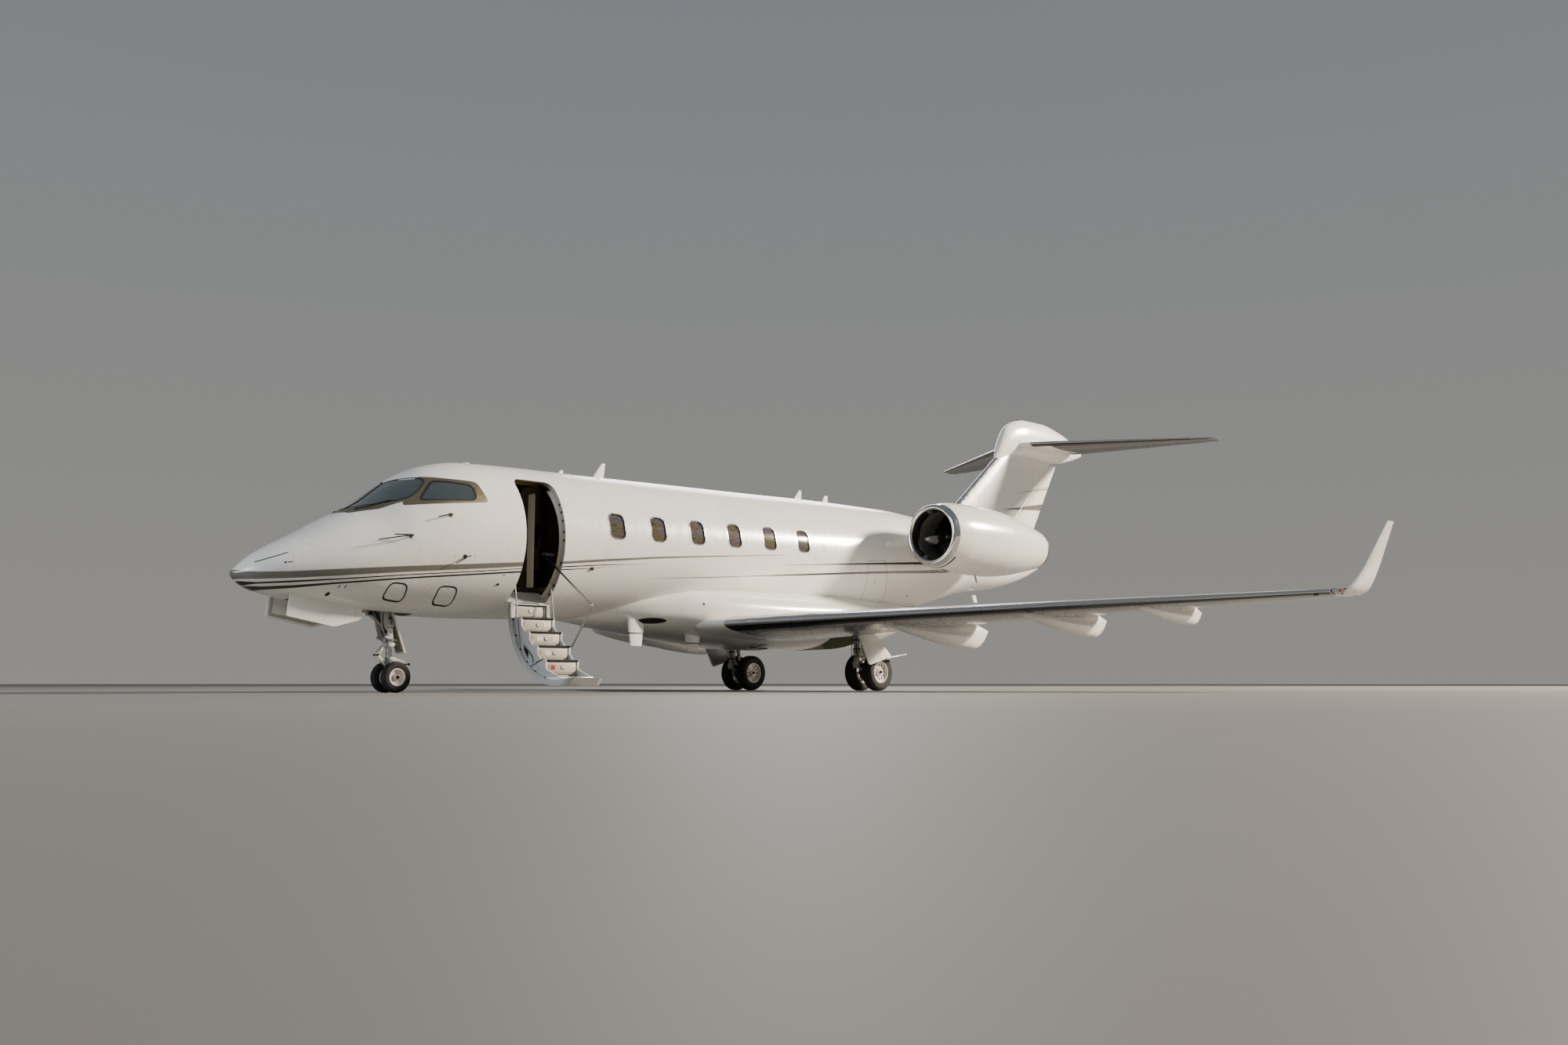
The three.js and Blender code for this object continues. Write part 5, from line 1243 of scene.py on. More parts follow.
for side, tag in SIDES:
    place = engine_place(side)
    cowl = turned(f"nacelle_{tag}", cowl_profile, matrix=place)
    back = place.inverted()
    for face in cowl.data.polygons:
        spot = back @ face.center
        radius = math.hypot(spot.y, spot.z)
        outside = radius > float(COWL_OUTER(min(max(spot.x, 0), 3.43))[0]) - 0.016
        if spot.x < (LIP_END if outside else LIP_THROAT):
            face.material_index = 1
        elif not outside:
            face.material_index = 2 if spot.x < 2.9 else 3
        elif spot.x > NOZZLE_START:
            face.material_index = 3
    dress(shade(cowl, 50), [cowl_paint, lip_metal, duct_liner, burnt_alloy], "airframe", "paint",
          f"nacelle_{tag}")

    pylon_rows = [(0.55, 12.86, ENGINE_Z - 0.02, 2.84, 0.26, 0, 0),
                  (1.5, 13.02, ENGINE_Z - 0.02, 2.6, 0.235, 0, 0)]
    pylon = blade(f"pylon_{tag}", pylon_rows, side)
    dress(shade(pylon, 40), [cowl_paint], "airframe", "paint", f"pylon_{tag}")

    hub = turned("hub",
                 [(0.47, 0), (0.478, 0.022), (0.5, 0.042), (0.55, 0.072), (0.62, 0.104), (FAN_STATION, 0.13),
                         (FAN_STATION + FAN_DEPTH, FAN_HUB), (FAN_REAR, 0.12), (FAN_REAR, 0.045),
                         (FAN_REAR - 0.07, 0.045), (FAN_REAR - 0.07, 0)], 64)
    fan = joined(f"fan_{tag}", [hub] + [fan_blade(2 * math.pi * i / BLADE_COUNT) for i in range(BLADE_COUNT)])
    fan.data.transform(place)
    dress(shade(fan, 40), [titanium], f"fan_{tag}", "dark_metal", f"fan_{tag}")

    core = turned(f"engine_core_{tag}", CORE_PROFILE, 72, place)
    dress(shade(core, 40), [burnt_alloy], "airframe", "dark_metal", f"engine_core_{tag}")


# Doorway.
# Machined frame let into the fuselage skin, bare and satin, with the dark bolt plates that take the
# door's latches, a scuffed sill plate and a brown anodised header over the entry.
JAMB_THICK, JAMB_DEPTH, REVEAL_DEPTH = 0.004, 0.086, 0.16
HINGE_Y, HINGE_Z = -0.712, 1.322
KNUCKLE_RADIUS, KNUCKLE_WIDTH, KNUCKLE_STATIONS = 0.014, 0.046, (3.99, 4.455)
LUG_OUT, LUG_IN = -0.016, 0.014
BOLT_HEIGHTS = [1.47, 1.6, 1.93, 2.27, 2.4, 2.57, 2.7, 2.82]

# Grey etch-primed aluminium, machined: pale, with a soft sheen and rub marks
satin_aluminium = metal("etched_satin_aluminium", "#C6C6C2", "#9B9B98", 0.42, 26.0, 0.35)
# Brown anodised aluminium: warm and fairly bright
brown_anodised = metal("brown_anodised_aluminium", "#9A7B4E", "#6F5636", 0.34, 20.0)
# Steel fittings blackened with oil: dark, with a dull gleam
dark_fitting = metal("oiled_black_steel", "#1D1D1E", "#34322F", 0.45, 30.0)


def at(station, y, z):
    return Vector((NOSE + station, y, z))


def in_finish(piece, material, angle=30):
    piece.data.materials.append(material)
    return shade(piece, angle)


def tube(name, path, radius, sides=14):
    """A round bar or pipe along a path of station, Y and Z, closed at its ends; one radius or one a point."""
    spots = [at(*point) for point in path]
    radii = list(radius) if isinstance(radius, (list, tuple)) else [radius] * len(spots)
    ways = [(b - a).normalized() for a, b in zip(spots, spots[1:])]
    turn = ways[0].to_track_quat("Z", "Y")
    rings = []
    for i, spot in enumerate(spots):
        before, after = ways[max(i - 1, 0)], ways[min(i, len(ways) - 1)]
        middle = (before + after).normalized()
        turn = (turn @ Vector((0, 0, 1))).rotation_difference(middle) @ turn
        rings.append(np.array([spot + turn @ Vector((radii[i] * math.cos(a), radii[i] * math.sin(a), 0))
                               for a in np.linspace(0, 2 * math.pi, sides, endpoint=False)]))
    return loft(name, rings)


def bent(path, corner, steps=7):
    """A path with each inner corner turned into a bend."""
    spots = [Vector(point) for point in path]
    soft = [spots[0]]
    for before, here, after in zip(spots, spots[1:], spots[2:]):
        start = here + (before - here).normalized() * min(corner, (before - here).length * 0.48)
        end = here + (after - here).normalized() * min(corner, (after - here).length * 0.48)
        soft += [start * (1 - t) ** 2 + here * 2 * t * (1 - t) + end * t * t
                 for t in np.linspace(0, 1, steps)]
    return [tuple(spot) for spot in soft + [spots[-1]]]


def eased(piece, width, segments=2):
    """Breaks a piece's sharp edges with a small radius."""
    change = piece.modifiers.new("ease", "BEVEL")
    change.width, change.segments, change.limit_method = width, segments, "ANGLE"
    return settle(piece)


def block(name, x, y, z, ease=0.003):
    """A machined block between two stations, two Y and two Z, with its edges broken."""
    return eased(prism(name, rectangle(x[0], x[1], min(y), max(y)), z[0], z[1], "z"), ease)


jamb = carve(carve(skin_layer("jamb", *DOOR_SPAN, -0.003, -JAMB_DEPTH), doorway("hole", 0.0005), "INTERSECT"),
             doorway("clear", JAMB_THICK))
dress(shade(jamb), [satin_aluminium], "airframe", "gear_steel")
reveal = carve(carve(skin_layer("door_reveal", *DOOR_SPAN, -JAMB_DEPTH - 0.001, -REVEAL_DEPTH),
                     doorway("hole", -0.028), "INTERSECT"), doorway("clear", 0.002))
for face in reveal.data.polygons:
    face.material_index = int(face.center.z < 2.86)
dress(shade(reveal), [brown_anodised, trim_panel], "airframe", "cabin_trim")

bolts = []
for side_station, proud in ((DOOR_AFT - JAMB_THICK, -0.0018), (DOOR_FRONT + JAMB_THICK, 0.0018)):
    for height in BOLT_HEIGHTS:
        spot = side_point(side_station, height)[0]
        low, high = sorted((side_station, side_station + proud))
        outline = [(spot.y + 0.02 + u, height + v) for u, v in rounded(0, 0.036, -0.02, 0.02, 0.012, 4)]
        bolts.append(prism("bolt", outline, low, high, "x"))
dress(shade(joined("doorway_bolt_plates", bolts)), [dark_fitting], "airframe", "gear_steel")



def knuckle(station, low, high):
    """A lug between two heights above the sill, and its knuckle on the hinge line."""
    corners = [(low, LUG_OUT), (high, LUG_OUT), (high, LUG_IN), (low, LUG_IN)]
    end = station + KNUCKLE_WIDTH
    lug = prism("lug", [sill_point(*corner) for corner in corners], station, end, "x")
    return lug, tube("knuckle", [(station, HINGE_Y, HINGE_Z), (end, HINGE_Y, HINGE_Z)], KNUCKLE_RADIUS, 24)


hinges = []
for station in KNUCKLE_STATIONS:
    lug, pin = knuckle(station, -0.04, -0.003)
    hinges += [eased(lug, 0.002), pin]
dress(shade(joined("doorway_hinges", hinges)), [satin_aluminium], "airframe", "gear_steel")
sill = prism("door_sill_plate",
             [sill_point(0.0005, -0.002), sill_point(0.0035, -0.002), sill_point(0.0035, 0.2),
                                 sill_point(0.0005, 0.2)], DOOR_FRONT + 0.03, DOOR_AFT - 0.03, "x")
dress(shade(sill), [satin_aluminium], "airframe", "gear_steel")


# Airstair door.
# The fuselage's own skin cut out and hinged at its sill: painted outside like the fuselage, a grey pan
# inside with a raised rim. Five moulded steps with grip treads stand on it between riveted webs.
DOOR_SWING = 129.0
DOOR_CLEARANCE, DOOR_RIM, PAN_SKIN = 0.008, 0.062, 0.02
DOOR_KNUCKLE_OFFSET = 0.0464
STEP_FRONT, STEP_AFT, STEP_COUNT = 3.94, 4.545, 5
STEP_Y, STEP_Z, STEP_RUN, STEP_RISE = -0.80, 1.315, 0.205, 0.21
CHEEK, TREAD, NOSING = 0.016, 0.022, 0.012
WEB_WIDTH = 0.03
FOOT_PLATE_Y, FOOT_PLATE_Z = (-1.96, -1.50), (0.14, 0.225)

# Grey-blue epoxy on the door's inner pan: satin, faintly mottled
pan_enamel = gloss_coat("grey_epoxy_enamel", "#B4B6B6", "#8F9192", 0.34)[0]
# White enamel on small fittings: clean and glossy
white_enamel = gloss_coat("white_epoxy_enamel", "#ECEAE4", "#C9C4B8", 0.3)[0]
# Red enamel on the warning strips and one plate: clean, a little chalked
red_enamel = gloss_coat("red_epoxy_enamel", "#B3241C", "#7E1B15", 0.35)[0]
# Moulded thermoplastic risers: warm beige, dull, with scuffs
riser_plastic = grained("moulded_beige_thermoplastic", "#D2CCBF", "#B3AB9B", 0.5)


def grip_tread():
    """Mineral-filled grip sheet: black, matt, full of coarse grit."""
    material, tree, shader, place = new_finish("grip_tread_sheet", Roughness=0.85)
    grit = add(tree, "TexVoronoi", {"Vector": place, "Scale": 350.0})
    tone = add(tree, "Mix", {0: grit.outputs["Distance"], 6: linear("#3A3936"), 7: linear("#161616")},
               data_type="RGBA")
    bump = add(tree, "Bump", {"Height": grit.outputs["Distance"], "Strength": 0.7, "Distance": 0.001})
    wire(tree, shader, Base_Color=tone.outputs[2], Normal=bump.outputs[0])
    return material


grip_sheet = grip_tread()
swing = (Matrix.Translation((0, HINGE_Y, HINGE_Z)) @ Matrix.Rotation(math.radians(DOOR_SWING), 4, "X")
         @ Matrix.Translation((0, -HINGE_Y, -HINGE_Z)))

door_skin = carve(skin_layer("airstair_skin", *DOOR_SPAN, 0, -SKIN_THICK),
                  doorway("door_zone", DOOR_CLEARANCE),
                  "INTERSECT")
pan_outline = rounded(DOOR_FRONT + DOOR_RIM, DOOR_AFT - DOOR_RIM, 1.2, DOOR_TOP - DOOR_RIM, DOOR_CORNER)
pan = carve(skin_layer("pan", *DOOR_SPAN, -PAN_SKIN, -SKIN_THICK - 0.02),
            doorway("pan_zone", 0.03, pan_outline),
            "INTERSECT")
carve(door_skin, pan)
faces_inside(door_skin, fuselage_at, 1, 0.995)
door_skin.data.transform(swing)
back = swing.inverted()
door_paint = striped_paint("door_polyurethane_gloss", -math.radians(DOOR_SWING), tuple(back.to_translation()))
dress(shade(door_skin), [door_paint, pan_enamel], "airstair", "paint", "airstair_door")

door_hinges = []
for station in KNUCKLE_STATIONS:
    door_hinges += knuckle(station + DOOR_KNUCKLE_OFFSET, 0.009, 0.036)
door_hinge = joined("airstair_hinges", door_hinges)
door_hinge.matrix_world = swing
dress(shade(door_hinge), [satin_aluminium], "airstair", "gear_steel")


def stair_outline(grow=0.0):
    outline = [(STEP_Y + 0.055, STEP_Z + grow)]
    for i in range(STEP_COUNT):
        y, z = STEP_Y - i * STEP_RUN, STEP_Z - i * STEP_RISE
        outline += [(y - grow, z + grow), (y - grow, z - STEP_RISE + grow)]
    outline.pop()
    last_y, last_z = STEP_Y - (STEP_COUNT - 1) * STEP_RUN, STEP_Z - STEP_COUNT * STEP_RISE
    return outline + [(last_y - grow, last_z - 0.06), (last_y + 0.11, last_z - 0.03),
                      (STEP_Y + 0.055, STEP_Z - 0.23)]


# Columns of each blank plate on a riser, from the forward end: start, end, finish
STEP_PLATES = [[], [(0.41, 0.54, white_enamel)], [(0.14, 0.24, white_enamel), (0.42, 0.53, white_enamel)],
               [(0.14, 0.24, white_enamel)], [(0.1, 0.17, red_enamel)]]
RED_EDGES = (2, 3)
stair = [in_finish(prism("stair_core", stair_outline(-0.032), STEP_FRONT + 0.004, STEP_AFT - 0.004, "x"),
                   pan_enamel)]
for low, high in ((STEP_FRONT, STEP_FRONT + CHEEK), (STEP_AFT - CHEEK, STEP_AFT)):
    stair.append(in_finish(eased(prism("cheek", stair_outline(), low, high, "x"), 0.003), pan_enamel))
for i in range(STEP_COUNT):
    y, z = STEP_Y - i * STEP_RUN, STEP_Z - i * STEP_RISE
    inner = (STEP_FRONT + CHEEK, STEP_AFT - CHEEK)
    back = y + (STEP_RUN if i else 0.055)
    tread = block("tread", inner, (y + NOSING, back), (z - TREAD, z - 0.003))
    nosing = prism("nosing", softened([(y + 0.001, z - 0.001), (y + 0.03, z - 0.001), (y + 0.03, z - 0.034),
                                       (y + 0.001, z - 0.034)], 0.008), inner[0], inner[1], "x")
    riser = block("riser", inner, (y + 0.014, y + 0.03), (z - STEP_RISE + 0.002, z - 0.03))
    panel = eased(prism("panel",
                        [(x, z - STEP_RISE + v) for x, v in rounded(inner[0] + 0.045, inner[1] - 0.045,
                  0.022, STEP_RISE - 0.058, 0.02)], y + 0.006, y + 0.016, "y"), 0.003)
    stair += [in_finish(tread, grip_sheet), in_finish(nosing, dark_fitting), in_finish(riser, riser_plastic),
              in_finish(panel, riser_plastic)]
    for edge in (inner[0] + 0.001, inner[1] - 0.019):
        stair.append(in_finish(block("riser_edge", (edge, edge + 0.018), (y + 0.002, y + 0.014),
                                     (z - STEP_RISE + 0.004, z - 0.034)), white_enamel))
    middle = (inner[0] + inner[1]) / 2
    latch = rounded(middle - 0.026, middle + 0.026, z - 0.142, z - 0.09, 0.008, 4)
    stair.append(in_finish(prism("latch_frame", latch, y + 0.003, y + 0.008, "y"), dark_fitting))
    stair.append(in_finish(eased(prism("latch", inset(latch, 0.006), y + 0.001, y + 0.006, "y"), 0.001),
                           satin_aluminium))
    for start, end, coat in STEP_PLATES[i]:
        plate = rounded(STEP_FRONT + start, STEP_FRONT + end, z - 0.145, z - 0.08, 0.004, 3)
        stair.append(in_finish(prism("plate", plate, y + 0.003, y + 0.008, "y"), coat))
    if i in RED_EDGES:
        strip = block("red_edge", (inner[0] + 0.001, inner[0] + 0.012), (y - 0.0005, y + 0.003),
                      (z - STEP_RISE + 0.01, z - 0.05), 0.001)
        stair.append(in_finish(strip, red_enamel))
room = loft("room", body_rings(fuselage_at, stations(*DOOR_SPAN), 0.02 - SKIN_THICK))
carve(room, prism("port_half", rectangle(DOOR_FRONT, DOOR_AFT, -1.4, 0), 1.0, 3.4, "z"), "INTERSECT")
room.data.transform(swing)
WEB = [(-0.86, 1.13), (-1.64, 0.33), (-1.96, 0.215), (-2.04, 0.17), (-1.86, 0.13), (-1.30, 0.24),
       (-0.80, 0.90)]
WEB_SLOT = [(-1.08, 0.6), (-1.08, 0.74), (-1.2, 0.6), (-1.2, 0.47)]
for low, high in ((STEP_FRONT + 0.003, STEP_FRONT + WEB_WIDTH), (STEP_AFT - WEB_WIDTH, STEP_AFT - 0.003)):
    web = carve(prism("web", WEB, low, high, "x"), room, "INTERSECT", keep=True)
    carve(web, prism("slot", softened(WEB_SLOT, 0.03), low - 0.01, high + 0.01, "x"))
    stair.append(in_finish(web, pan_enamel))
bpy.data.objects.remove(room)
stair.append(in_finish(block("foot_plate", (STEP_FRONT + 0.001, STEP_AFT - 0.001), FOOT_PLATE_Y, FOOT_PLATE_Z,
                             0.008), white_enamel))
stair.append(in_finish(block("foot_tread", (STEP_FRONT + 0.03, STEP_AFT - 0.03), (-1.93, -1.63),
                             (0.222, 0.229), 0.002), grip_sheet))
dress(joined("airstair_steps", stair), [], "airstair", "cabin_trim")

# Latches round the pan's rim; the gas spring and its hose on the steps' forward side
RIM_LATCHES = [1.52, 1.74, 1.98, 2.24, 2.5, 2.76]
RIM_INSET = DOOR_CLEARANCE + 0.035
rim_seats = []
for height in RIM_LATCHES:
    for station in (DOOR_FRONT + RIM_INSET, DOOR_AFT - RIM_INSET):
        spot, out = side_point(station, height)
        rim_seats.append((spot - out * SKIN_THICK, -out))
rim_latches = domes("airstair_rim_latches", rim_seats, 0.017, 0.009, 16)
rim_latches.matrix_world = swing
dress(shade(rim_latches), [dark_fitting], "airstair", "gear_steel")
STRUT_STATION = STEP_FRONT - 0.012
spring = [in_finish(tube("spring_body", [(STRUT_STATION, -1.15, 0.36), (STRUT_STATION, -1.42, 0.44)], 0.014),
                    pan_enamel),
          in_finish(tube("spring_rod", [(STRUT_STATION, -1.42, 0.44), (STRUT_STATION, -1.6, 0.493)], 0.007),
                    polished_rim),
          in_finish(tube("hose", bent([(STRUT_STATION, -1.12, 0.66), (STRUT_STATION - 0.012, -1.26, 0.585),
                                       (STRUT_STATION - 0.012, -1.345, 0.49), (STRUT_STATION, -1.32, 0.42)],
                                      0.09),
                         0.0055), dark_fitting)]
dress(joined("airstair_gas_spring", spring), [], "airstair", "gear_steel")


# Airstair handrail and stays.
# Bent stainless tube that stands on the aft side of the steps and folds in with the door; a stay ties
# its bend to the doorway, and two thin wire ropes on reels in the jamb carry the door.
RAIL_STATION = STEP_AFT + 0.022
RAIL_FOOT, RAIL_ELBOW = (-1.385, 0.64), (-1.84, 1.216)
RAIL_RADIUS, RAIL_BOSS = 0.017, 0.026
RAIL_TOP = (-0.668, 2.092)
rail = tube("post", [(RAIL_STATION, *RAIL_FOOT), (RAIL_STATION, *RAIL_ELBOW)], RAIL_RADIUS, 20)
boss = tube("boss", [(STEP_AFT + 0.0004, RAIL_FOOT[0], RAIL_FOOT[1] + 0.005),
                     (RAIL_STATION + 0.014, RAIL_FOOT[0], RAIL_FOOT[1] + 0.005)], RAIL_BOSS, 28)
dress(shade(joined("airstair_handrail", [rail, boss])), [polished_rim], "airstair", "polished",
      "airstair_handrail")
STAY_STEPS = 28
stay_path = bent([(RAIL_STATION, *RAIL_ELBOW), (RAIL_STATION, -1.872, 1.262), (RAIL_STATION, -1.83, 1.295),
                  (RAIL_STATION, *RAIL_TOP)], 0.05)
straight = [tuple(Vector(stay_path[-2]).lerp(Vector(stay_path[-1]), t))
            for t in np.linspace(0, 1, STAY_STEPS)]
stay = tube("airstair_handrail_stay", stay_path[:-2] + straight, RAIL_RADIUS, 16)
stay.data.materials.append(polished_rim)
shade(stay)
at(RAIL_STATION, *RAIL_ELBOW)
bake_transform(stay)
socket = tube("airstair_rail_socket", [(RAIL_STATION - 0.012, *RAIL_TOP), (4.77, *RAIL_TOP)], 0.019, 20)
dress(shade(socket), [satin_aluminium], "airframe", "gear_steel")
# Columns: name, station, Y and height at the frame, Y and height at the steps
WIRES = [("front", 3.925, (-0.846, 1.66), (-1.035, 0.43)), ("aft", 4.56, (-0.861, 1.691), (-1.02, 0.8))]
for tag, station, top, foot in WIRES:
    rope = tube(f"airstair_wire_{tag}",
                [tuple(at(station, *top).lerp(at(station, *foot), t) - Vector((NOSE, 0, 0)))
                                         for t in np.linspace(0, 1, 9)], 0.009, 12)
    dress(shade(rope), [satin_aluminium], "airframe", "gear_steel")
    at(station, *foot) - at(station, *top)
    at(station, *top)
    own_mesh(rope)


# Nose gear leg.
# Machined steel cylinder on a trunnion across the bay, with bolted side webs, a hydraulic retraction
# strut and steering jacks; grey epoxy over the forgings, bare clamps and black hoses on them.
STRUT_TOP, STRUT_FOOT = (2.285, 0, 1.4292), (2.405, 0, 0.33)
BARREL_FOOT, PISTON_RADIUS, PISTON_TOP = 0.64, 0.04, 0.8

# Grey epoxy on the forgings: light, satin, streaked with oil
gear_enamel = gloss_coat("oiled_grey_epoxy", "#B9BAB6", "#76746C", 0.36)[0]
# White gear enamel: bright, with grime in the corners
gear_white = gloss_coat("gear_white_epoxy", "#E4E2DA", "#A39F93", 0.32)[0]
# Ground hard chrome: a mirror with fine axial scratches
hard_chrome = metal("ground_hard_chrome", "#D5D8DA", "#B7BBBE", 0.08, 16.0)
# Braided and rubber hoses: black, dull
hose_rubber = rubber("hydraulic_hose_rubber", "#111112", "#2A2926", 0.6)


def strut_point(z, off=(0, 0)):
    t = (STRUT_TOP[2] - z) / (STRUT_TOP[2] - STRUT_FOOT[2])
    return (STRUT_TOP[0] + t * (STRUT_FOOT[0] - STRUT_TOP[0]) + off[0], off[1], z)


def aimed(start, end):
    """The frame whose X axis runs from one point to another."""
    a, b = at(*start), at(*end)
    return Matrix.Translation(a) @ (b - a).to_track_quat("X", "Z").to_matrix().to_4x4()


def lathe(name, start, end, profile, steps=40):
    """A turned part about a line; its profile is the share of the line and the radius."""
    length = (at(*end) - at(*start)).length
    return turned(name, [(share * length, radius) for share, radius in profile], steps, aimed(start, end))


def bar(name, start, end, radius, collar=0.0, steps=28):
    """A turned rod with a chamfer and, where given, a raised collar at each end."""
    ends = [(0, 0), (0, radius * 0.85), (0.02, radius)]
    if collar:
        ends = [(0, 0), (0, radius * 0.9), (0.015, radius + collar), (0.09, radius + collar), (0.11, radius)]
    return lathe(name, start, end, ends + [(1 - share, r) for share, r in reversed(ends)], steps)


def jack(name, start, end, radius, share=0.6):
    """A hydraulic jack: cylinder, gland and chromed rod."""
    joint = tuple(Vector(start).lerp(Vector(end), share))
    case = lathe(name, start, joint,
                 [(0, 0), (0, radius * 0.6), (0.05, radius), (0.85, radius), (0.87, radius * 1.12),
                                      (0.99, radius * 1.12), (1, radius * 0.9), (1, 0)])
    return [in_finish(case, gear_enamel), in_finish(bar("rod", joint, end, radius * 0.5), hard_chrome)]


def plate(name, outline, low, high, finish, axis="y", soft=0.02, ease=0.003):
    return in_finish(eased(prism(name, softened(outline, soft), low, high, axis), ease), finish)


def hose(name, path, radius=0.007, corner=0.05):
    return in_finish(tube(name, bent(path, corner), radius, 10), hose_rubber)


# Side webs and plates. Columns: outline, nearest and furthest Y, finish
LEG_PLATES = [
    ([(2.155, 1.42), (2.3, 1.42), (2.31, 1.0), (2.395, 0.82), (2.37, 0.78), (2.27, 0.8), (2.2, 0.95)],
     0.052, 0.078, gear_enamel),
    ([(2.36, 1.4), (2.385, 1.4), (2.41, 0.94), (2.385, 0.94)], 0.052, 0.078, gear_white),
    ([(2.285, 0.97), (2.385, 0.97), (2.405, 0.7), (2.33, 0.68), (2.3, 0.8)], 0.066, 0.082, gear_white),
]
LEG_BOLTS = [(2.31, 0.93), (2.365, 0.93), (2.35, 0.86), (2.345, 0.75), (2.385, 0.75)]
# Columns: share of the length, radius
BARREL_PROFILE = [(0, 0), (0, 0.05), (0.03, 0.056), (0.1, 0.056), (0.12, 0.064), (0.2, 0.064), (0.22, 0.058),
                  (0.5, 0.058), (0.52, 0.066), (0.6, 0.066), (0.62, 0.06), (0.8, 0.06), (0.82, 0.07),
                  (0.9, 0.07),
                  (0.905, 0.064), (0.93, 0.064), (0.935, 0.07), (1, 0.068), (1, PISTON_RADIUS + 0.001),
                  (0.76, PISTON_RADIUS + 0.001), (0.76, 0)]
CLAMP_PROFILE = [(0, 0.055), (0, 0.074), (0.2, 0.078), (0.8, 0.078), (1, 0.074), (1, 0.055), (0, 0.055)]
leg = [in_finish(lathe("barrel", strut_point(STRUT_TOP[2]), strut_point(BARREL_FOOT), BARREL_PROFILE),
                 gear_enamel)]
for side in (-1, 1):
    for outline, near, far, finish in LEG_PLATES:
        leg.append(plate("leg_plate", outline, *sorted((side * near, side * far)), finish))
    seats = [(at(x, side * 0.0825, z), Vector((0, side, 0))) for x, z in LEG_BOLTS]
    leg.append(in_finish(domes("bolts", seats, 0.011, 0.008, 6), dark_fitting))
    leg.append(in_finish(bar("drag_rod", (2.02, side * 0.05, 1.3), (2.3, side * 0.07, 0.84), 0.012, 0.006),
                         dark_fitting))
# Trunnion, pin and links of the drag brace. Columns: start, end, radius, collar, finish
for start, end, radius, collar, finish in (
        ((2.3, -0.2496, 1.37), (2.3, 0.2496, 1.37), 0.034, 0.006, gear_enamel),
        ((1.75, -0.2496, 1.33), (1.75, 0.2496, 1.33), 0.026, 0.006, gear_enamel),
        ((1.75, 0, 1.33), (2.04, 0, 1.119), 0.028, 0.005, gear_enamel),
        ((2.04, 0, 1.119), (2.33, 0, 0.907), 0.026, 0.006, gear_enamel),
        ((2.04, -0.055, 1.119), (2.04, 0.055, 1.119), 0.022, 0.003, dark_fitting)):
    leg.append(in_finish(bar("brace", start, end, radius, collar), finish))
leg += jack("retraction_jack", (1.95, 0.12, 1.38), (2.25, 0.07, 1.02), 0.03)
for side in (-1, 1):
    leg += jack("steering_jack", (2.24, side * 0.105, 0.79), (2.44, side * 0.105, 0.742), 0.027, 0.62)
    leg.append(plate("jack_bracket", [(2.29, 0.83), (2.37, 0.82), (2.37, 0.72), (2.3, 0.73)],
                     *sorted((side * 0.055, side * 0.11)), gear_enamel))
leg.append(hose("brake_hose",
                [(2.25, -0.06, 1.3), (2.215, -0.085, 1.0), (2.26, -0.09, 0.84), (2.3, -0.075, 0.72)]))
leg.append(hose("steering_hose", [(2.24, 0.06, 1.3), (2.2, 0.09, 0.98), (2.27, 0.1, 0.8)]))
leg.append(hose("front_hose", [(2.24, 0, 1.2), (2.235, -0.01, 0.95), (2.28, -0.03, 0.78)], 0.006))
for z in (1.22, 1.06, 0.9):
    clamp = lathe("clamp", strut_point(z + 0.008), strut_point(z - 0.008), CLAMP_PROFILE)
    leg.append(in_finish(clamp, dark_fitting))
leg.append(in_finish(block("cap", (2.225, 2.345), (-0.06, 0.06), (1.37, 1.4296), 0.004), gear_enamel))
dress(joined("nose_gear_leg", leg), [], "airframe", "gear_steel", "nose_gear_leg")
leg_door = [plate("panel", [(2.35, 1.13), (2.372, 1.136), (2.585, 0.566), (2.562, 0.56)], -0.12, 0.12,
                  cheat_line_paint,
                  soft=0.004)]
# Olive-grey epoxy on the leg door's lining: satin, grimy
olive_lining = gloss_coat("olive_grey_epoxy", "#8F8C74", "#6A6755", 0.45)[0]
leg_door.append(plate("lining", [(2.347, 1.1), (2.351, 1.1), (2.549, 0.585), (2.545, 0.585)], -0.1, 0.1,
                      olive_lining,
                      soft=0.001, ease=0.001))
for z in (0.7, 0.96):
    reach = 2.35 + (1.14 - z) * 0.372
    leg_door.append(in_finish(block("clamp", (strut_point(z)[0] + 0.064, reach + 0.004), (-0.03, 0.03),
                                    (z - 0.02, z + 0.02)),
                              gear_enamel))
dress(joined("nose_leg_door", leg_door), [], "airframe", "paint", "nose_leg_door")


# Nose gear fork.
# Chromed piston with a forged foot that carries the axle; a steering collar turns it through torque
# links, and a towing lug stands behind the wheels.
NOSE_AXLE = (2.418, 0.0, 0.221)
# Columns: share of the length, radius
FOOT_PROFILE = [(0, 0), (0, 0.046), (0.04, 0.052), (0.3, 0.052), (0.38, 0.062), (0.8, 0.062), (0.95, 0.05),
                (1, 0.03), (1, 0)]
COLLAR_PROFILE = [(0, 0.0715), (0, 0.088), (0.1, 0.094), (0.9, 0.094), (1, 0.088), (1, 0.0715), (0, 0.0715)]
fork = [in_finish(bar("piston", strut_point(PISTON_TOP - 0.01), strut_point(0.3), PISTON_RADIUS),
                  hard_chrome)]
fork.append(in_finish(lathe("foot", strut_point(0.42), strut_point(0.18), FOOT_PROFILE), gear_white))
fork.append(in_finish(bar("axle_boss", (NOSE_AXLE[0], -0.07, NOSE_AXLE[2]),
                          (NOSE_AXLE[0], 0.07, NOSE_AXLE[2]), 0.054,
                          0.004), gear_enamel))
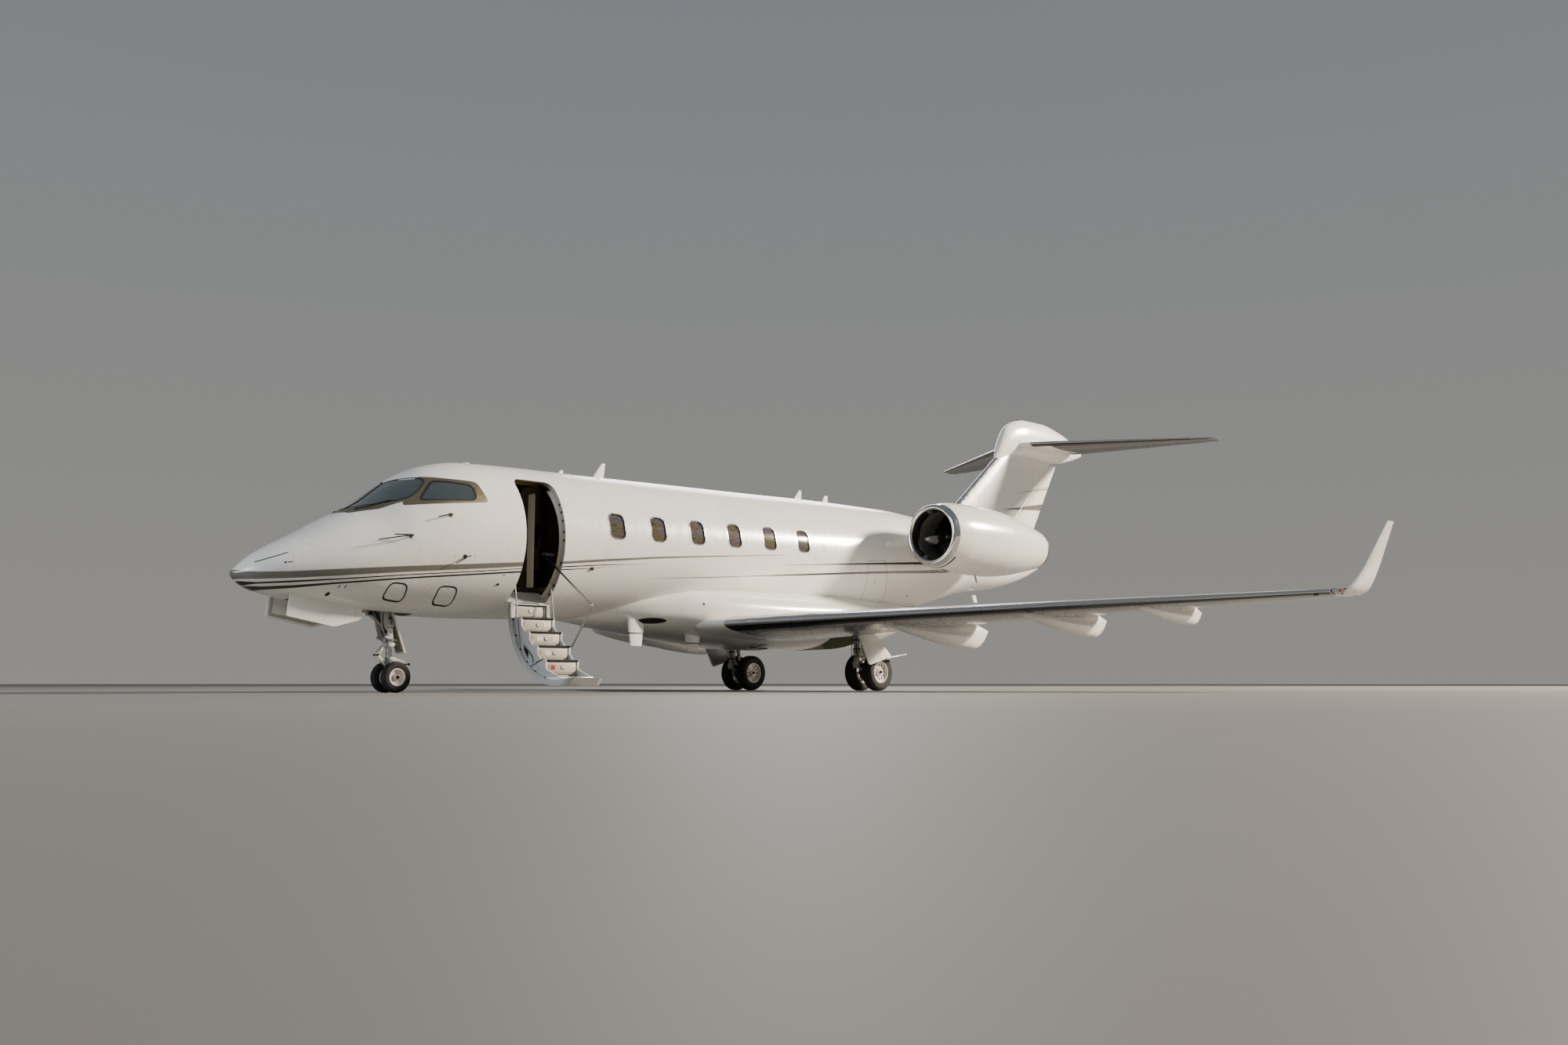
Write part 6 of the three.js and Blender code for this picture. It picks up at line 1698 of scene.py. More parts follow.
fork.append(in_finish(bar("axle", (NOSE_AXLE[0], -0.195, NOSE_AXLE[2]), (NOSE_AXLE[0], 0.195, NOSE_AXLE[2]),
                          0.022),
                      dark_fitting))
fork.append(in_finish(lathe("collar", strut_point(0.71), strut_point(0.655), COLLAR_PROFILE), gear_white))
# Torque links and towing arms. Columns: outline, nearest and furthest Y, finish, corner
FORK_PLATES = [
    ([(2.3, 0.705), (2.3, 0.655), (2.19, 0.52), (2.165, 0.535), (2.17, 0.56)], 0.03, 0.045, gear_white,
     0.015),
    ([(2.165, 0.56), (2.17, 0.515), (2.35, 0.345), (2.37, 0.38), (2.2, 0.555)], 0.014, 0.029, gear_enamel,
     0.015),
    ([(2.35, 0.5), (2.38, 0.515), (2.56, 0.46), (2.684, 0.415), (2.676, 0.396), (2.56, 0.42), (2.37, 0.455)],
     0.062, 0.078, gear_white, 0.012),
    ([(2.35, 0.5), (2.42, 0.5), (2.44, 0.36), (2.38, 0.34)], 0.05, 0.068, gear_enamel, 0.012),
]
for side in (-1, 1):
    for outline, near, far, finish, soft in FORK_PLATES:
        fork.append(plate("fork_plate", outline, *sorted((side * near, side * far)), finish, soft=soft))
fork.append(in_finish(bar("tow_pin", (2.662, -0.09, 0.408), (2.662, 0.09, 0.408), 0.012, 0.006),
                      dark_fitting))
fork.append(in_finish(bar("link_pin", (2.178, -0.06, 0.538), (2.178, 0.06, 0.538), 0.012, 0.005),
                      dark_fitting))
fork.append(hose("fork_hose",
                 [(2.3, -0.08, 0.69), (2.27, -0.1, 0.55), (2.33, -0.09, 0.42), (2.4, -0.075, 0.3)], 0.006))
dress(joined("nose_gear_fork", fork), [], "nose_fork", "gear_steel", "nose_gear_fork")


# Wheels.
# Aircraft tyres with rib grooves on two-piece forged rims in white enamel; the main rims are slotted
# to cool the brakes, and each hub has a cap with its ring of bolts.
TYRE_STEPS, GROOVE, RIM_BOLTS = 96, 0.0045, 10
# Natural rubber tread: dark grey, matt, dusted
tyre_compound = rubber("natural_rubber_tyre", "#0E0E10", "#2E2C2A", 0.78)


def tyre(name, half, radius, rim, grooves, place):
    """A closed tyre section: bead, sidewall rings, shoulder and a grooved tread."""
    wall = [(-0.78, 0), (-0.84, 0.1), (-0.97, 0.34), (-0.955, 0.36), (-1, 0.52), (-0.975, 0.7), (-0.96, 0.71),
            (-0.93, 0.83)]
    section = [(out, rim + up * (radius - rim)) for out, up in wall]
    section += [(-0.8, radius - 0.045 * radius), (-0.62, radius - 0.012 * radius)]
    for spot in grooves:
        width = 0.003 / half
        section += [(spot - width, radius - 0.004 * radius),
                    (spot - width * 0.7, radius - 0.004 * radius - GROOVE),
                    (spot + width * 0.7, radius - 0.004 * radius - GROOVE),
                    (spot + width, radius - 0.004 * radius)]
    lower = [point for point in section if point[0] < -0.0001 and point[1] < radius * 0.99
             or point[0] <= -0.62]
    upper = [(-share, r) for share, r in reversed(lower)]
    profile = [(share * half, r) for share, r in section + upper + section[:1]]
    return in_finish(turned(name, profile, TYRE_STEPS, place), tyre_compound, 50)


def rim_pieces(half, rim, side, slots, place, hub_finish):
    """The rim: flange, dish or slotted disc, hub and its ring of bolts."""
    out = side * half
    lip = [(out * 0.86, rim + 0.008), (out * 0.88, rim - 0.004), (out * 0.8, rim - 0.012)]
    seat = [(-out * 0.88, rim - 0.006), (-out * 0.86, rim + 0.008), (-out * 0.76, rim + 0.001),
            (out * 0.76, rim + 0.001)]
    dish = [(out * 0.45, rim - 0.02), (out * 0.1, rim * 0.66), (out * 0.1, rim * 0.3),
            (out * 0.02, rim * 0.3),
            (out * 0.02, rim * 0.7), (-out * 0.2, rim - 0.01)]
    if slots:
        dish = [(out * 0.5, rim * 0.86), (out * 0.42, rim * 0.3), (out * 0.34, rim * 0.3),
                (out * 0.4, rim * 0.88),
                (-out * 0.2, rim * 0.9)]
    body = turned("rim", lip + dish + seat + lip[:1], 64)
    oval = [(rim * 0.66 + rim * 0.15 * math.cos(a), rim * 0.085 * math.sin(a) * (1 + 0.25 * math.cos(a)))
            for a in np.linspace(0, 2 * math.pi, 16, endpoint=False)]
    for i in range(slots):
        angle = 2 * math.pi * i / slots
        hole = prism("slot",
                     [(u * math.cos(angle) - v * math.sin(angle), u * math.sin(angle) + v * math.cos(angle))
                              for u, v in oval], -0.3, 0.3, "x")
        hole.data.transform(Matrix.Translation((-NOSE, 0, 0)))
        carve(body, hole)
    body.data.transform(place)
    made = [in_finish(body, gear_white)]
    face = out * (0.42 if slots else 0.12)
    lift = side * (0.035 if slots else 0.055)
    hub = turned("hub", [(face - side * 0.03, 0.026), (face - side * 0.03, rim * 0.4), (face, rim * 0.38),
                         (face + lift * 0.5, rim * 0.34), (face + lift, rim * 0.3),
                         (face + lift * 1.05, 0.03),
                         (face + lift * 0.8, 0.026), (face - side * 0.03, 0.026)], 40, place)
    made.append(in_finish(hub, hub_finish))
    nut = turned("nut",
                 [(face + lift * 0.6, 0.0), (face + lift * 0.6, rim * 0.16), (face + lift * 1.3, rim * 0.15),
                         (face + lift * 1.35, rim * 0.1), (face + lift * 1.35, 0.0)], 6, place)
    made.append(in_finish(nut, dark_fitting))
    bolts = []
    turn = place.to_3x3()
    for i in range(RIM_BOLTS):
        angle = 2 * math.pi * i / RIM_BOLTS + 0.3
        spot = Vector((face + side * 0.0005, rim * 0.47 * math.cos(angle), rim * 0.47 * math.sin(angle)))
        bolts.append((place @ spot, turn @ Vector((side, 0, 0))))
    made.append(in_finish(domes("bolts", bolts, 0.006, 0.006, 6), dark_fitting))
    return made


def wheel_place(x, y, z):
    return Matrix.Translation(at(x, y, z)) @ Matrix.Rotation(math.pi / 2, 4, "Z")


# Pinkish wash of brake dust over white enamel on the hubs
hub_enamel = gloss_coat("dusted_hub_epoxy", "#C9B8AC", "#8E7C70", 0.4)[0]
NOSE_HALF, NOSE_RADIUS, NOSE_RIM, NOSE_SPREAD = 0.056, 0.221, 0.118, 0.14
for side, tag in SIDES:
    place = wheel_place(NOSE_AXLE[0], side * NOSE_SPREAD, NOSE_AXLE[2])
    parts = [tyre("tyre", NOSE_HALF, NOSE_RADIUS, NOSE_RIM, (-0.36, 0, 0.36), place)]
    parts += rim_pieces(NOSE_HALF, NOSE_RIM, side, 0, place, hub_enamel)
    dress(joined(f"nose_wheel_{tag}", parts), [], "nose_wheels", "tyre", f"nose_wheel_{tag}")

MAIN_AXLE_X, MAIN_AXLE_Z, MAIN_Y, MAIN_SPREAD = 11.086, 0.334, 1.605, 0.205
MAIN_HALF, MAIN_RADIUS, MAIN_RIM = 0.1, 0.334, 0.185
for side, tag in SIDES:
    for end, step in (("inner", -1), ("outer", 1)):
        outward = side * step
        place = wheel_place(MAIN_AXLE_X, side * MAIN_Y + outward * MAIN_SPREAD, MAIN_AXLE_Z)
        parts = [tyre("tyre", MAIN_HALF, MAIN_RADIUS, MAIN_RIM, (-0.45, -0.15, 0.15, 0.45), place)]
        parts += rim_pieces(MAIN_HALF, MAIN_RIM, outward, 12, place, gear_white)
        dress(joined(f"main_wheel_{end}_{tag}", parts), [], f"main_wheels_{tag}", "tyre",
              f"main_wheel_{end}_{tag}")


# Main gear.
# Forged leg with a trailing link and a damper, carbon brakes inside the rims, hoses clipped down the
# leg, and a painted door bolted along its outboard side.
MAIN_TOP, MAIN_FOOT = (10.76, 1.06), (10.79, 0.47)
GEAR_DOOR_Y, GEAR_DOOR_THICK, STIFFENER_THICK = 1.99, 0.022, 0.006
GEAR_DOOR_VIEW = [(10.33, 1.01), (10.64, 1.13), (11.25, 0.61), (10.64, 0.45)]
# Columns: share of the length, radius; for the brake the distance from its middle, radius
POST_PROFILE = [(0, 0), (0, 0.07), (0.1, 0.07), (0.13, 0.062), (0.55, 0.062), (0.58, 0.074), (0.66, 0.074),
                (0.68, 0.064), (0.85, 0.064), (0.9, 0.075), (1, 0.07), (1, 0)]
LINK_PROFILE = [(0, 0), (0, 0.045), (0.12, 0.052), (0.3, 0.044), (0.7, 0.044), (0.85, 0.056), (1.12, 0.05),
                (1.16, 0)]
HOSE_CLAMP_PROFILE = [(0, 0.06), (0, 0.079), (1, 0.079), (1, 0.06), (0, 0.06)]
BRAKE_PROFILE = [(-0.02, 0.03), (-0.02, 0.13), (0.02, 0.14), (0.04, 0.12), (0.04, 0.03), (-0.02, 0.03)]
BRAKE_Y = 0.085
# Carbon discs: dark, dull, dusted brown
brake_stack = rubber("carbon_brake_stack", "#1B1A1A", "#46413C", 0.6)
for side, tag in SIDES:
    y = side * MAIN_Y
    post = lathe("leg", (MAIN_TOP[0], y, MAIN_TOP[1]), (MAIN_FOOT[0], y, MAIN_FOOT[1]), POST_PROFILE)
    gear = [in_finish(post, gear_enamel)]
    gear.append(in_finish(bar("head", (10.72, y, 1.02), (10.93, y, 1.0), 0.054, 0.004), gear_enamel))
    gear.append(plate("knee", [(10.7, 0.52), (10.86, 0.53), (10.9, 0.47), (10.88, 0.4), (10.73, 0.4)],
                      y - 0.05, y + 0.05,
                      gear_enamel, soft=0.03))
    gear.append(in_finish(bar("knee_pin", (10.81, y - 0.085, 0.45), (10.81, y + 0.085, 0.45), 0.028, 0.006),
                          dark_fitting))
    link = lathe("link", (10.81, y, 0.45), (MAIN_AXLE_X, y, MAIN_AXLE_Z), LINK_PROFILE)
    gear.append(in_finish(link, gear_enamel))
    gear.append(in_finish(bar("axle", (MAIN_AXLE_X, y - 0.3, MAIN_AXLE_Z),
                              (MAIN_AXLE_X, y + 0.3, MAIN_AXLE_Z), 0.03),
                          dark_fitting))
    gear += jack("damper", (10.9, y, 0.96), (11.02, y, 0.42), 0.038, 0.55)
    gear.append(hose("brake_hose", [(10.69, y - 0.05, 1.0), (10.68, y - 0.06, 0.7), (10.76, y - 0.08, 0.47),
                                    (10.95, y - 0.07, 0.43), (11.05, y - 0.075, 0.4)], 0.008))
    gear.append(hose("sensor_hose", [(10.72, y + 0.06, 1.0), (10.7, y + 0.07, 0.66), (10.82, y + 0.09, 0.44),
                                     (11.04, y + 0.07, 0.37)], 0.006))
    for step in (-1, 1):
        place = wheel_place(MAIN_AXLE_X, y + step * BRAKE_Y, MAIN_AXLE_Z)
        gear.append(in_finish(turned("brake", BRAKE_PROFILE, 48, place), brake_stack))
    for z in (0.9, 0.74, 0.6):
        share = (MAIN_TOP[1] - z) / (MAIN_TOP[1] - MAIN_FOOT[1])
        x = MAIN_TOP[0] + share * (MAIN_FOOT[0] - MAIN_TOP[0])
        clamp = lathe("clamp", (x, y, z + 0.009), (x, y, z - 0.009), HOSE_CLAMP_PROFILE)
        gear.append(in_finish(clamp, dark_fitting))
    dress(joined(f"main_gear_leg_{tag}", gear), [], "airframe", "gear_steel", f"main_gear_leg_{tag}")

    face = side * GEAR_DOOR_Y
    panel = carve(prism("panel", softened(GEAR_DOOR_VIEW, 0.05),
                        *sorted((face, face + side * GEAR_DOOR_THICK)), "y"),
                  blade("wing_room", WING_ROWS, side))
    door = [in_finish(eased(panel, 0.004), fairing_paint)]
    edge = softened(inset(GEAR_DOOR_VIEW, 0.03), 0.04)
    stiffener = carve(prism("stiffener", edge, *sorted((face - side * STIFFENER_THICK, face)), "y"),
                      blade("wing_room", WING_ROWS, side))
    door.append(in_finish(stiffener, gear_enamel))
    for x, z in ((10.66, 0.86), (10.72, 0.6)):
        door.append(in_finish(bar("door_rod", (x, y + side * 0.06, z), (x - 0.02, face, z + 0.02), 0.016,
                                  0.006),
                              gear_enamel))
    door.append(in_finish(bar("rear_arm", (11.1, face + side * 0.011, 0.575),
                              (11.66, face + side * 0.011, 0.648), 0.02, 0.004),
                          gear_enamel))
    dress(joined(f"main_gear_door_{tag}", door), [], "airframe", "paint", f"main_gear_door_{tag}")


# Nose bay doors.
# Sandwich panels hinged along the bay, hanging open each side, white outside and grey inside.
DOOR_PLATE = [(0.7, 1.4), (1.77, 1.23), (1.745, 1.01), (1.35, 0.905), (0.655, 1.03)]
NOSE_DOOR_Y, NOSE_DOOR_THICK = 0.296, 0.018
nose_hull = loft("nose_hull", body_rings(fuselage_at, stations(RADOME_END, 3.0), 0.0004))
for side, tag in SIDES:
    low, high = sorted((side * NOSE_DOOR_Y, side * (NOSE_DOOR_Y + NOSE_DOOR_THICK)))
    panel = carve(prism("panel", softened(DOOR_PLATE, 0.03), low, high, "y"), nose_hull, keep=True)
    inner = side * (NOSE_DOOR_Y - 0.004)
    frame_ring = carve(prism("frame", softened(inset(DOOR_PLATE, 0.03), 0.02),
                             *sorted((inner, side * NOSE_DOOR_Y)), "y"),
                       prism("middle", softened(inset(DOOR_PLATE, 0.075), 0.02), -1, 1, "y"))
    carve(frame_ring, nose_hull, keep=True)
    door = [in_finish(eased(panel, 0.003), fairing_paint), in_finish(frame_ring, gear_enamel)]
    dress(joined(f"nose_door_{tag}", door), [], "airframe", "paint", f"nose_door_{tag}")
bpy.data.objects.remove(nose_hull)


# Cabin and flight deck.
# Honeycomb floor under wool carpet, walnut-veneered partitions coloured near black as painted shade, a
# trimmed bulkhead, a panel with glass displays, and leather seats on black pans; all of it seen only through
# the door and panes.
FLOOR_DROP, FLOOR_THICK, FLOOR_FRONT, FLOOR_AFT = 0.7, 0.07, 1.85, 10.58
ROOM_CLEAR = SKIN_THICK + 0.0004


def floor_height(station):
    return axis_height(station) - FLOOR_DROP


def cabin_room(name, start, end):
    return loft(name, body_rings(fuselage_at, stations(start, end, 0.2), -ROOM_CLEAR))


def walnut():
    """Walnut veneer under clear lacquer, its figure stretched up the grain, glossy; near black, darker than
    the wood, as painted shade for the unlit cabin.
    """
    material, tree, shader, place = new_finish("lacquered_walnut_painted_shade", Roughness=0.4, Coat_Weight=0.6,
                                               Coat_Roughness=0.1)
    grain = add(tree, "Mapping", {"Vector": place, "Scale": (9.0, 9.0, 0.8)})
    figure = add(tree, "TexNoise",
                 {"Vector": grain.outputs[0], "Scale": 4.0, "Detail": 8.0, "Distortion": 1.2})
    tone = add(tree, "Mix", {0: figure.outputs[0], 6: linear("#2A1B12"), 7: linear("#120B08")},
               data_type="RGBA")
    gloss = add(tree, "MapRange", {0: figure.outputs[0], 1: 0.3, 2: 0.7, 3: 0.3, 4: 0.5})
    bump = add(tree, "Bump", {"Height": figure.outputs[0], "Strength": 0.08, "Distance": 0.002})
    wire(tree, shader, Base_Color=tone.outputs[2], Roughness=gloss.outputs[0], Normal=bump.outputs[0])
    return material


# The partitions' walnut is coloured near black: painted shade for the unlit cabin
walnut_with_painted_shade = walnut()
# Cut wool pile: dark taupe, dull, with the pile's fine rise and fall
carpet = grained("cut_pile_wool_carpet", "#4A4038", "#2B2521", 0.95, 220.0, 0.6, 0.003)
ends = [floor_height(s) for s in (FLOOR_FRONT, FLOOR_AFT)]
slab = prism("cabin_floor",
             [(FLOOR_FRONT, ends[0] - FLOOR_THICK), (FLOOR_AFT, ends[1] - FLOOR_THICK), (FLOOR_AFT, ends[1]),
                             (FLOOR_FRONT, ends[0])], -1.2, 1.2, "y")
carve(slab, cabin_room("room", FLOOR_FRONT - 0.1, FLOOR_AFT + 0.1), "INTERSECT")
carve(slab, prism("entry", rectangle(DOOR_FRONT - 0.02, DOOR_AFT + 0.02, -1.2, -0.43), 1.0, 2.0, "z"))
dress(shade(slab), [carpet], "airframe", "cabin_trim", "cabin_floor")

PARTITION_THICK, AISLE_HIGH = 0.04, 1.62
for name, station, half in (("cabin_partition", 4.76, 0.3), ("flight_deck_partition", 3.7, 0.33)):
    foot = floor_height(station) + 0.0014
    wall = prism(name, rectangle(station, station + PARTITION_THICK, -1.2, 1.2), foot, 3.6, "z")
    carve(wall, cabin_room("room", station - 0.2, station + 0.2), "INTERSECT")
    aisle = rounded(-half, half, 1.0, floor_height(station) + AISLE_HIGH, 0.1)
    carve(wall, prism("aisle", aisle, station - 0.1, station + 0.1, "x"))
    dress(shade(wall), [walnut_with_painted_shade], "airframe", "cabin_trim", name)
CURTAIN_STATION, CURTAIN_START = 4.609, -0.36
FOLD_DEEP, FOLD_PITCH, FOLD_ENDS, CLOTH_THICK = 0.018, 0.011, 14, 0.006
curtain_track = [(CURTAIN_STATION - FOLD_DEEP * (i % 2), CURTAIN_START + FOLD_PITCH * i)
                 for i in range(FOLD_ENDS)]
curtain_track += [(x + CLOTH_THICK, y) for x, y in reversed(curtain_track)]
curtain = prism("entry_curtain", curtain_track, floor_height(4.6) + 0.01, 3.05, "z")
# Woven linen: off-white, dull, softly grained
fold_linen = grained("woven_linen_curtain", "#F0EBDD", "#D5CDBB", 0.85)
dress(shade(curtain, 60), [fold_linen], "airframe", "cabin_trim")

bulkhead = loft("aft_bulkhead", body_rings(fuselage_at, np.linspace(10.62, 10.66, 3), -0.0504))
dress(shade(bulkhead), [trim_panel], "airframe", "cabin_trim", "aft_bulkhead")

# Instrument panel: black wrinkle enamel, dull and pebbled, and a row of dark glass displays
panel_black = grained("black_wrinkle_enamel", "#1C1D1E", "#101011", 0.7)
display_glass = clear_pane("display_glass", "#0B0E12", 0.05, 0.0)
board = prism("board",
              softened([(1.56, 2.15), (2.01, floor_height(2.01) + 0.001), (2.06, floor_height(2.06) + 0.001),
                                 (2.06, 2.48), (1.96, 2.53), (1.64, 2.4)], 0.03), -1.1, 1.1, "y")
board = [in_finish(carve(board, cabin_room("room", 1.5, 2.2), "INTERSECT"), panel_black)]
for y in (-0.57, -0.2, 0.2, 0.57):
    face = rounded(y - 0.15, y + 0.15, 2.13, 2.38, 0.012, 4)
    board.append(in_finish(prism("bezel", face, 2.058, 2.066, "x"), dark_fitting))
    board.append(in_finish(prism("display", inset(face, 0.012), 2.06, 2.0675, "x"), display_glass))
dress(joined("instrument_panel", board), [], "airframe", "dark_metal", "instrument_panel")


def leather(name, base, dark):
    """Drum-dyed hide: soft sheen, pebbled grain about 1 mm across drawn at 3 mm, darker in its creases."""
    material, tree, shader, place = new_finish(name, Roughness=0.5)
    cells = add(tree, "TexVoronoi", {"Vector": place, "Scale": 330.0})
    wear = add(tree, "TexNoise", {"Vector": place, "Scale": 6.0, "Detail": 6.0})
    tone = add(tree, "Mix", {0: wear.outputs[0], 6: linear(base), 7: linear(dark)}, data_type="RGBA")
    gloss = add(tree, "MapRange", {0: wear.outputs[0], 1: 0.3, 2: 0.7, 3: 0.4, 4: 0.6})
    bump = add(tree, "Bump", {"Height": cells.outputs["Distance"], "Strength": 0.25, "Distance": 0.0012})
    wire(tree, shader, Base_Color=tone.outputs[2], Roughness=gloss.outputs[0], Normal=bump.outputs[0])
    return material


# Cream hide on the cabin seats and black hide on the flight deck's
cream_leather = leather("drum_dyed_cream_leather", "#BFAF95", "#99886D")
black_leather = leather("drum_dyed_black_leather", "#27251F", "#151412")
CUSHION_CUTS = 13
# Shares of a pad's half size: drawn in at its corners, sides and rims, and fallen away from its crown
PAD_CORNER, PAD_WAIST, PAD_ROUND, PAD_CROWN = 0.16, 0.045, 0.07, 0.42
CHANNEL_DEEP, CHANNEL_HALF = 0.16, 0.045
SEAM_RISE, SEAM_PLACE, SEAM_HALF = 0.05, 0.9, 0.03
SEAT_TOP, RECLINE = 0.38, 0.115
CABIN_SEAT_Y, CABIN_SEATS = 0.64, (5.35, 6.45, 7.9, 9.0)
RAIL_HIGH = 0.03


def cushion(name, size, place, channels=0, material=None):
    """A stuffed pad: crowned faces, sides drawn in between the corners, sewn channels and an edge seam."""
    shape = bmesh.new()
    bmesh.ops.create_cube(shape, size=2.0)
    bmesh.ops.subdivide_edges(shape, edges=shape.edges[:], cuts=CUSHION_CUTS, use_grid_fill=True)
    for vertex in shape.verts:
        x, y, z = vertex.co
        edge = max(abs(x), abs(y))
        plan = (1 - PAD_CORNER * (x * x * y * y) ** 2) * (1 - PAD_ROUND * z ** 4)
        plan_x = x * plan * (1 - PAD_WAIST * (1 - y * y))
        plan_y = y * plan * (1 - PAD_WAIST * (1 - x * x))
        crown = 1 - PAD_CROWN * edge ** 5
        sewn = sum(CHANNEL_DEEP * math.exp(-((x + 1 - 2 * (i + 1) / (channels + 1)) / CHANNEL_HALF) ** 2)
                   for i in range(channels))
        rib = SEAM_RISE * math.exp(-((edge - SEAM_PLACE) / SEAM_HALF) ** 2)
        vertex.co = Vector((plan_x * size[0] / 2, plan_y * size[1] / 2,
                            z * max(crown - sewn * (1 - edge ** 6) + rib, 0.2) * size[2] / 2))
    mesh = bpy.data.meshes.new(name)
    shape.to_mesh(mesh)
    shape.free()
    piece = bpy.data.objects.new(name, mesh)
    bpy.context.scene.collection.objects.link(piece)
    mesh.transform(place)
    return in_finish(piece, material, 60)


def seat_pads(x, y, width, height, base, hide):
    """Seat, back and headrest pads of one seat, and the pan and foot that carry them."""
    rise = height - SEAT_TOP
    turn = Matrix.Rotation(math.atan2(RECLINE, rise) - math.pi / 2, 4, "Y")
    pads = [cushion("seat_pad", (0.47, width - 0.02, 0.115),
                    Matrix.Translation(at(x + 0.238, y, base + 0.392)), 3, hide)]
    long = height - 0.66
    middle = base + 0.44 + long / 2
    top = base + height - 0.115
    for name, size, spot, channels in (("back_pad", (long, width - 0.03, 0.085), middle, 4),
                                       ("head_pad", (0.2, width * 0.62, 0.08), top, 0)):
        place = Matrix.Translation(at(x + 0.5 + RECLINE * (spot - base - SEAT_TOP) / rise, y, spot)) @ turn
        pads.append(cushion(name, size, place, channels, hide))
    rigid = [in_finish(block("foot", (x + 0.12, x + 0.42), (y - 0.11, y + 0.11), (base + 0.014, base + 0.325),
                             0.012),
                       dark_fitting),
             in_finish(block("pan", (x + 0.01, x + 0.47), (y - width / 2 + 0.012, y + width / 2 - 0.012),
                             (base + 0.31, base + 0.336), 0.01), panel_black)]
    return pads, rigid


def fit_out(name, seats_at, body_nodes, hide, extra):
    pads, rigid = [], list(extra)
    for spec in seats_at:
        made, frames = seat_pads(*spec, hide)
        pads += made
        rigid += frames
    soft = joined(f"{name}_pads", pads)
    dress(soft, [], "airframe", "leather", *body_nodes)
    dress(joined(f"{name}_frames", rigid), [], "airframe", "dark_metal")


pedestal = block("pedestal", (2.47, 2.85), (-0.225, 0.225),
                 (floor_height(2.85) + 0.0014, floor_height(3.0) + 0.4), 0.02)
fit_out("flight_deck_seats", [(2.45, side * 0.43, 0.46, 1.18, floor_height(3.0)) for side in (-1, 1)],
        ["flight_deck_seats"], black_leather, [in_finish(pedestal, panel_black)])
for side, tag in SIDES:
    line = side * CABIN_SEAT_Y
    view = [(x, floor_height(x) + up) for x,
            up in ((5.35, 0.0014), (9.5, 0.0014), (9.5, RAIL_HIGH), (5.35, RAIL_HIGH))]
    rail = prism("rail", view, line - 0.09, line + 0.09, "y")
    fit_out(f"cabin_seats_{tag}", [(x, line, 0.56, 1.05, floor_height(x + 0.42)) for x in CABIN_SEATS],
            [f"cabin_seats_{tag}"], cream_leather, [in_finish(rail, satin_aluminium)])


# Antennas.
# Moulded blades of glass fibre on gasketed feet, screwed to the skin: four on the crown line, two large
# ones under the belly, and low pucks along the crown.
def fin_blade(name, foot, chord, thick, tip, tip_chord, tip_thick, finish):
    """An upright blade from a foot to a tip, each given as the leading edge's station, Y and Z."""
    rows = [(foot[1], foot[0], foot[2], chord, thick, 0, 90),
            (tip[1], tip[0], tip[2], tip_chord, tip_thick, 0, 90)]
    if tip[2] < foot[2]:
        rows.reverse()
    steps = [[a + (b - a) * t for a, b in zip(*rows)] for t in (0, 0.5, 1)]
    return in_finish(blade(name, steps), finish, 40)


def foot_plate(name, start, chord, half, surface):
    """The gasketed foot of an antenna: a thin oval pad let into the crown."""
    oval = [(start + chord / 2 + chord * 0.6 * math.cos(a), half * math.sin(a))
            for a in np.linspace(0, 2 * math.pi, 28, endpoint=False)]
    return prism(name, oval, surface - 0.02, surface + 0.004, "z")


# White gloss on glass fibre: clean, a little soft
antenna_paint = gloss_coat("antenna_polyurethane_gloss", "#ECEAE3", "#CBC5B9", 0.3)[0]
# Columns: name, station, chord, sweep, tip chord, height
CROWN_BLADES = [("crown_fore", 5.28, 0.12, 0.08, 0.06, 0.085), ("crown_main", 6.0, 0.24, 0.2, 0.08, 0.275),
                ("crown_aft", 10.8, 0.23, 0.17, 0.07, 0.215), ("crown_tail", 11.6, 0.19, 0.09, 0.09, 0.165)]
CROWN_SUNK, CROWN_THICK, CROWN_TIP_THICK, CROWN_PAD = 0.015, 0.026, 0.014, 0.022
# Columns: name, station, chord, sweep, tip chord, tip height, skin height
BELLY_BLADES = [("belly_fore", 6.225, 0.32, 0.05, 0.24, 0.731, 1.11),
                ("belly_aft", 7.46, 0.32, 0.06, 0.23, 0.655, 0.975)]
BELLY_BLADE_Y = -0.7
for tag, x, chord, sweep, tip, height in CROWN_BLADES:
    crown = axis_height(x) + CABIN_RADIUS
    low = crown - CROWN_SUNK
    parts = [fin_blade("blade", (x, 0, low), chord, CROWN_THICK, (x + sweep, 0, low + height), tip,
                       CROWN_TIP_THICK,
                       antenna_paint),
             in_finish(foot_plate("foot", x, chord, CROWN_PAD, crown + 0.002), antenna_paint)]
    dress(joined(f"antenna_{tag}", parts), [], "airframe", "paint")
for tag, x, chord, sweep, tip, low, skin in BELLY_BLADES:
    # Columns: start, top height, chord and thickness at the top, then the same four at the foot, finish
    rows = [(x + 0.02, skin - 0.17, chord - 0.03, 0.036, x + sweep, low, tip, 0.026, antenna_paint),
            (x - 0.015, skin + 0.06, chord + 0.04, 0.075, x + 0.01, skin - 0.175, chord - 0.01, 0.05,
             antenna_paint),
            (x + 0.006, skin - 0.168, chord - 0.005, 0.054, x + 0.01, skin - 0.182, chord - 0.008, 0.052,
             black_sealant)]
    parts = [fin_blade("blade", (a, BELLY_BLADE_Y, b), c, d, (e, BELLY_BLADE_Y, f), g, h, finish)
             for a, b, c, d, e, f, g, h, finish in rows]
    dress(joined(f"antenna_{tag}", parts), [], "airframe", "paint")
puck = [domes("puck", [(crown_point(3.58, 0)[0], Vector((0, 0, 1)))], 0.06, 0.03, 28)]
puck += [domes("puck", [crown_point(x, 0)], 0.035, 0.014, 20) for x in (7.45, 7.75, 8.05)]
dress(shade(joined("crown_pucks", puck), 50), [antenna_paint], "airframe", "paint")


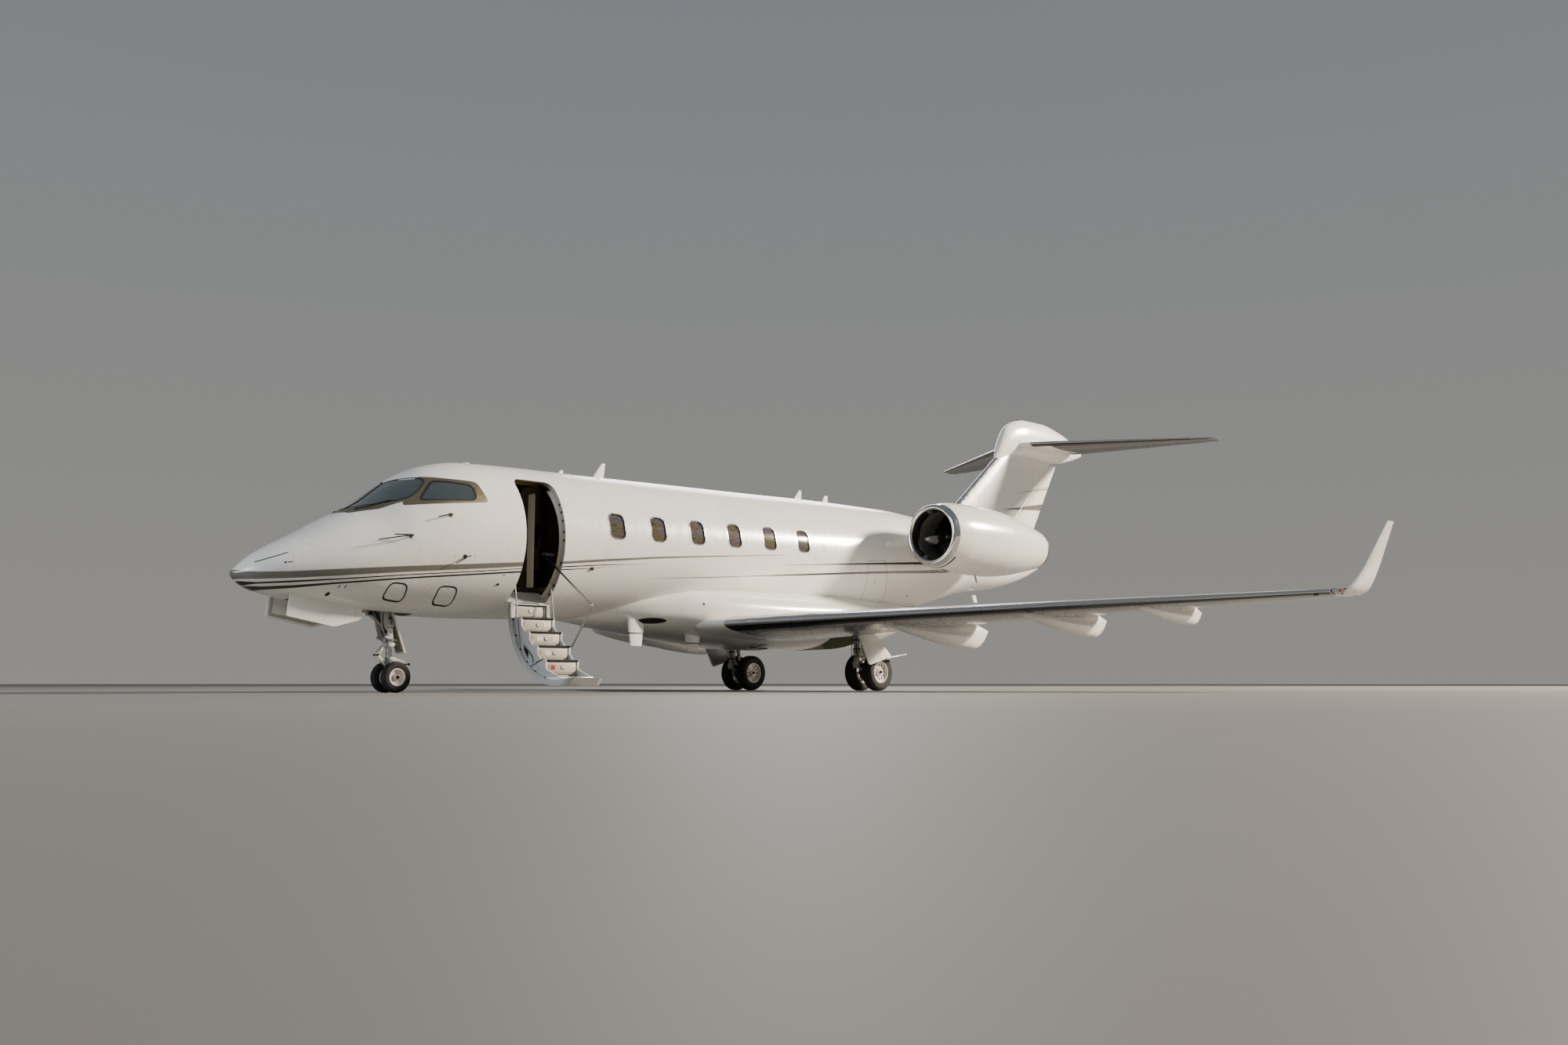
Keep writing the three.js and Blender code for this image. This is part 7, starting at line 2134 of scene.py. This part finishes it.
# Nose and flight-deck fittings.
# Anodised probes on cast bosses, flush ports, black lightning strips bonded to the radome, seals round
# the access hatches and a parked wiper on each side.
def skin_patch(name, outline, outer, inner, finish, read=fuselage_at, side=-1, hollow=None, power=1.0):
    """A thin piece that lies in the skin, cut to an outline in side view."""
    xs = [u for u, v in outline]
    piece = skin_layer(name, min(xs) - 0.05, max(xs) + 0.05, outer, inner, 0.04, read, power)
    low, high = sorted((side * 0.12, side * 1.6))
    carve(piece, prism("outline", outline, low, high, "y"), "INTERSECT")
    if hollow:
        carve(piece, prism("hollow", inset(outline, hollow), low, high, "y"))
    return in_finish(piece, finish)


def strip_outline(start, end, half):
    a, b = Vector(start), Vector(end)
    across = (b - a).normalized().orthogonal() * half
    return [tuple(a - across), tuple(b - across), tuple(b + across), tuple(a + across)]


def round_outline(x, z, radius, steps=20):
    return [(x + radius * math.cos(a), z + radius * math.sin(a))
            for a in np.linspace(0, 2 * math.pi, steps, endpoint=False)]


MARK_PROUD, MARK_DEEP = 0.001, -0.003
# Diverter strip, ports, dashes and studs on each side. Columns: outline in side view, how proud, finish
MARKS = [(strip_outline((0.218, 1.727), (0.579, 1.868), 0.0055), 0.0015, black_sealant),
         (round_outline(0.52, 1.727, 0.013), MARK_PROUD, black_sealant),
         (strip_outline((0.54, 1.73), (0.6, 1.736), 0.006), MARK_PROUD, black_sealant),
         (round_outline(1.134, 1.331, 0.026), MARK_PROUD, dark_fitting)]
MARKS += [(strip_outline((x + 0.004, z + 0.022), (x - 0.006, z - 0.022), 0.006), MARK_PROUD, black_sealant)
          for x, z in ((1.221, 1.432), (1.297, 1.434))]
MARKS += [(strip_outline((3.59, 1.697), (3.63, 1.697), 0.006), MARK_PROUD, black_sealant)]
MARKS += [(round_outline(x, z, 0.008, 10), MARK_PROUD, black_sealant)
          for x, z in ((2.721, 1.909), (3.047, 1.922))]
marks = [skin_patch("mark", outline, proud, MARK_DEEP, finish, side=side)
         for side in (-1, 1) for outline, proud, finish in MARKS]
dress(joined("nose_marks", marks), [], "airframe", "paint")

# Columns: outline in side view, height above the skin, depth in it, width of the seal, finish
HATCHES = [
    (softened([(1.857, 1.286), (1.866, 1.522), (2.152, 1.51), (2.216, 1.248)], 0.1),
     0.0012, -0.004, 0.02, black_sealant),
    (softened([(2.667, 1.242), (2.62, 1.508), (2.945, 1.504), (3.012, 1.222)], 0.1),
     0.0012, -0.004, 0.02, black_sealant),
    (softened([(11.605, 2.411), (12.114, 2.433), (12.366, 1.665), (11.662, 1.66)], 0.06),
     0.001, -0.004, 0.006, black_sealant),
    (strip_outline((11.845, 2.015), (11.9, 2.015), 0.016), 0.0015, -0.003, None, satin_aluminium),
]
hatches = [skin_patch("seal", outline, proud, deep, finish, side=side, hollow=width)
           for side in (-1, 1) for outline, proud, deep, width, finish in HATCHES]
dress(joined("hatch_seals", hatches), [], "airframe", "paint")

# Hard anodised probes: dark bronze-grey, slightly glossy
probe_metal = metal("hard_anodised_probe", "#3B3A37", "#5A5650", 0.34, 30.0, 0.8)
# Columns: foot in side view, then each arm's tip in side view and how far it stands off
PROBES = [((2.069, 2.154), [(1.82, 2.141, 0.07), (1.6, 2.05, 0.085)]),
          ((2.656, 2.49), [(2.435, 2.429, 0.065)]),
          ((2.895, 1.919), [(2.735, 1.833, 0.055), (2.969, 1.941, 0.03)])]
probes = []
for side in (-1, 1):
    for (x, z), tips in PROBES:
        foot, out = side_point(x, z, side)
        probes.append(domes("boss", [(foot, out)], 0.034, 0.006, 24))
        for tip_x, tip_z, stand in tips:
            tip, tip_out = side_point(tip_x, tip_z, side)
            high = foot + out * stand
            end = tip + tip_out * stand
            path = [tuple(spot - Vector((NOSE, 0, 0)))
                    for spot in (foot - out * 0.004, high, high.lerp(end, 0.5), end)]
            probes.append(tube("probe", bent(path, 0.03), 0.0085, 12))
# Low caps along the side. Columns: station, height, radius, rise, sides
CAPS = [(3.567, 1.566, 0.024, 0.012, 20), (5.167, 1.879, 0.03, 0.03, 20), (13.122, 1.826, 0.018, 0.008, 14)]
probes += [domes("cap", [side_point(x, z, side)], radius, rise, sides)
           for side in (-1, 1) for x, z, radius, rise, sides in CAPS]
dress(shade(joined("air_data_probes", probes)), [probe_metal], "airframe", "gear_steel")
wipers = []
for side in (-1, 1):
    spots = [crown_point(x, side * y) for x, y in ((1.62, 0.3), (1.72, 0.42), (1.85, 0.5), (1.98, 0.6))]
    path = [tuple(spot + out * 0.012 - Vector((NOSE, 0, 0))) for spot, out in spots]
    wipers.append(tube("wiper_arm", bent(path, 0.04), 0.006, 10))
    wipers.append(domes("wiper_hub", [spots[0]], 0.022, 0.018, 16))
dress(shade(joined("windshield_wipers", wipers)), [dark_fitting], "airframe", "gear_steel")


# Lights.
# A red strobe on the tail bullet and domed lamps under the wingtips, each on a sealed metal base.
# Moulded red lens: deep, glossy, hardly clear
lamp_red = clear_pane("red_beacon_lens", "#D8271C", 0.05, 0.2)
# Columns: station, Y, height, radius, rise, finish
TIP_LAMPS = [(12.93, 9.06, 1.496, 0.055, 0.035, titanium), (13.2, 9.34, 1.512, 0.028, 0.022, dark_fitting),
             (13.26, 9.42, 1.56, 0.026, 0.02, probe_metal)]
for side, tag in SIDES:
    pieces = [in_finish(domes("dome", [(at(x, side * y, z), Vector((0, 0, -1)))], radius, rise, 18), finish)
              for x, y, z, radius, rise, finish in TIP_LAMPS]
    dress(joined(f"wingtip_lamps_{tag}", pieces), [], "airframe", "glazing")
strobe = [in_finish(domes("strobe_base", [(at(18.3, 0, 6.105), Vector((0, 0, 1)))], 0.045, 0.01, 20),
                    dark_fitting),
          in_finish(domes("strobe_lens", [(at(18.3, 0, 6.112), Vector((0, 0, 1)))], 0.035, 0.032, 20),
                    lamp_red)]
dress(joined("tail_strobe", strobe), [], "airframe", "glazing")


# Drains, scoops and wicks.
# Drain masts under the cowls and the tail, a flush cooling inlet and a slot behind each lip, inlets, drains
# and domed vents on the belly fairing, and static wicks on the ailerons and winglets. The inlets and the
# slots are black sheets let into the skin: painted shade where they open.
MAST_PLACE, MAST_TOP, MAST_FOOT = (13.93, 13.99), 2.22, 2.075
PATCH_PROUD, PATCH_DEEP = 0.0012, -0.004
# Columns: station on the cowl, half width of its inlet
COWL_INLET = [(0.3 + 0.24 * share, half) for share,
              half in ((0, 0.004), (0.3, 0.03), (0.7, 0.045), (1, 0.05))]


def painted_shade_cowl_patch(name, places, cutter, matrix):
    """A thin black piece that lies in a cowl's outer skin, cut by a prism drawn about the engine's axis:
    painted shade standing in for the opening of the slot and of the inlet.
    """
    rings = [[(x, float(COWL_OUTER(x)[0]) + lift) for x in places] for lift in (PATCH_PROUD, PATCH_DEEP)]
    piece = turned(name, rings[0] + rings[1][::-1] + rings[0][:1], ENGINE_STEPS)
    carve(piece, cutter, "INTERSECT").data.transform(matrix)
    return in_finish(piece, black_sealant)


for side, tag in SIDES:
    place, y = engine_place(side), side * ENGINE_Y
    mast = fin_blade("mast", (MAST_PLACE[0], y, MAST_TOP), 0.07, 0.02, (MAST_PLACE[1], y, MAST_FOOT), 0.05,
                     0.014,
                     satin_aluminium)
    wedge = prism("wedge", [(0, 0), (side * 0.62, -0.62), (side * 0.3, -0.8), (side * -0.3, -0.8)], 0.1, 0.4,
                  "x")
    wedge.data.transform(Matrix.Translation((-NOSE, 0, 0)))
    tool = prism("tool", COWL_INLET + [(x, -half) for x, half in reversed(COWL_INLET)], 0.3, 0.9, "z")
    tool.data.transform(Matrix.Rotation(math.pi, 4, "X") @ Matrix.Translation((-NOSE, 0, 0)))
    parts = [mast, painted_shade_cowl_patch("slot", (0.178, 0.215), wedge, place),
             painted_shade_cowl_patch("inlet", np.linspace(0.28, 0.56, 8), tool, place)]
    dress(joined(f"cowl_fittings_{tag}", parts), [], "airframe", "paint")

tail_mast = fin_blade("tail_mast", (16.42, 0, 2.03), 0.16, 0.024, (16.5, 0, 1.87), 0.13, 0.016, antenna_paint)
dress(tail_mast, [], "airframe", "paint")

WINGLET_WICKS = [((14.45, 9.712, 2.64), 0.09), ((14.36, 9.6, 2.1), 0.07)]
AILERON_WICKS, AILERON_WICK_LONG = (7.6, 8.1, 8.6), 0.1
WICK_BASE, WICK_ENDS, WICK_DROOP = 0.005, [0.0025, 0.0016], 0.012
wicks = {}
for side, tag in SIDES:
    spots = [("airframe", (x, side * y, z), length) for (x, y, z), length in WINGLET_WICKS]
    for y in AILERON_WICKS:
        row = wing_at(y)
        spots.append((f"aileron_{tag}", (row[1] + row[3] - 0.01, side * y, row[2] - row[5]),
                      AILERON_WICK_LONG))
    for body, (x, y, z), length in spots:
        wick = [tube("base", [(x - 0.01, y, z), (x + 0.02, y, z)], WICK_BASE, 10),
                tube("wick", [(x + 0.02, y, z), (x + length, y, z - WICK_DROOP)], WICK_ENDS, 8)]
        wicks.setdefault(body, []).extend(wick)
for body, made in wicks.items():
    dress(shade(joined(f"static_wicks_{body}", made)), [dark_fitting], body, "gear_steel")

INLET_PLACE, INLET_LONG, INLET_SHARE = (6.63, 1.137), 0.23, 0.2
DRAIN_PLACE, DRAIN_RADIUS = (7.472, 1.428), 0.022
BELLY_VENTS = [(9.05, -0.72), (9.3, -0.7)]
vents = []
for side in (-1, 1):
    inlet = [(x, INLET_PLACE[1] + (z - INLET_PLACE[1]) * INLET_SHARE)
             for x, z in round_outline(*INLET_PLACE, INLET_LONG, 36)]
    # The flush inlet is a black sheet in the skin, painted shade where it opens; the drain is a dark fitting
    for outline, finish in ((inlet, black_sealant),
                            (round_outline(*DRAIN_PLACE, DRAIN_RADIUS), dark_fitting)):
        vents.append(skin_patch("vent", outline, 0.0015, -0.02, finish, belly_at, side, power=BELLY_POWER))
for x, y in BELLY_VENTS:
    foot = at(x, y, belly_at(x)[2] + 0.025)
    vents.append(in_finish(domes("vent", [(foot, Vector((0, 0, -1)))], 0.1, 0.04, 28), polished_rim))
dress(joined("belly_vents", vents), [], "airframe", "gear_steel")


# Floor, studio light and camera.
# A plain pale floor and a soft sky; the camera stands at floor level where the photograph was taken.
FLOOR_COLOUR = "#73716D"
floor = new_piece("studio_floor", [(-90, -70, 0), (120, -70, 0), (120, 150, 0), (-90, 150, 0)],
                  [(0, 1, 2, 3)])
floor_screed, tree, shader, place = new_finish("pale_floor_screed", Roughness=0.6)
mottle = add(tree, "TexNoise", {"Vector": place, "Scale": 0.35, "Detail": 6.0})
tone = add(tree, "Mix", {0: mottle.outputs[0], 6: linear(FLOOR_COLOUR), 7: linear("#7D7B77")},
           data_type="RGBA")
wire(tree, shader, Base_Color=tone.outputs[2])
floor.data.materials.append(floor_screed)

CAMERA_PLACE = (-18.700, -18.029, 0.140)
CAMERA_TILT, CAMERA_HEADING = 96.538, -46.204
LENS, SENSOR = 32.14, 36.0
camera = bpy.data.objects.new("camera", bpy.data.cameras.new("camera"))
camera.location = CAMERA_PLACE
camera.rotation_euler = (math.radians(CAMERA_TILT), 0, math.radians(CAMERA_HEADING))
camera.data.lens = LENS
camera.data.sensor_width = SENSOR
camera.data.clip_end = 500
bpy.context.scene.collection.objects.link(camera)
bpy.context.scene.camera = camera

# Columns: name, place, aimed at, size, power, colour
LAMPS = [
    ("key_softbox", (42.4, -29.4, 25.7), (2, 0, 2.5), 7, 95000, "#FFEFDC"),
    ("fill_softbox", (-34, 0, 14), (-4, 0, 2), 14, 5200, "#E6EEF8"),
    ("rim_softbox", (22, 20, 18), (2, 0, 3), 14, 3000, "#FFFFFF"),
]
for name, spot, target, size, power, tint in LAMPS:
    lamp = bpy.data.lights.new(name, "AREA")
    lamp.shape, lamp.size, lamp.energy = "DISK", size, power
    lamp.color = linear(tint)[:3]
    holder = bpy.data.objects.new(name, lamp)
    holder.location = spot
    holder.rotation_euler = (Vector(target) - Vector(spot)).to_track_quat("-Z", "Y").to_euler()
    bpy.context.scene.collection.objects.link(holder)

sky = bpy.data.worlds.new("studio_sky")
sky.use_nodes = True
bpy.context.scene.world = sky
tree = sky.node_tree
tree.nodes.clear()
height = add(tree, "SeparateXYZ", {0: add(tree, "TexCoord").outputs["Generated"]})
rise = add(tree, "MapRange", {0: height.outputs["Z"], 1: -0.05, 2: 0.5})
glow = add(tree, "Mix", {0: rise.outputs[0], 6: linear("#DDD9D0"), 7: linear("#B9C0C8")},
           data_type="RGBA")
backdrop = add(tree, "Background", {"Color": glow.outputs[2], "Strength": 0.42})
add(tree, "OutputWorld", {0: backdrop.outputs[0]})
